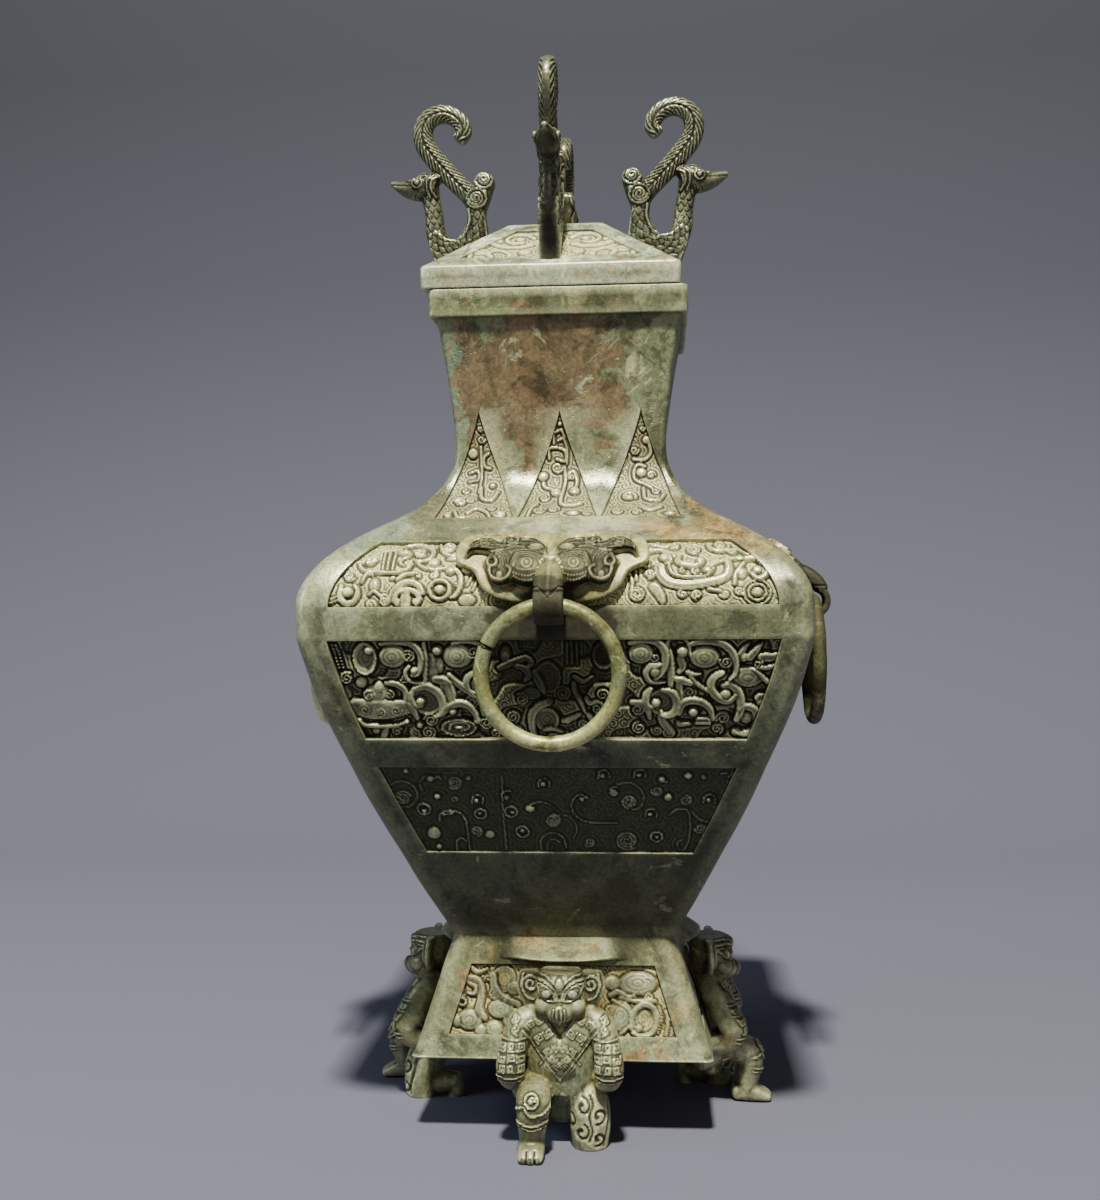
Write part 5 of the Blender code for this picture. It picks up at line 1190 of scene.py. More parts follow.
def birdParts():
    s = birdSize

    def tube(places, power=2.0, ends=(0.6, 0.6)):
        stations = [(0.0, -(s["foot"] + out), s["footHeight"] + up, wide, deep)
                    for out, up, wide, deep in places]
        return tubeParts(stations, (1, 0, 0), power, ends=ends)

    def ball(x, out, up, radii):
        return ballParts((x, -(s["foot"] + out), s["footHeight"] + up), radii)

    body = [(0.8, -7.5), (4.0, 1.0), (7.5, 8.0), (11.0, 17.5), (11.4, 24.0), (6.0, 25.5), (2.6, 21.8),
            (-2.5, 21.0), (-6.5, 24.0), (-8.4, 30.0), (-17.0, 33.0), (-18.3, 22.0), (-19.5, 10.0),
            (-20.5, 1.5)]
    parts = [slabParts([(s["foot"] + out, s["footHeight"] + up) for out, up in body], s["body"])]
    parts.append(tube([(4.0, 15.0, 4.6, 5.4), (8.2, 25.0, 4.4, 5.0), (9.0, 34.0, 4.2, 4.6),
                       (10.6, 43.0, 4.5, 4.6), (11.2, 48.0, 5.0, 4.8)]))
    parts.append(tube([(6.0, 52.4, 2.6, 2.2), (9.5, 51.6, 4.8, 4.6), (14.5, 48.4, 5.6, 6.6),
                       (18.5, 47.6, 5.0, 5.6), (23.0, 48.2, 3.8, 4.3), (27.0, 49.6, 2.6, 2.8),
                       (30.2, 50.8, 1.5, 1.5)]))
    for side in (-1, 1):
        parts.append(ball(side * 4.2, 17.6, 50.0, (1.9, 2.0, 2.0)))
    parts.append(tube([(9.0, 53.6, 1.4, 0.9), (13.0, 55.0, 2.2, 1.1), (16.5, 54.2, 1.6, 0.9)]))
    parts.append(tube([(8.5, 43.6, 4.9, 1.2), (9.0, 48.0, 5.4, 1.5), (6.8, 53.0, 4.0, 1.3)]))
    tail = [(-12.0, 37.0, 3.6, 3.8), (-9.0, 43.6, 3.8, 4.8), (-0.5, 52.5, 3.8, 5.0), (7.0, 60.8, 3.8, 5.1),
            (13.0, 69.0, 3.8, 5.1), (14.3, 76.6, 3.7, 5.0), (11.4, 82.4, 3.7, 4.8), (5.2, 85.0, 3.7, 4.6),
            (-0.8, 83.6, 3.6, 4.4), (-5.2, 79.6, 3.5, 4.3), (-6.1, 75.0, 3.4, 4.1), (-3.6, 71.6, 3.2, 3.6)]
    parts.append(tube(tail, power=2.4, ends=(0.3, 0.3)))
    wing = [(-17.0, 50.5, 5.5, 4.8), (-14.5, 44.0, 5.6, 5.4), (-12.6, 38.0, 5.7, 5.0),
            (-12.4, 31.0, 5.8, 4.4), (-10.5, 24.0, 5.6, 5.0), (-5.0, 18.0, 5.3, 4.0)]
    parts.append(tube(wing, power=4.0, ends=(0.9, 0.4)))
    return parts, tail


def makeBirds():
    s = birdSize
    parts, tail = birdParts()
    piece = grownTogether("bird", parts, s["grain"])
    points = pointsOf(piece)
    normals = normalsOf(piece)
    out, up = -points[:, 1] - s["foot"], points[:, 2] - s["footHeight"]
    flank = np.clip((np.abs(normals[:, 0]) - 0.4) / 0.3, 0, 1)
    height = np.zeros(len(points))
    # herringbone tail with a spine
    along, aside = pathPlaces(out, up, [place[:2] for place in tail[1:]])
    onTail = (np.abs(aside) < 5.2) & (up > 44) & (np.abs(points[:, 0]) < 4.6) & (along > 0.5)
    onTail &= ~((out > 5.0) & (up < 56.5) & (aside < -2.0))
    barbs = np.cos(2 * math.pi * (along + 1.8 * np.abs(aside)) / 3.1)
    spine = -0.55 * np.exp(-(aside / 0.5) ** 2) + 0.3 * np.exp(-((np.abs(aside) - 0.95) / 0.4) ** 2)
    height += np.where(onTail, 0.42 * barbs * (np.abs(aside) > 0.9) + spine, 0.0)
    # scales of the neck, the breast and the body
    neck = [(11.5, 46.0), (9.0, 34.0), (8.0, 25.0), (3.0, 17.0), (-4.5, 16.5), (-12.0, 24.0)]
    along, aside = pathPlaces(out, up, neck)
    onNeck = (~onTail) & (np.abs(aside) < 8.5) & (up > 9.0) & (up < 46.5) & (out > -10.5) & (along > 0.3)
    onNeck &= ~((out < -6.8) & (up > 22))
    height += np.where(onNeck, scaleLines(along, aside, 3.0, 3.3, 0.5), 0.0)
    # coils and long feathers of the wing
    carving = Carving(out, up)
    carving.ring(-16.6, 50.3, 4.3, 0.45, 0.8)
    carving.coil(-16.6, 50.3, 3.4, 0.8, turns=2.2, width=0.5)
    carving.ring(-12.9, 41.0, 4.7, 0.45, 0.8)
    carving.coil(-12.9, 41.0, 3.8, 0.8, turns=2.5, hand=-1, width=0.5)
    carving.band([(-17.3, 44.6), (-18.0, 38.0), (-17.6, 30.0), (-17.9, 21.0)], 0.55, 0.6)
    carving.band([(-9.0, 36.0), (-9.4, 30.0), (-7.0, 24.0), (-2.0, 20.0)], 0.55, 0.6)
    onWing = (~onTail) & (~onNeck) & (out < -4.0) & (up > 11.0) & (up < 57)
    along, aside = pathPlaces(out, up, [(-13.0, 37.0), (-13.2, 28.0), (-9.5, 20.0), (-2.0, 15.0)])
    feathers = scaleLines(along, aside, 3.6, 3.9, 0.55) * (along > 0.4)
    height += np.where(onWing, np.where(carving.edge < 0.3, carving.height, feathers), 0.0)
    # collar, eye, brow and beak line
    face = Carving(out, up)
    face.band([(5.8, 53.0), (9.4, 50.6), (9.8, 46.0), (7.6, 42.6)], 0.5, 0.7)
    face.band([(7.6, 54.0), (11.6, 51.0), (12.0, 46.6), (10.4, 42.4)], 0.4, 0.55)
    face.ring(16.8, 49.6, 2.3, 0.42, 0.75)
    face.ball(16.8, 49.6, 1.1, 0.8)
    face.band([(12.6, 53.4), (17.4, 53.0), (21.5, 51.4)], 0.45, 0.6)
    onHead = (out > 5.5) & (up > 41) & (up < 57) & (~onTail)
    mouth = np.exp(-((up - 48.6 - 0.13 * (out - 20.0)) / 0.35) ** 2) * (out > 19.5)
    height += np.where(onHead, face.height - 0.45 * mouth, 0.0)
    pressed(piece, height, np.maximum(flank, 0.12 * onNeck))
    setMask(piece, "hollow", sunkenBy(piece, 20) / 1.2)
    # painted shade in the grooves and beside the forms of the face, wing, tail barbs and scales
    lines = np.where(onHead, face.shadeLines(), 0.0) + np.where(onWing, carving.shadeLines(), 0.0)
    lines = np.maximum(lines, np.where(onTail, 0.35 - barbs * 0.65, 0.0)) * flank
    scaly = onNeck | (onWing & (carving.edge > 0.3))
    lines = np.maximum(lines, np.where(scaly, -height * 2.2 * flank, 0.0))
    markRelief(piece, 4, 0.30, lines)
    # seat on the lid's slope
    alone(piece)
    bpy.ops.object.mode_set(mode="EDIT")
    bpy.ops.mesh.select_all(action="SELECT")
    seat = (0.0, -s["foot"] * mm, (s["footHeight"] + s["seatGap"]) * mm)
    bpy.ops.mesh.bisect(plane_co=seat, plane_no=(0.0, lidRise, -lidRun), use_fill=True, clear_outer=True)
    bpy.ops.object.mode_set(mode="OBJECT")
    bpy.ops.object.shade_smooth()
    return turnedCopies(piece, "bird_look", (lidSize["slip"], 0.0))


# Masks on the shoulder

maskSize = {"top": 273.0, "bottom": 241.5, "start": 2.6, "end": 38.2, "plate": 3.2, "under": 0.02,
            "grain": 0.46, "rowStep": 0.42, "columns": 196, "loop": 6.6}
maskOutline = ((2.6, 30.0), (3.4, 33.5), (5.0, 37.6), (8.0, 40.0), (12.9, 41.4), (17.5, 41.5), (20.2, 40.6),
               (22.0, 38.6), (23.6, 34.9), (25.4, 32.6), (28.0, 31.4), (31.0, 30.0), (33.7, 27.2),
               (36.1, 22.6), (37.3, 18.2), (38.2, 12.0))
maskBlock = ((0.0, 21.6), (-1.4, 19.6), (-2.4, 16.6), (-2.8, 13.2), (-4.6, 11.2), (-6.6, 9.0), (-10.4, 8.0),
             (-13.4, 8.0), (-15.0, 9.0), (-17.5, 7.4), (-20.4, 8.4), (-22.8, 10.8), (-25.4, 8.9),
             (-28.6, 7.9), (-32.6, 9.6), (-35.2, 13.0), (-36.4, 19.4), (-34.2, 17.2), (-31.6, 16.6),
             (-27.6, 17.4), (-26.0, 18.6), (-27.6, 20.4), (-28.2, 23.0), (-27.2, 25.6), (-26.0, 28.6),
             (-24.4, 31.0), (-21.0, 32.0), (-17.6, 31.2), (-15.4, 31.0), (-11.6, 32.5), (-7.0, 32.8),
             (0.0, 33.0))


def insideDistance(u, v, outline):
    # positive inside a closed outline, negative outside
    outline = np.asarray(outline, float)
    away = np.full(u.shape, 1e9)
    inside = np.zeros(u.shape, bool)
    for a, b in zip(outline, np.roll(outline, -1, axis=0)):
        step = b - a
        t = np.clip(((u - a[0]) * step[0] + (v - a[1]) * step[1]) / max(step @ step, 1e-9), 0, 1)
        away = np.minimum(away, np.hypot(u - a[0] - t * step[0], v - a[1] - t * step[1]))
        crosses = (a[1] > v) != (b[1] > v)
        slope = step[0] / step[1] if step[1] else 0.0
        inside ^= crosses & (u < a[0] + (v - a[1]) * slope)
    return np.where(inside, away, -away)


def blockDistance(u, v):
    return insideDistance(u, v, np.vstack([softPath(maskBlock, 3), [(6.0, 33.0), (6.0, 21.6)]]))


def maskForms(u, v):
    # what is cast on the left half of the mask's face; the right half mirrors it
    c = Carving(u, v)
    # horn with its volutes
    c.band([(-35.6, 18.6), (-33.2, 16.0), (-28.0, 16.3), (-23.5, 16.9), (-19.4, 15.7), (-15.4, 14.0),
            (-12.0, 14.4)], 0.35, 1.1, endWidth=0.7)
    c.band([(-35.6, 18.4), (-34.8, 14.6), (-32.6, 11.0), (-29.0, 9.0), (-26.0, 9.8), (-23.6, 12.4),
            (-20.6, 13.2)], 0.4, 1.1, endWidth=0.7)
    c.band([(-33.0, 14.6), (-30.0, 13.6), (-26.4, 14.0), (-22.6, 15.0)], 0.3, 0.7)
    c.coil(-28.9, 11.2, 2.4, 1.0, turns=1.8, width=0.42)
    c.ring(-17.3, 10.9, 2.9, 0.55, 1.3)
    c.coil(-17.3, 10.9, 2.0, 1.2, turns=1.4, width=0.4)
    c.ball(-17.3, 10.9, 1.0, 1.7)
    c.oval(-6.6, 14.4, 3.4, 1.9, 1.3)
    c.band([(-13.4, 9.4), (-10.6, 9.0), (-7.8, 10.2), (-5.4, 11.6)], 0.7, 1.0, endWidth=0.4, groove=0.3)
    c.band([(-13.2, 12.0), (-10.4, 11.6), (-8.4, 12.2)], 0.5, 0.8)
    # ear: ring, cup and fan
    c.ring(-24.9, 22.9, 2.0, 0.75, 1.5)
    c.band([(-26.0, 26.0), (-25.0, 29.2), (-21.4, 30.5), (-17.8, 29.4), (-16.7, 27.0), (-18.6, 25.0)],
           0.85, 1.4, endWidth=0.6)
    c.ball(-21.4, 28.2, 1.5, 1.0)
    for radius in (3.7, 4.8, 5.9, 7.0):
        angles = np.radians(np.linspace(-75.0, 40.0, 9))
        c.band(np.stack([-24.9 + radius * np.cos(angles), 22.9 + radius * np.sin(angles)], -1), 0.28, 0.75)
    # eye with its lids and brows
    c.ball(-9.7, 24.9, 5.0, 0.8, tall=2.7)
    lid = [(-15.7, 26.1), (-13.2, 22.9), (-9.8, 21.7), (-6.2, 23.0), (-3.4, 26.2)]
    c.band(lid, 0.42, 1.3)
    c.band([(-15.7, 26.1), (-12.8, 27.6), (-9.6, 28.0), (-6.4, 27.5), (-3.4, 26.2)], 0.36, 1.1)
    c.ring(-9.8, 24.9, 2.0, 0.36, 1.4)
    c.ball(-9.8, 24.9, 1.1, 1.6)
    for step, rise in ((1.35, 1.0), (2.5, 1.0), (3.6, 0.9)):
        c.band([(u0 - (0.4 if u0 < -9 else -0.1) * step, v0 - step * (1.0 if u0 > -15 else 0.3))
                for u0, v0 in lid], 0.34, rise)
    c.beads([(-15.2, 28.5), (-12.2, 29.5), (-9.0, 29.8), (-6.2, 29.0), (-4.6, 27.9)], 0.5, 0.9, 1.28)
    c.beads([(-15.0, 30.0), (-12.0, 31.2), (-9.0, 31.5), (-6.6, 31.1)], 0.5, 0.9, 1.28)
    c.ball(0.0, 22.4, 3.8, 1.6, tall=1.7)
    return c


def maskHeight(across, down, rimAway):
    s = maskSize
    u, v = -np.abs(across.ravel()), down.ravel()
    away = blockDistance(u, v)
    base = np.interp(v, [7.0, 14.0, 18.0, 24.0, 33.0], [5.0, 5.8, 6.8, 8.0, 8.9])
    # room for the ring when it is swung up over the ears
    base -= 2.3 * np.clip((-u - 15.5) / 4.0, 0, 1) * np.clip((v - 18.0) / 5.0, 0, 1)
    wall = np.clip((away + 0.15) / 0.45, 0, 1)
    lip = 0.55 * np.clip(1.0 - away / 0.8, 0, 1) ** 2
    c = maskForms(u, v)
    # fine lines between the forms
    field = c.height + 0.2 * np.cos(2 * math.pi * c.edge / 1.3) * (c.edge > 0)
    rim = 0.5 * np.clip(1.0 - rimAway.ravel() / 0.9, 0, 1) ** 2
    height = s["plate"] - rim + wall * (base - s["plate"] - lip + field)
    return height.reshape(across.shape)


def makeMasks():
    s = maskSize
    fine = np.linspace(s["top"], s["bottom"], 200)
    length = downFace(fine)
    rows = int((s["end"] - s["start"]) / s["rowStep"])
    v = np.linspace(s["start"], s["end"], rows + 1)
    half = np.interp(v, *np.array(maskOutline).T)
    cols = s["columns"]
    u = np.linspace(-1, 1, cols + 1)[None, :] * half[:, None]
    v = np.repeat(v[:, None], cols + 1, 1)
    outline = np.array(maskOutline)[:, ::-1]
    height = maskHeight(u, v, insideDistance(u, v, np.vstack([outline * (-1, 1), outline[::-1]])))
    z = np.interp(v, length, fine)
    front = facePoint(u, z, height)
    under = facePoint(np.stack([u[:, 0], u[:, -1]], -1), np.stack([z[:, 0], z[:, -1]], -1), s["under"])
    sheet = newSheet()
    sheetMesh(front, sheet, under)
    beak = [(0, -108.0, 261.6, 1.8, 1.6), (0, -113.2, 258.6, 3.2, 2.8), (0, -118.0, 255.2, 5.6, 3.9),
            (0, -122.4, 251.8, 6.3, 3.7), (0, -125.6, 248.6, 6.3, 2.7)]
    parts = [(np.vstack(sheet["points"]), sheet["faces"]), tubeParts(beak, (1, 0, 0), 3.0, 28)]
    # the loop runs round the ring's axis
    loop = [(0, -ringSize["plane"] - s["loop"] * math.cos(angle),
             ringSize["axis"] + s["loop"] * math.sin(angle), 6.3, 1.75)
            for angle in np.radians([62, 40, 18, -5, -28, -51, -74, -97, -120, -143, -160])]
    loop.append((0, -112.6, 242.6, 6.3, 2.0))
    parts.append(tubeParts(loop, (1, 0, 0), 4.5, 28, ends=(0.2, 0.2)))
    piece = grownTogether("mask", parts, s["grain"], 1)
    points = pointsOf(piece)
    x, reach, z = np.abs(points[:, 0]), -points[:, 1], points[:, 2]
    # cut line of the beak's tip
    line = np.interp(x, [0.0, 1.2, 4.4, 6.3], [246.0, 247.3, 250.6, 250.2])
    cut = np.exp(-((z - line) / 0.42) ** 2) * (reach > 119.0)
    ridge = 0.5 * np.exp(-(x / 1.3) ** 2) * (reach > 112) * (z > 246) * (z < 262)
    pressed(piece, ridge - 0.55 * cut)
    level = z.copy()
    for _ in range(3):
        # back from the face of the mask to the place on the shoulder under it
        level = np.clip(level, 243.0, 272.0)
        slope = faceSlope(level)
        lift = (reach - halfWidth(level)) / np.hypot(1.0, slope)
        level = z + lift * slope / np.hypot(1.0, slope)
    across, down = -x, np.interp(-level, -fine, length)
    beakHalf = np.interp(reach, [106.0, 108.0, 113.2, 118.0, 122.0], [0.0, 2.5, 4.0, 6.7, 7.0])
    onFace = (blockDistance(across, down) > 0.1) & (lift > 4.0) & (x > beakHalf)
    forms = maskForms(across, down)
    depth = np.where(forms.edge > 0.2, 0.85, 0.45)
    setMask(piece, "hollow", np.where(onFace, depth, sunkenBy(piece, 24) / 1.4))
    # painted shade beside the forms of the face and in the cut of the beak's tip
    lines = np.where(onFace, 1.15 * forms.shadeLines(0.5), 0.0)
    markRelief(piece, 3, 0.20, np.maximum(lines, 1.2 * cut))
    smoothed(piece, 60.0)
    return turnedCopies(piece, "mask_look")


# Loose rings

ringSize = {"radius": 28.75, "tube": 3.25, "plane": 121.0, "axis": 242.7, "breakAt": 156.0,
            "breakSpan": 5.0, "breakSkew": 0.12, "uneven": 0.07}


def makeRing(side):
    s = ringSize
    bpy.ops.object.select_all(action="DESELECT")
    bpy.ops.mesh.primitive_torus_add(major_segments=180, minor_segments=28, major_radius=s["radius"] * mm,
                                     minor_radius=s["tube"] * mm, rotation=(math.pi / 2, 0, 0),
                                     location=(0, 0, -s["radius"] * mm))
    ring = bpy.context.active_object
    bpy.ops.object.transform_apply(location=True, rotation=True)
    if side == "front":
        # the joint has sprung open: a slot with slightly skewed ends
        centre = Vector((0.0, 0.0, -s["radius"] * mm))
        bpy.ops.object.mode_set(mode="EDIT")
        low, high = s["breakAt"] - s["breakSpan"] / 2, s["breakAt"] + s["breakSpan"] / 2
        for angle in (math.radians(low), math.radians(high)):
            outward = Vector((math.cos(angle), 0, math.sin(angle)))
            bpy.ops.mesh.select_all(action="SELECT")
            bpy.ops.mesh.bisect(plane_co=centre + outward * s["radius"] * mm,
                                plane_no=Vector((-math.sin(angle), s["breakSkew"], math.cos(angle))))
        bpy.ops.mesh.select_all(action="DESELECT")
        bpy.ops.object.mode_set(mode="OBJECT")
        for face in ring.data.polygons:
            away = face.center - centre
            turn = math.degrees(math.atan2(away.z, away.x)) % 360.0
            face.select = low - 0.02 < turn < high + 0.02
        bpy.ops.object.mode_set(mode="EDIT")
        bpy.ops.mesh.delete(type="FACE")
        bpy.ops.mesh.select_all(action="DESELECT")
        bpy.ops.mesh.select_non_manifold()
        bpy.ops.mesh.edge_face_add()
        bpy.ops.mesh.select_all(action="SELECT")
        bpy.ops.mesh.normals_make_consistent(inside=False)
        bpy.ops.object.mode_set(mode="OBJECT")
    points = pointsOf(ring)
    seed = sides[side] * 2.1
    wave = np.sin(points[:, 0] * 0.45 + seed) + np.sin(points[:, 2] * 0.38 + points[:, 1] * 0.5 + seed)
    wave += 0.6 * np.sin(points[:, 0] * 1.1 - points[:, 2] * 0.9 + seed)
    pressed(ring, s["uneven"] * wave)
    smoothed(ring, 50.0)
    ring.name = f"ring_look_{side}"
    place = Matrix.Rotation(sides[side] * math.pi / 2, 4, "Z")
    ring.data.transform(place @ Matrix.Translation((0.0, -s["plane"] * mm, s["axis"] * mm)))
    for mask in ("hollow", "crevice", "crest"):
        setMask(ring, mask, np.zeros(len(ring.data.vertices)))
    return ring


# Kneeling supporters

figureSize = {"grain": 0.7, "top": 77.4, "underFoot": 35.4, "play": 0.45, "boldness": 1.25}


def figureParts():
    def tube(places, side=(1, 0, 0), power=2.0, ends=(0.6, 0.6)):
        stations = [(x, -r, z, wide, deep) for x, r, z, wide, deep in places]
        return tubeParts(stations, side, power, ends=ends)

    def ball(x, r, z, wide, deep, tall, turn=(0, 0, 0)):
        return ballParts((x, -r, z), (wide, deep, tall), turn)

    parts = [
        tube([(0, 69, 13, 12.5, 6.5), (0, 70, 24, 14.0, 8.0), (0, 70.5, 34, 15.5, 9.0),
              (0, 69.5, 45, 17.5, 8.5), (0, 67.5, 54, 15.0, 7.5), (0, 66, 60, 9.0, 6.5)]),
        tube([(0, 67.5, 54.5, 8.5, 6.0), (0, 69.0, 59.0, 10.6, 9.2), (0, 69.5, 66, 11.4, 10.6),
              (0, 69.0, 72.5, 10.6, 10.0), (0, 68.0, 78.5, 9.0, 8.4)]),
        ball(0, 76.8, 60.6, 6.2, 7.2, 5.0, (-14, 0, 0)),
        ball(0, 77.5, 73.6, 6.8, 2.6, 3.6),
        tube([(-16.5, 63, 22, 7.0, 7.0), (-12.5, 76, 25.5, 7.5, 6.8), (-11.3, 86, 23.5, 7.8, 7.4),
              (-11.6, 88.0, 17.5, 7.0, 6.2), (-12, 86.5, 9.0, 5.8, 5.2), (-12, 86, 3.0, 5.6, 5.4)]),
        tube([(-12, 81.0, 4.0, 4.8, 3.8), (-12, 88, 4.2, 5.8, 4.2), (-12, 94, 3.0, 5.8, 3.0),
              (-12, 97, 2.0, 5.2, 2.0)], power=2.6),
        tube([(9, 64, 24, 8.0, 8.0), (12.5, 71, 18.5, 9.0, 9.4), (13, 73.5, 9.0, 9.2, 8.6),
              (13, 73.5, 0.5, 8.0, 7.6)]),
        tube([(13, 73, 7.0, 7.0, 6.2), (13, 66, 6.4, 6.2, 6.0), (13, 57, 6.0, 5.2, 5.2)]),
        tube([(13, 57.5, 8.5, 4.6, 3.8), (13, 56.5, 3.0, 5.2, 4.2), (13, 57, -1.0, 5.2, 4.4)]),
    ]
    for side in (-1, 1):
        parts += [
            ball(side * 6.4, 74.6, 63.2, 5.0, 5.4, 4.6),
            ball(side * 5.6, 77.2, 69.8, 4.2, 2.6, 2.6, (0, side * -22, 0)),
            tube([(side * 10, 68, 63, 2.0, 3.4), (side * 13.2, 69, 64.5, 1.9, 4.0),
                  (side * 15.6, 69.5, 69, 2.0, 4.6), (side * 15.0, 69, 74.5, 2.0, 4.4),
                  (side * 11.5, 68.5, 77.5, 2.0, 4.0)], (0, 1, 0)),
            tube([(side * 11.5, 68, 56.5, 6.0, 6.0), (side * 18.0, 71, 52.5, 6.4, 6.6),
                  (side * 21.0, 76, 44, 6.2, 6.6), (side * 22.0, 79.5, 36.5, 6.6, 6.4),
                  (side * 21.0, 76.0, 30.5, 5.8, 5.2), (side * 18.5, 66, 29.6, 4.8, 4.8),
                  (side * 17.5, 60, 30.6, 4.0, 4.0)], power=2.3),
            tube([(side * 13.5, 71.5, 58.5, 1.5, 5.2), (side * 8.0, 76.5, 50.0, 1.4, 5.6),
                  (side * 0.5, 79.8, 40.5, 1.3, 5.2), (side * -4.0, 79.6, 35.0, 1.2, 4.4)],
                 (0, 1, 0.25), 3.0),
        ]
    return parts


def meander(carving, u, v, size, angle, hand=1, width=0.34, top=0.5):
    # square coil in a frame
    cos, sin = math.cos(math.radians(angle)), math.sin(math.radians(angle))
    path = []
    for a, b in [(-1, -1), (1, -1), (1, 1), (-0.45, 1), (-0.45, -0.35), (0.4, -0.35), (0.4, 0.4)]:
        a, b = hand * a * size, b * size
        path.append((u + a * cos - b * sin, v + a * sin + b * cos))
    carving.band(path, width, top, soft=False)


def figureHeight(points, normals):
    # engraved and raised lines, drawn as seen from the front: x across, z up
    x, reach, z = points[:, 0], -points[:, 1], points[:, 2]
    ahead = np.clip((-normals[:, 1] - 0.05) / 0.35, 0, 1)
    height, dark = np.zeros(len(points)), np.zeros(len(points))

    def cast(where, forms):
        height[where] += forms.height[where]
        dark[where] = np.maximum(dark[where], forms.shadeLines()[where])

    lines = Carving(x, z)
    side = Carving(np.abs(x), z)
    # eyes, brows, beak
    lid = [(1.5, 66.0), (3.2, 70.4), (6.6, 72.6), (10.2, 72.2)]
    side.band(lid, 0.5, 0.75)
    side.band([(1.5, 66.0), (5.0, 66.3), (8.4, 68.6), (10.2, 72.2)], 0.45, 0.65)
    side.ball(5.8, 69.3, 2.1, 0.6, tall=1.7)
    side.ring(5.8, 69.3, 1.1, 0.3, 0.8)
    side.band([(0.6, 66.4), (2.4, 71.4), (6.0, 74.2), (10.6, 74.0)], 0.55, 0.7)
    side.band([(0.4, 69.4), (2.0, 73.6), (5.6, 76.2), (9.0, 76.4)], 0.45, 0.55)
    side.ball(0.0, 73.2, 1.6, 0.8, tall=3.2)
    side.band([(0.0, 56.4), (0.8, 58.4), (0.9, 62.0), (0.6, 64.4)], 0.42, 0.55)
    side.band([(1.8, 57.6), (2.8, 60.0), (2.4, 63.2)], 0.3, 0.35)
    side.coil(13.6, 71.6, 3.9, 0.8, turns=1.6, width=0.55)
    side.band([(16.8, 76.0), (17.6, 71.0), (15.6, 66.2), (12.4, 64.4)], 0.5, 0.7)
    cast((z > 54.0) & (reach > 66.0), side)
    # lapels: a frame line along both edges and square coils between
    for hand in (-1, 1):
        path = [(hand * 15.5, 60.5), (hand * 8.5, 51.0), (hand * 0.5, 41.0), (hand * -5.0, 34.0)]
        lines.band([(a + hand * 4.4, b - 3.6) for a, b in path], 0.3, 0.5)
        lines.band([(a - hand * 4.0, b + 3.4) for a, b in path], 0.3, 0.5)
        for share, size in ((0.20, 2.3), (0.40, 2.3), (0.60, 2.2), (0.80, 2.0)):
            at = np.array(path[0]) + (np.array(path[-1]) - np.array(path[0])) * share
            meander(lines, at[0] + hand * 1.9, at[1] - 1.2, size * 0.72, hand * 52.0, hand)
            meander(lines, at[0] - hand * 1.9, at[1] + 1.6, size * 0.72, hand * 52.0, -hand)
    cast((z > 30.0) & (z < 57.0) & (np.abs(x) < 16.5) & (reach > 74), lines)
    # sleeves
    sleeve = Carving(np.abs(x), z)
    sleeve.band([(14.5, 49.5), (20.0, 48.8), (27.0, 49.6)], 0.35, 0.5)
    sleeve.band([(15.0, 34.6), (21.0, 33.2), (28.5, 34.2)], 0.35, 0.5)
    sleeve.band([(15.6, 32.6), (21.0, 31.2), (28.0, 32.0)], 0.3, 0.5)
    for row, z0 in enumerate((46.0, 41.6, 37.4)):
        for column in range(3):
            meander(sleeve, 17.4 + column * 4.0, z0, 1.5, 90.0 * (row % 2), 1 if column % 2 else -1)
    for z0 in (52.6, 56.4):
        meander(sleeve, 19.5, z0, 1.5, 30.0, 1)
    cast((np.abs(x) > 15.0) & (z > 28.0) & (z < 60.0), sleeve)
    # raised knee and shin
    knee = Carving(x, z)
    knee.ring(-11.6, 26.0, 2.7, 0.5, 0.8)
    knee.coil(-11.6, 26.0, 1.6, 0.7, turns=1.2, width=0.4)
    knee.band([(-19.5, 21.6), (-15.0, 23.4), (-12.4, 20.4), (-7.0, 21.0), (-3.6, 24.0)], 0.5, 0.8)
    knee.band([(-19.5, 17.4), (-12.0, 15.6), (-4.6, 17.4)], 0.5, 0.7)
    knee.band([(-19.0, 15.6), (-12.0, 13.8), (-5.0, 15.6)], 0.35, 0.6)
    for at in (-15.2, -12.0, -8.8):
        knee.band([(at, 0.0), (at, 2.6)], 0.3, -0.6)
    cast((x < -1.5) & (z < 31.0) & (reach > 74), knee)
    # toes, with painted shade in the grooves between them
    toes = np.exp(-((np.abs(x + 12.0) - 1.8) / 0.35) ** 2) * (reach > 90.0) * (z < 5.6)
    height -= 0.7 * toes
    dark = np.maximum(dark, toes)
    # kneeling thigh: comma scrolls
    thigh = Carving(x, z)
    for at, up, radius, begin, hand in ((9.8, 19.4, 4.0, 90, -1), (17.4, 15.6, 3.8, 250, 1),
                                        (9.4, 8.4, 4.0, 70, -1), (17.2, 5.6, 3.2, 250, 1)):
        thigh.comma(at, up, radius, 0.8, start=begin, sweep=330, hand=hand, width=0.62)
    thigh.band([(13.4, 24.0), (14.8, 20.4), (13.2, 16.4), (13.6, 12.4), (14.6, 9.0), (13.0, 4.6)],
               0.42, 0.7)
    thigh.band([(20.8, 23.0), (21.6, 15.0), (20.8, 8.0), (19.4, 2.0)], 0.4, 0.6)
    thigh.band([(5.2, 15.6), (6.4, 12.8), (5.0, 10.6)], 0.4, 0.6)
    kneeling = (x > 2.0) & (z < 27.0) & (reach > 66)
    # these are cut into the surface, with painted shade in the cuts
    cut = kneeling * np.clip(0.6 - thigh.edge / 0.45, 0, 1)
    height -= 0.75 * cut
    dark = np.maximum(dark, 0.9 * cut)
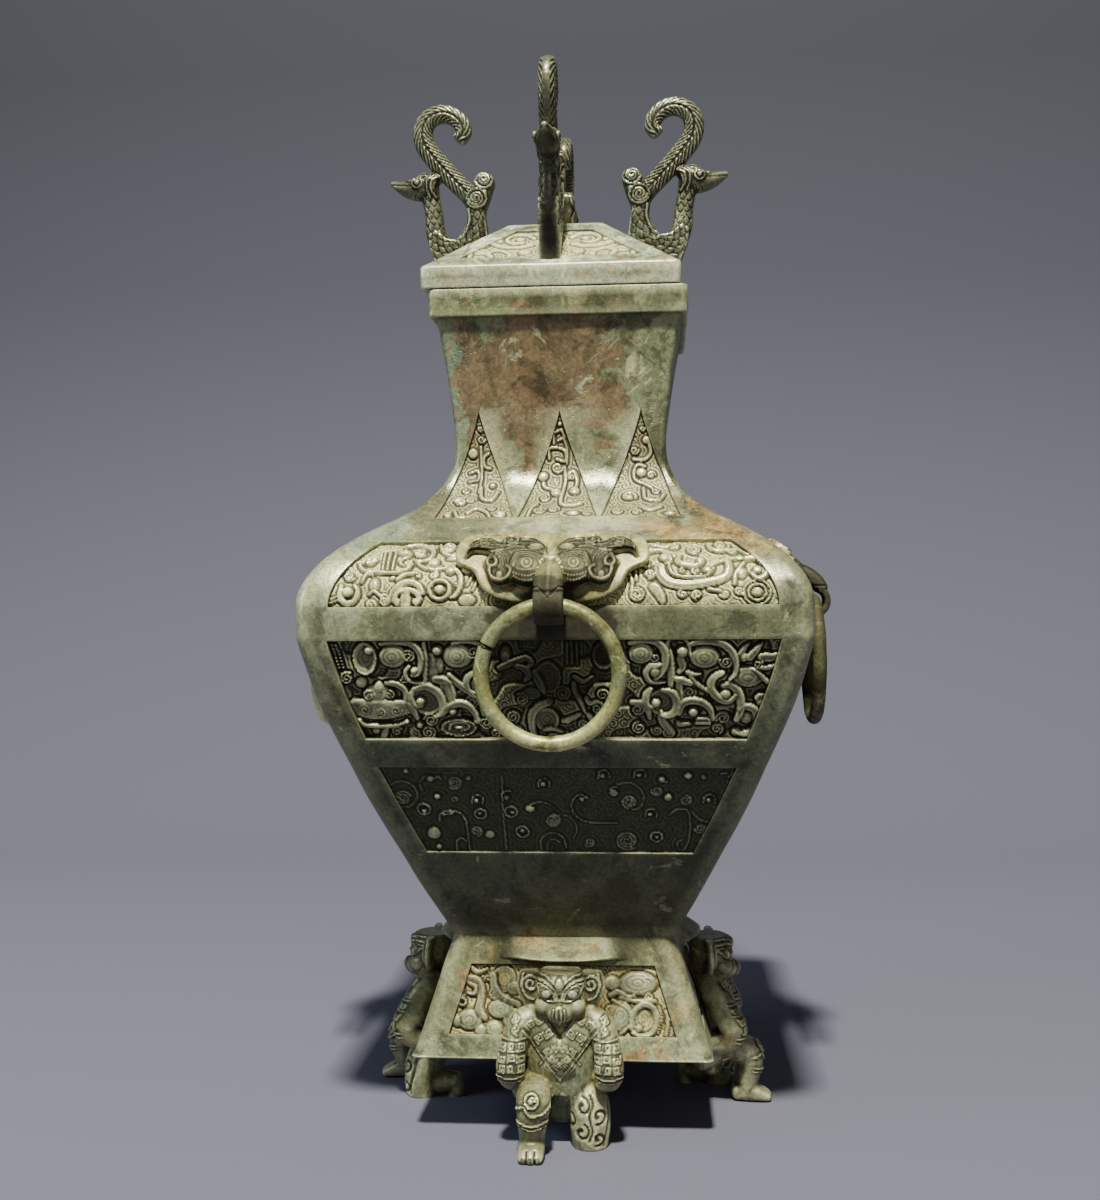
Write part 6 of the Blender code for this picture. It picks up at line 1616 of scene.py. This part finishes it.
    # painted shadow in the hollow under the body, between the legs
    dark = np.maximum(dark, (np.abs(x + 0.5) < 5.0) * (z < 24.0) * (reach < 80.0) * 0.9)
    return height, ahead, dark


def makeFigures():
    s = figureSize
    piece = grownTogether("figure", figureParts(), s["grain"])
    points = pointsOf(piece)
    normals = normalsOf(piece)
    height, ahead, dark = figureHeight(points, normals)
    pressed(piece, height * s["boldness"], ahead)
    setMask(piece, "hollow", sunkenBy(piece, 26) / 1.5)
    markRelief(piece, 4, 0.38, dark * ahead)
    points = pointsOf(piece)
    # it stands flat, its head stops under the hood and its back lies against the foot
    points[:, 2] = np.clip(points[:, 2], 0.0, s["top"])
    foot = halfWidth(np.maximum(points[:, 2], vesselSize["footBottom"])) + s["play"]
    buried = (points[:, 2] > s["underFoot"]) & (-points[:, 1] < foot)
    lower = buried & (points[:, 2] - s["underFoot"] < foot + points[:, 1])
    points[lower, 2] = s["underFoot"]
    points[buried & ~lower, 1] = -foot[buried & ~lower]
    setPoints(piece, points)
    smoothed(piece, 60.0)
    return turnedCopies(piece, "figure_look")


# Patina

def feed(value, slot):
    # a number or a colour is set on the socket, an output is linked to it
    if isinstance(value, (int, float, tuple)):
        slot.default_value = value
    else:
        slot.id_data.links.new(value, slot)


def patinaGroup():
    # colour, roughness and relief of old bronze: clouds, earth and painted shade in the hollows, painted
    # shade in crevices, wear and painted highlight on crests, stains and painted shadow
    group = bpy.data.node_groups.new("oldBronze", "ShaderNodeTree")

    def socket(name, kind, default=None):
        made = group.interface.new_socket(name=name, in_out="OUTPUT" if default is None else "INPUT",
                                          socket_type="NodeSocket" + kind)
        if default is not None:
            made.default_value = default

    for name, default in (("Ground", (0.2, 0.2, 0.13, 1)), ("Patina", (0.3, 0.36, 0.26, 1)),
                          ("Shade", (0.05, 0.05, 0.03, 1)), ("Earth and shade", (0.5, 0.42, 0.24, 1)),
                          ("Copper", (0.3, 0.16, 0.08, 1)), ("Wear and highlight", (0.5, 0.5, 0.38, 1)),
                          ("Verdigris", (0.16, 0.25, 0.17, 1))):
        socket(name, "Color", default)
    for name, default in (("Patina amount", 0.5), ("Shade amount", 0.5), ("Earth and shade amount", 0.5),
                          ("Copper amount", 0.0), ("Wear and highlight amount", 0.5), ("Verdigris amount", 0.4),
                          ("Bloom amount", 0.3), ("Stain and painted shadow", 0.0), ("Streaks", 0.0), ("Hollow", 0.0),
                          ("Crevice", 0.0), ("Crest", 0.0), ("Gloss", 0.5)):
        socket(name, "Float", default)
    for name, kind in (("Colour", "Color"), ("Roughness", "Float"), ("Height", "Float")):
        socket(name, kind)
    nodes = group.nodes
    inside = nodes.new("NodeGroupInput").outputs
    outside = nodes.new("NodeGroupOutput").inputs
    place = nodes.new("ShaderNodeTexCoord").outputs["Object"]

    def noise(scale, detail, rough, distortion, vector=place):
        node = nodes.new("ShaderNodeTexNoise")
        for name, value in (("Scale", scale), ("Detail", detail), ("Roughness", rough),
                            ("Distortion", distortion), ("Vector", vector)):
            feed(value, node.inputs[name])
        return node.outputs["Fac"]

    def sums(kind, a, b, clamp):
        node = nodes.new("ShaderNodeMath")
        node.operation = kind
        node.use_clamp = clamp
        feed(a, node.inputs[0])
        feed(b, node.inputs[1])
        return node.outputs[0]

    def plus(a, b):
        return sums("ADD", a, b, False)

    def minus(a, b, clamp=False):
        return sums("SUBTRACT", a, b, clamp)

    def times(a, b, clamp=False):
        return sums("MULTIPLY", a, b, clamp)

    def spread(value, low, high):
        node = nodes.new("ShaderNodeMapRange")
        node.interpolation_type = "SMOOTHSTEP"
        for name, entry in (("Value", value), ("From Min", low), ("From Max", high)):
            feed(entry, node.inputs[name])
        return node.outputs["Result"]

    def mix(share, first, second, kind="MIX"):
        node = nodes.new("ShaderNodeMix")
        node.data_type = "RGBA"
        node.blend_type = kind
        for value, slot in ((share, 0), (first, 6), (second, 7)):
            feed(value, node.inputs[slot])
        return node.outputs[2]

    def layer(colour, pattern, amount, reach, low, high, share, tone):
        # the amount moves the threshold of the pattern's patches
        level = plus(pattern, times(inside[amount], reach))
        return mix(times(spread(level, low, high), share), colour, inside[tone])

    clouds = noise(15.0, 9.0, 0.66, 1.0)
    patches = noise(30.0, 9.0, 0.70, 1.3)
    blots = noise(110.0, 6.0, 0.68, 0.5)
    grit = noise(620.0, 4.0, 0.75, 0.4)
    level = plus(clouds, times(minus(inside["Patina amount"], 0.5), 0.3))
    level = spread(plus(level, times(blots, 0.24)), 0.57, 0.66)
    colour = mix(level, inside["Ground"], inside["Patina"])
    colour = layer(colour, patches, "Verdigris amount", 0.2, 0.62, 0.66, 0.7, "Verdigris")
    level = plus(noise(20.0, 9.0, 0.68, 1.6), times(blots, 0.12))
    brown = spread(level, minus(0.88, inside["Copper amount"]), minus(0.92, inside["Copper amount"]))
    level = spread(noise(60.0, 8.0, 0.7, 1.5), 0.44, 0.58)
    copper = mix(level, mix(0.5, inside["Copper"], inside["Shade"]), inside["Copper"])
    colour = mix(times(brown, 0.82), colour, copper)
    colour = layer(colour, noise(42.0, 10.0, 0.74, 2.2), "Bloom amount", 0.2, 0.66, 0.71, 0.6, "Wear and highlight")
    # long pale runs
    slant = nodes.new("ShaderNodeMapping")
    slant.vector_type = "TEXTURE"
    slant.inputs["Rotation"].default_value = (0.0, math.radians(50.0), 0.0)
    slant.inputs["Scale"].default_value = (0.016, 0.016, 0.055)
    feed(place, slant.inputs["Vector"])
    runs = noise(1.0, 9.0, 0.72, 1.2, slant.outputs["Vector"])
    colour = layer(colour, runs, "Streaks", 0.3, 0.70, 0.76, 0.75, "Wear and highlight")
    colour = layer(colour, noise(52.0, 8.0, 0.72, 0.8), "Shade amount", 0.2, 0.66, 0.72, 0.55, "Shade")
    # dark patches given by place: mostly painted shadow under the masks and painted shade on the right-hand
    # side, with some dark stains
    stainAndShadow = spread(plus(inside["Stain and painted shadow"], times(minus(blots, 0.5), 1.2)), 0.30, 0.72)
    colour = mix(times(stainAndShadow, 0.95), colour, mix(0.5, inside["Shade"], (0.016, 0.010, 0.005, 1)))
    # the hollow colour: earth and dust in the hollows, and painted shade where that colour is dark, as in
    # the deep panels
    level = times(inside["Hollow"], plus(times(blots, 1.1), 0.35))
    earthAndShade = times(spread(plus(level, times(grit, 0.2)), 0.25, 0.66), inside["Earth and shade amount"], True)
    colour = mix(earthAndShade, colour, inside["Earth and shade"])
    # the crests are lightened: wear on the high points and painted highlight
    wearAndHighlight = times(inside["Crest"], inside["Wear and highlight amount"], True)
    wearAndHighlight = times(wearAndHighlight, minus(1.0, times(stainAndShadow, 0.8)))
    colour = mix(wearAndHighlight, colour, inside["Wear and highlight"])
    # painted shade in the crevices and along the lines drawn beside the forms
    colour = mix(times(inside["Crevice"], 0.92), colour, inside["Shade"])
    # fine speckle
    level = spread(plus(times(grit, 0.62), times(blots, 0.38)), 0.38, 0.62)
    speck = mix(level, (0.68, 0.68, 0.64, 1), (1.30, 1.28, 1.15, 1))
    feed(mix(1.0, colour, speck, "MULTIPLY"), outside["Colour"])
    rough = plus(times(blots, 0.35), times(earthAndShade, 0.35))
    rough = minus(plus(rough, 0.50), times(inside["Gloss"], 0.45))
    rough = plus(rough, times(stainAndShadow, 0.3))
    feed(minus(rough, times(wearAndHighlight, 0.12), True), outside["Roughness"])
    pits = nodes.new("ShaderNodeTexVoronoi")
    pits.inputs["Scale"].default_value = 420.0
    feed(place, pits.inputs["Vector"])
    pit = times(spread(pits.outputs["Distance"], 0.22, 0.10), spread(patches, 0.50, 0.60))
    height = plus(times(blots, 0.5), times(grit, 0.35))
    feed(minus(height, times(pit, 0.55)), outside["Height"])
    return group


bumpSize = {"strength": 0.75, "distance": 0.4}


def bronze(name, group, values, zones, metallic, blobs=None, span=(30.0, 390.0)):
    # zones change a value with the height, over the span; blobs add to it at given places
    blobs = blobs or {}
    material = bpy.data.materials.new(name)
    material.use_nodes = True
    nodes = material.node_tree.nodes
    surface = nodes["Principled BSDF"].inputs
    patina = nodes.new("ShaderNodeGroup")
    patina.node_tree = group
    for key, value in values.items():
        patina.inputs[key].default_value = (*value, 1.0) if isinstance(value, tuple) else value
    for mask in ("Hollow", "Crevice", "Crest"):
        reader = nodes.new("ShaderNodeAttribute")
        reader.attribute_name = mask.lower()
        feed(reader.outputs["Fac"], patina.inputs[mask])
    place = nodes.new("ShaderNodeTexCoord").outputs["Object"]

    def spots(result, target):
        for centre, radii, strength in blobs.get(target, ()):
            shift = nodes.new("ShaderNodeMapping")
            shift.vector_type = "TEXTURE"
            shift.inputs["Location"].default_value = [value * mm for value in centre]
            shift.inputs["Scale"].default_value = [value * mm for value in radii]
            feed(place, shift.inputs["Vector"])
            ball = nodes.new("ShaderNodeTexGradient")
            ball.gradient_type = "QUADRATIC_SPHERE"
            feed(shift.outputs["Vector"], ball.inputs["Vector"])
            more = nodes.new("ShaderNodeMath")
            more.operation = "MULTIPLY_ADD"
            for slot, value in enumerate((ball.outputs["Fac"], strength, result)):
                feed(value, more.inputs[slot])
            result = more.outputs[0]
        feed(result, patina.inputs[target])

    for target in blobs:
        if target not in zones:
            spots(float(values.get(target, 0.0)), target)
    if zones:
        parts = nodes.new("ShaderNodeSeparateXYZ")
        feed(place, parts.inputs["Vector"])
        share = nodes.new("ShaderNodeMapRange")
        share.inputs["From Min"].default_value = span[0] * mm
        share.inputs["From Max"].default_value = span[1] * mm
        feed(parts.outputs["Z"], share.inputs["Value"])
        for target, stops in zones.items():
            ramp = nodes.new("ShaderNodeValToRGB")
            elements = ramp.color_ramp.elements
            elements.remove(elements[0])
            for index, (z, *tone) in enumerate(stops):
                at = (z - span[0]) / (span[1] - span[0])
                stop = elements.new(at) if index else elements[0]
                stop.position = at
                stop.color = (*(tone * 3)[:3], 1.0)  # one number is a grey
            feed(share.outputs["Result"], ramp.inputs["Fac"])
            spots(ramp.outputs["Color"], target)
    bump = nodes.new("ShaderNodeBump")
    bump.inputs["Strength"].default_value = bumpSize["strength"]
    bump.inputs["Distance"].default_value = bumpSize["distance"] * mm
    feed(patina.outputs["Height"], bump.inputs["Height"])
    feed(bump.outputs["Normal"], surface["Normal"])
    feed(patina.outputs["Colour"], surface["Base Color"])
    feed(patina.outputs["Roughness"], surface["Roughness"])
    surface["Metallic"].default_value = metallic
    return material


vesselPatina = {"Shade": (0.013, 0.015, 0.008), "Gloss": 0.55, "Wear and highlight amount": 0.85}
# height in mm and colour, or one number, of each stop
vesselZones = {
    # the lower body from 95 to 178 mm is dark: its own dark patina and painted shade, as it faces down away
    # from the lamp; the rim band near 378 mm is darker: painted shade under the lid's edge
    "Ground": ((36, 0.13, 0.14, 0.085), (88, 0.13, 0.13, 0.07), (95, 0.04, 0.043, 0.022),
               (178, 0.042, 0.046, 0.025), (228, 0.11, 0.12, 0.07), (243, 0.15, 0.16, 0.1),
               (285, 0.16, 0.165, 0.11), (318, 0.115, 0.12, 0.075), (370, 0.085, 0.09, 0.045),
               (378, 0.075, 0.08, 0.036)),
    "Patina": ((36, 0.25, 0.275, 0.19), (88, 0.24, 0.25, 0.15), (95, 0.066, 0.07, 0.042),
               (178, 0.07, 0.08, 0.05), (228, 0.19, 0.215, 0.145), (243, 0.27, 0.3, 0.21),
               (285, 0.32, 0.34, 0.25), (318, 0.25, 0.275, 0.18), (370, 0.2, 0.22, 0.125),
               (378, 0.17, 0.19, 0.1)),
    "Verdigris": ((36, 0.17, 0.22, 0.15), (88, 0.16, 0.2, 0.13), (95, 0.045, 0.06, 0.04),
                  (178, 0.05, 0.07, 0.048), (228, 0.14, 0.18, 0.135), (243, 0.22, 0.28, 0.22),
                  (310, 0.21, 0.29, 0.245), (378, 0.18, 0.24, 0.17)),
    "Earth and shade": ((36, 0.6, 0.49, 0.21), (88, 0.55, 0.44, 0.19), (120, 0.06, 0.055, 0.024),
              (228, 0.1, 0.095, 0.046), (243, 0.52, 0.47, 0.22), (378, 0.56, 0.5, 0.25)),
    "Wear and highlight": ((36, 0.5, 0.5, 0.32), (88, 0.46, 0.46, 0.28), (95, 0.22, 0.23, 0.14), (120, 0.3, 0.32, 0.2),
             (178, 0.42, 0.44, 0.27), (228, 0.52, 0.54, 0.34), (243, 0.66, 0.68, 0.47),
             (378, 0.55, 0.58, 0.38)),
    "Earth and shade amount": ((36, 0.95), (88, 0.9), (130, 0.4), (228, 0.35), (243, 0.85), (378, 0.85)),
    "Gloss": ((36, 0.35), (240, 0.45), (262, 0.8), (284, 0.8), (292, 1.0), (310, 0.95), (326, 0.6),
              (378, 0.45)),
    "Copper": ((36, 0.34, 0.21, 0.09), (88, 0.3, 0.19, 0.08), (96, 0.075, 0.045, 0.024),
               (228, 0.16, 0.1, 0.05), (246, 0.46, 0.3, 0.12), (284, 0.46, 0.3, 0.13),
               (304, 0.25, 0.152, 0.088), (378, 0.24, 0.15, 0.085)),
    "Copper amount": ((36, 0.24), (88, 0.24), (96, 0.16), (240, 0.18), (300, 0.24), (378, 0.2)),
    "Shade amount": ((36, 0.5), (240, 0.5), (300, 0.6), (372, 0.6), (378, 0.95)),
}
carvedZones = {
    **vesselZones,
    "Ground": ((46, 0.17, 0.185, 0.12), (90, 0.16, 0.165, 0.1), (120, 0.2, 0.21, 0.14),
               (176, 0.2, 0.21, 0.14), (184, 0.17, 0.18, 0.11), (234, 0.18, 0.19, 0.115),
               (242, 0.42, 0.41, 0.21), (276, 0.42, 0.41, 0.21), (284, 0.38, 0.36, 0.2),
               (334, 0.36, 0.35, 0.2)),
    "Patina": ((46, 0.32, 0.345, 0.25), (90, 0.3, 0.31, 0.2), (120, 0.34, 0.35, 0.25),
               (176, 0.34, 0.35, 0.25), (184, 0.3, 0.32, 0.2), (234, 0.32, 0.34, 0.21),
               (242, 0.6, 0.61, 0.36), (276, 0.6, 0.6, 0.34), (284, 0.54, 0.53, 0.31),
               (334, 0.5, 0.5, 0.31)),
    # the hollow colour is nearly black from 120 to 234 mm: painted shade in the deep ground of the lower
    # and middle panels
    "Earth and shade": ((46, 0.62, 0.5, 0.21), (90, 0.58, 0.47, 0.2), (120, 0.044, 0.047, 0.026),
              (176, 0.046, 0.05, 0.028), (184, 0.055, 0.055, 0.03), (234, 0.055, 0.055, 0.03),
              (242, 0.5, 0.47, 0.21), (276, 0.46, 0.42, 0.18), (284, 0.15, 0.125, 0.05),
              (334, 0.1, 0.08, 0.03)),
    "Wear and highlight": ((46, 0.54, 0.54, 0.36), (90, 0.52, 0.52, 0.34), (120, 0.4, 0.42, 0.28),
             (176, 0.42, 0.44, 0.28), (184, 0.46, 0.48, 0.3), (234, 0.5, 0.52, 0.33),
             (242, 0.82, 0.82, 0.51), (276, 0.82, 0.81, 0.5), (284, 0.8, 0.78, 0.5),
             (334, 0.76, 0.75, 0.48)),
    "Earth and shade amount": ((46, 1.0), (90, 1.0), (120, 1.0), (234, 1.0), (242, 0.7), (276, 0.7), (284, 0.9),
                     (334, 0.9)),
    "Wear and highlight amount": ((46, 0.5), (90, 0.5), (120, 0.22), (176, 0.22), (184, 0.6), (234, 0.6), (242, 0.65),
                    (334, 0.8)),
}
# patches of their own: centre, radii, strength
vesselBlobs = {
    "Copper amount": (((-9, -50, 349), (72, 50, 62), 0.55), ((76, -84, 272), (62, 50, 26), 0.52),
                      ((-50, -66, 72), (24, 30, 14), 0.22), ((55, -66, 74), (22, 30, 16), 0.24),
                      ((60, 0, 340), (40, 60, 50), 0.25), ((0, 60, 350), (60, 40, 40), 0.25)),
    # dark patches: painted shadow of each mask's block and loop over the band and panel inside its ring,
    # painted shade on the right-hand front corner, and a weaker dark patch low on the left
    "Stain and painted shadow": tuple(((x, y, 227), (50, 50, 50), 3.1) for x, y in ((0, -110), (110, 0), (0, 110), (-110, 0)))
             + (((106, -104, 246), (60, 60, 46), 0.68), ((-110, -100, 196), (40, 40, 60), 0.35)),
    "Streaks": (((30, -54, 354), (50, 36, 48), 0.9), ((-30, 54, 350), (50, 30, 40), 0.9)),
    "Verdigris amount": (((-52, -52, 345), (30, 40, 64), 1.7), ((-78, -84, 276), (44, 50, 34), 1.2),
                         ((105, -100, 236), (26, 30, 40), 0.6)),
    # darker patches: painted shade at the right-hand front corner, and one low on the left front corner
    "Shade amount": (((106, -100, 256), (60, 60, 60), 1.2), ((-108, -100, 205), (40, 40, 60), 0.7)),
}
# painted shadow on each mask's loop under its block, and painted shade on the right-hand mask
maskBlobs = {"Stain and painted shadow": tuple(((x, y, 242), (34, 26, 24), 3.0)
                            for x, y in ((0, -123), (123, 0), (0, 123), (-123, 0)))
             + (((120, 0, 256), (44, 70, 50), 1.6),)}
# painted shade on the right-hand ring
ringBlobs = {"Stain and painted shadow": (((124, 0, 214), (40, 80, 80), 1.8),)}
birdBlobs = {"Stain and painted shadow": (((-3.4, -76, 436), (14, 22, 52), 1.5), ((-3.4, -60, 412), (9, 16, 26), 1.0))}
lidPatina = {"Shade": (0.026, 0.028, 0.014), "Earth and shade": (0.52, 0.45, 0.22), "Copper": (0.22, 0.15, 0.07),
             "Wear and highlight": (0.72, 0.73, 0.55), "Verdigris": (0.2, 0.28, 0.2), "Patina amount": 0.55,
             "Shade amount": 0.85, "Earth and shade amount": 0.95, "Copper amount": 0.28, "Verdigris amount": 0.9,
             "Bloom amount": 0.4, "Gloss": 0.6, "Wear and highlight amount": 0.95}
lidZones = {
    # the upright band is much darker than the slopes above 400 mm: its own darker patina and painted shade,
    # as the slopes face the lamp and the band does not
    "Ground": ((372, 0.12, 0.13, 0.08), (398, 0.14, 0.15, 0.1), (400, 0.5, 0.51, 0.35),
               (426, 0.52, 0.53, 0.37)),
    "Patina": ((372, 0.26, 0.29, 0.21), (398, 0.29, 0.32, 0.24), (400, 0.8, 0.82, 0.61),
               (426, 0.8, 0.82, 0.61)),
}
birdPatina = {"Ground": (0.028, 0.03, 0.016), "Patina": (0.07, 0.078, 0.048),
              "Shade": (0.008, 0.008, 0.004), "Earth and shade": (0.09, 0.08, 0.04), "Copper": (0.07, 0.042, 0.02),
              "Wear and highlight": (0.58, 0.59, 0.42), "Verdigris": (0.08, 0.105, 0.075), "Patina amount": 0.5,
              "Shade amount": 0.5, "Earth and shade amount": 0.5, "Copper amount": 0.27, "Gloss": 0.8,
              "Wear and highlight amount": 0.6}
maskPatina = {"Ground": (0.22, 0.205, 0.095), "Patina": (0.42, 0.39, 0.185), "Shade": (0.01, 0.01, 0.005),
              "Earth and shade": (0.042, 0.043, 0.024), "Copper": (0.26, 0.16, 0.065), "Wear and highlight": (0.62, 0.61, 0.37),
              "Verdigris": (0.2, 0.24, 0.15), "Patina amount": 0.52, "Shade amount": 0.45,
              "Earth and shade amount": 0.95, "Copper amount": 0.27, "Gloss": 0.6, "Wear and highlight amount": 0.6}
ringLitAndShadedZones = {
    # paler at the ring's bottom and darker above: painted light where the lamp reaches the lower part and
    # painted shade under the mask
    "Ground": ((181, 0.58, 0.58, 0.3), (190, 0.48, 0.48, 0.23), (204, 0.28, 0.285, 0.12),
               (222, 0.16, 0.165, 0.07), (246, 0.2, 0.205, 0.09)),
    "Patina": ((181, 0.8, 0.8, 0.48), (190, 0.7, 0.7, 0.4), (204, 0.42, 0.425, 0.21),
               (222, 0.28, 0.29, 0.14), (246, 0.36, 0.365, 0.18)),
}
ringPatina = {"Shade": (0.06, 0.062, 0.026), "Earth and shade": (0.4, 0.37, 0.19), "Copper": (0.2, 0.16, 0.07),
              "Wear and highlight": (0.66, 0.66, 0.4), "Verdigris": (0.26, 0.3, 0.18), "Patina amount": 0.5,
              "Shade amount": 0.4, "Earth and shade amount": 0.4, "Copper amount": 0.22, "Gloss": 0.6}
figurePatina = {"Ground": (0.15, 0.155, 0.085), "Patina": (0.29, 0.31, 0.2), "Shade": (0.01, 0.01, 0.005),
                "Earth and shade": (0.46, 0.39, 0.16), "Copper": (0.2, 0.135, 0.06), "Wear and highlight": (0.72, 0.72, 0.47),
                "Verdigris": (0.15, 0.19, 0.13), "Patina amount": 0.5, "Shade amount": 0.5,
                "Earth and shade amount": 0.8, "Copper amount": 0.26, "Gloss": 0.5, "Wear and highlight amount": 0.9}


def dressed(piece, material):
    piece.data.materials.clear()
    piece.data.materials.append(material)
    for face in piece.data.polygons:
        face.material_index = 0


# Room, lights and camera

def areaLight(name, place, target, size, power, colour):
    light = bpy.data.lights.new(name, "AREA")
    light.shape = "RECTANGLE"
    light.size, light.size_y = size
    light.energy = power
    light.color = colour
    lamp = bpy.data.objects.new(name, light)
    bpy.context.scene.collection.objects.link(lamp)
    lamp.location = place
    lamp.rotation_euler = (Vector(target) - Vector(place)).to_track_quat("-Z", "Y").to_euler()


roomSize = {"floor": 5.0, "forward": 1.2, "wall": 3.0, "cove": 0.7, "coveSteps": 24, "roughness": 0.85,
            "floorTone": (0.130, 0.129, 0.195, 1), "wallTone": (0.0415, 0.0425, 0.066, 1),
            "skyTone": (0.60, 0.62, 0.68, 1), "skyPower": 0.10}
# place, target, width and height, power, colour
lights = {
    "keyLight": ((0.0, -1.40, 2.90), (0.0, -0.05, 0.25), (0.22, 0.22), 228.0, (1.0, 0.99, 0.79)),
    "sideLight": ((-1.2, -0.5, 0.9), (0.0, 0.0, 0.25), (0.4, 0.6), 5.0, (0.78, 0.94, 1.0)),
    "fillLight": ((0.5, -1.4, 0.7), (0.0, 0.0, 0.25), (0.5, 0.5), 2.0, (1.0, 0.97, 0.88)),
}


def makeRoom():
    # floor that sweeps up into a backdrop
    s = roomSize
    bpy.ops.object.select_all(action="DESELECT")
    bpy.ops.mesh.primitive_plane_add(size=s["floor"], location=(0, -s["forward"], 0))
    floor = bpy.context.active_object
    floor.name = "studio_floor"
    bpy.ops.object.mode_set(mode="EDIT")
    bpy.ops.mesh.select_all(action="DESELECT")
    bpy.ops.object.mode_set(mode="OBJECT")
    for edge in floor.data.edges:
        edge.select = all(floor.data.vertices[corner].co.y > 1.0 for corner in edge.vertices)
    bpy.ops.object.mode_set(mode="EDIT")
    bpy.ops.mesh.select_mode(type="EDGE")
    bpy.ops.mesh.extrude_region_move(TRANSFORM_OT_translate={"value": (0, 0, s["wall"])})
    bpy.ops.object.mode_set(mode="OBJECT")
    for edge in floor.data.edges:
        ends = [floor.data.vertices[corner].co for corner in edge.vertices]
        edge.select = all(abs(co.z) < 0.01 and co.y > 1.0 for co in ends)
    bpy.ops.object.mode_set(mode="EDIT")
    bpy.ops.mesh.bevel(offset=s["cove"], segments=s["coveSteps"], affect="EDGES")
    bpy.ops.object.mode_set(mode="OBJECT")
    bpy.ops.object.transform_apply(location=True)
    bpy.ops.object.shade_smooth()
    material = bpy.data.materials.new("paleFloor")
    material.use_nodes = True
    nodes = material.node_tree.nodes
    surface = nodes["Principled BSDF"].inputs
    parts = nodes.new("ShaderNodeSeparateXYZ")
    tone = nodes.new("ShaderNodeValToRGB")
    tone.color_ramp.elements[0].color = s["floorTone"]
    tone.color_ramp.elements[1].color = s["wallTone"]
    feed(nodes.new("ShaderNodeTexCoord").outputs["Object"], parts.inputs["Vector"])
    feed(parts.outputs["Z"], tone.inputs["Fac"])
    feed(tone.outputs["Color"], surface["Base Color"])
    surface["Roughness"].default_value = s["roughness"]
    dressed(floor, material)
    floor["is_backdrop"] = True
    world = bpy.data.worlds.new("softRoom")
    world.use_nodes = True
    sky = world.node_tree.nodes["Background"].inputs
    sky["Color"].default_value = s["skyTone"]
    sky["Strength"].default_value = s["skyPower"]
    bpy.context.scene.world = world
    for name, values in lights.items():
        areaLight(name, *values)


focal, photoWidth = 1400, 1100  # in pixels of the photo
cameraSize = {"distance": 0.70, "height": 0.249, "aside": 3.75, "yaw": 18.0 / focal, "pitch": 10.0 / focal,
              "roll": -0.0077, "sensor": 36.0}


def makeCamera():
    s = cameraSize
    aside = math.radians(s["aside"])
    camera = bpy.data.objects.new("photoCamera", bpy.data.cameras.new("photoCamera"))
    bpy.context.scene.collection.objects.link(camera)
    camera.data.sensor_fit = "HORIZONTAL"
    camera.data.sensor_width = s["sensor"]
    camera.data.lens = s["sensor"] * focal / photoWidth
    camera.data.clip_start = 0.01
    forward = Vector((-math.sin(aside), math.cos(aside), 0.0))
    forward.rotate(Euler((0, 0, s["yaw"])))
    right = forward.cross(Vector((0, 0, 1)))
    ahead = forward * math.cos(s["pitch"]) - Vector((0, 0, 1)) * math.sin(s["pitch"])
    upward = right.cross(ahead)
    across = right * math.cos(s["roll"]) + upward * math.sin(s["roll"])
    upward = upward * math.cos(s["roll"]) - right * math.sin(s["roll"])
    matrix = Matrix((across, upward, -ahead)).transposed().to_4x4()
    matrix.translation = (s["distance"] * math.sin(aside), -s["distance"] * math.cos(aside), s["height"])
    camera.matrix_world = matrix
    bpy.context.scene.camera = camera


def plainList(value):
    if isinstance(value, dict):
        return {str(key): plainList(item) for key, item in value.items()}
    if isinstance(value, (int, float, str, bool)) or value is None:
        return value
    return [plainList(item) for item in value]


def main():
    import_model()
    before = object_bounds()
    group = patinaGroup()
    vesselBronze = bronze("vesselBronze", group, vesselPatina, vesselZones, 0.3, vesselBlobs)
    carvedBronze = bronze("carvedBronze", group, vesselPatina, carvedZones, 0.25, vesselBlobs)
    vessel = makeVessel()
    dressed(vessel, vesselBronze)
    setMask(vessel, "hollow", np.zeros(len(vessel.data.vertices)))
    markRelief(vessel, 2, 0.6)
    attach(vessel, "vessel")
    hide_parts("vessel")
    print("vessel shell", len(vessel.data.polygons))
    for side, relief in turnedCopies(makeCarving(), "relief").items():
        dressed(relief, carvedBronze)
        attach(relief, "vessel")
    print("carved panels")
    lid = makeLid()
    dressed(lid, bronze("lidBronze", group, lidPatina, lidZones, 0.2, span=(370.0, 430.0)))
    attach(lid, "vessel")
    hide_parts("lid")
    print("lid")
    for kind, builder, values, metallic, blobs in (("bird", makeBirds, birdPatina, 0.4, birdBlobs),
                                                   ("mask", makeMasks, maskPatina, 0.35, maskBlobs),
                                                   ("figure", makeFigures, figurePatina, 0.3, None)):
        material = bronze(kind + "Bronze", group, values, {}, metallic, blobs)
        for side, piece in builder().items():
            dressed(piece, material)
            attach(piece, "vessel")
            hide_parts(f"{kind}_{side}")
        print(kind)
    ringBronze = bronze("ringBronze", group, ringPatina, ringLitAndShadedZones, 0.4, ringBlobs, (180.0, 250.0))
    for side in sides:
        ring = makeRing(side)
        dressed(ring, ringBronze)
        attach(ring, f"ring_{side}")
        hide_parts(f"ring_{side}")
    print("rings")
    makeRoom()
    makeCamera()
    print("room, lights and camera")
    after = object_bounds()
    {"before": plainList(before), "after": plainList(after)}


main()
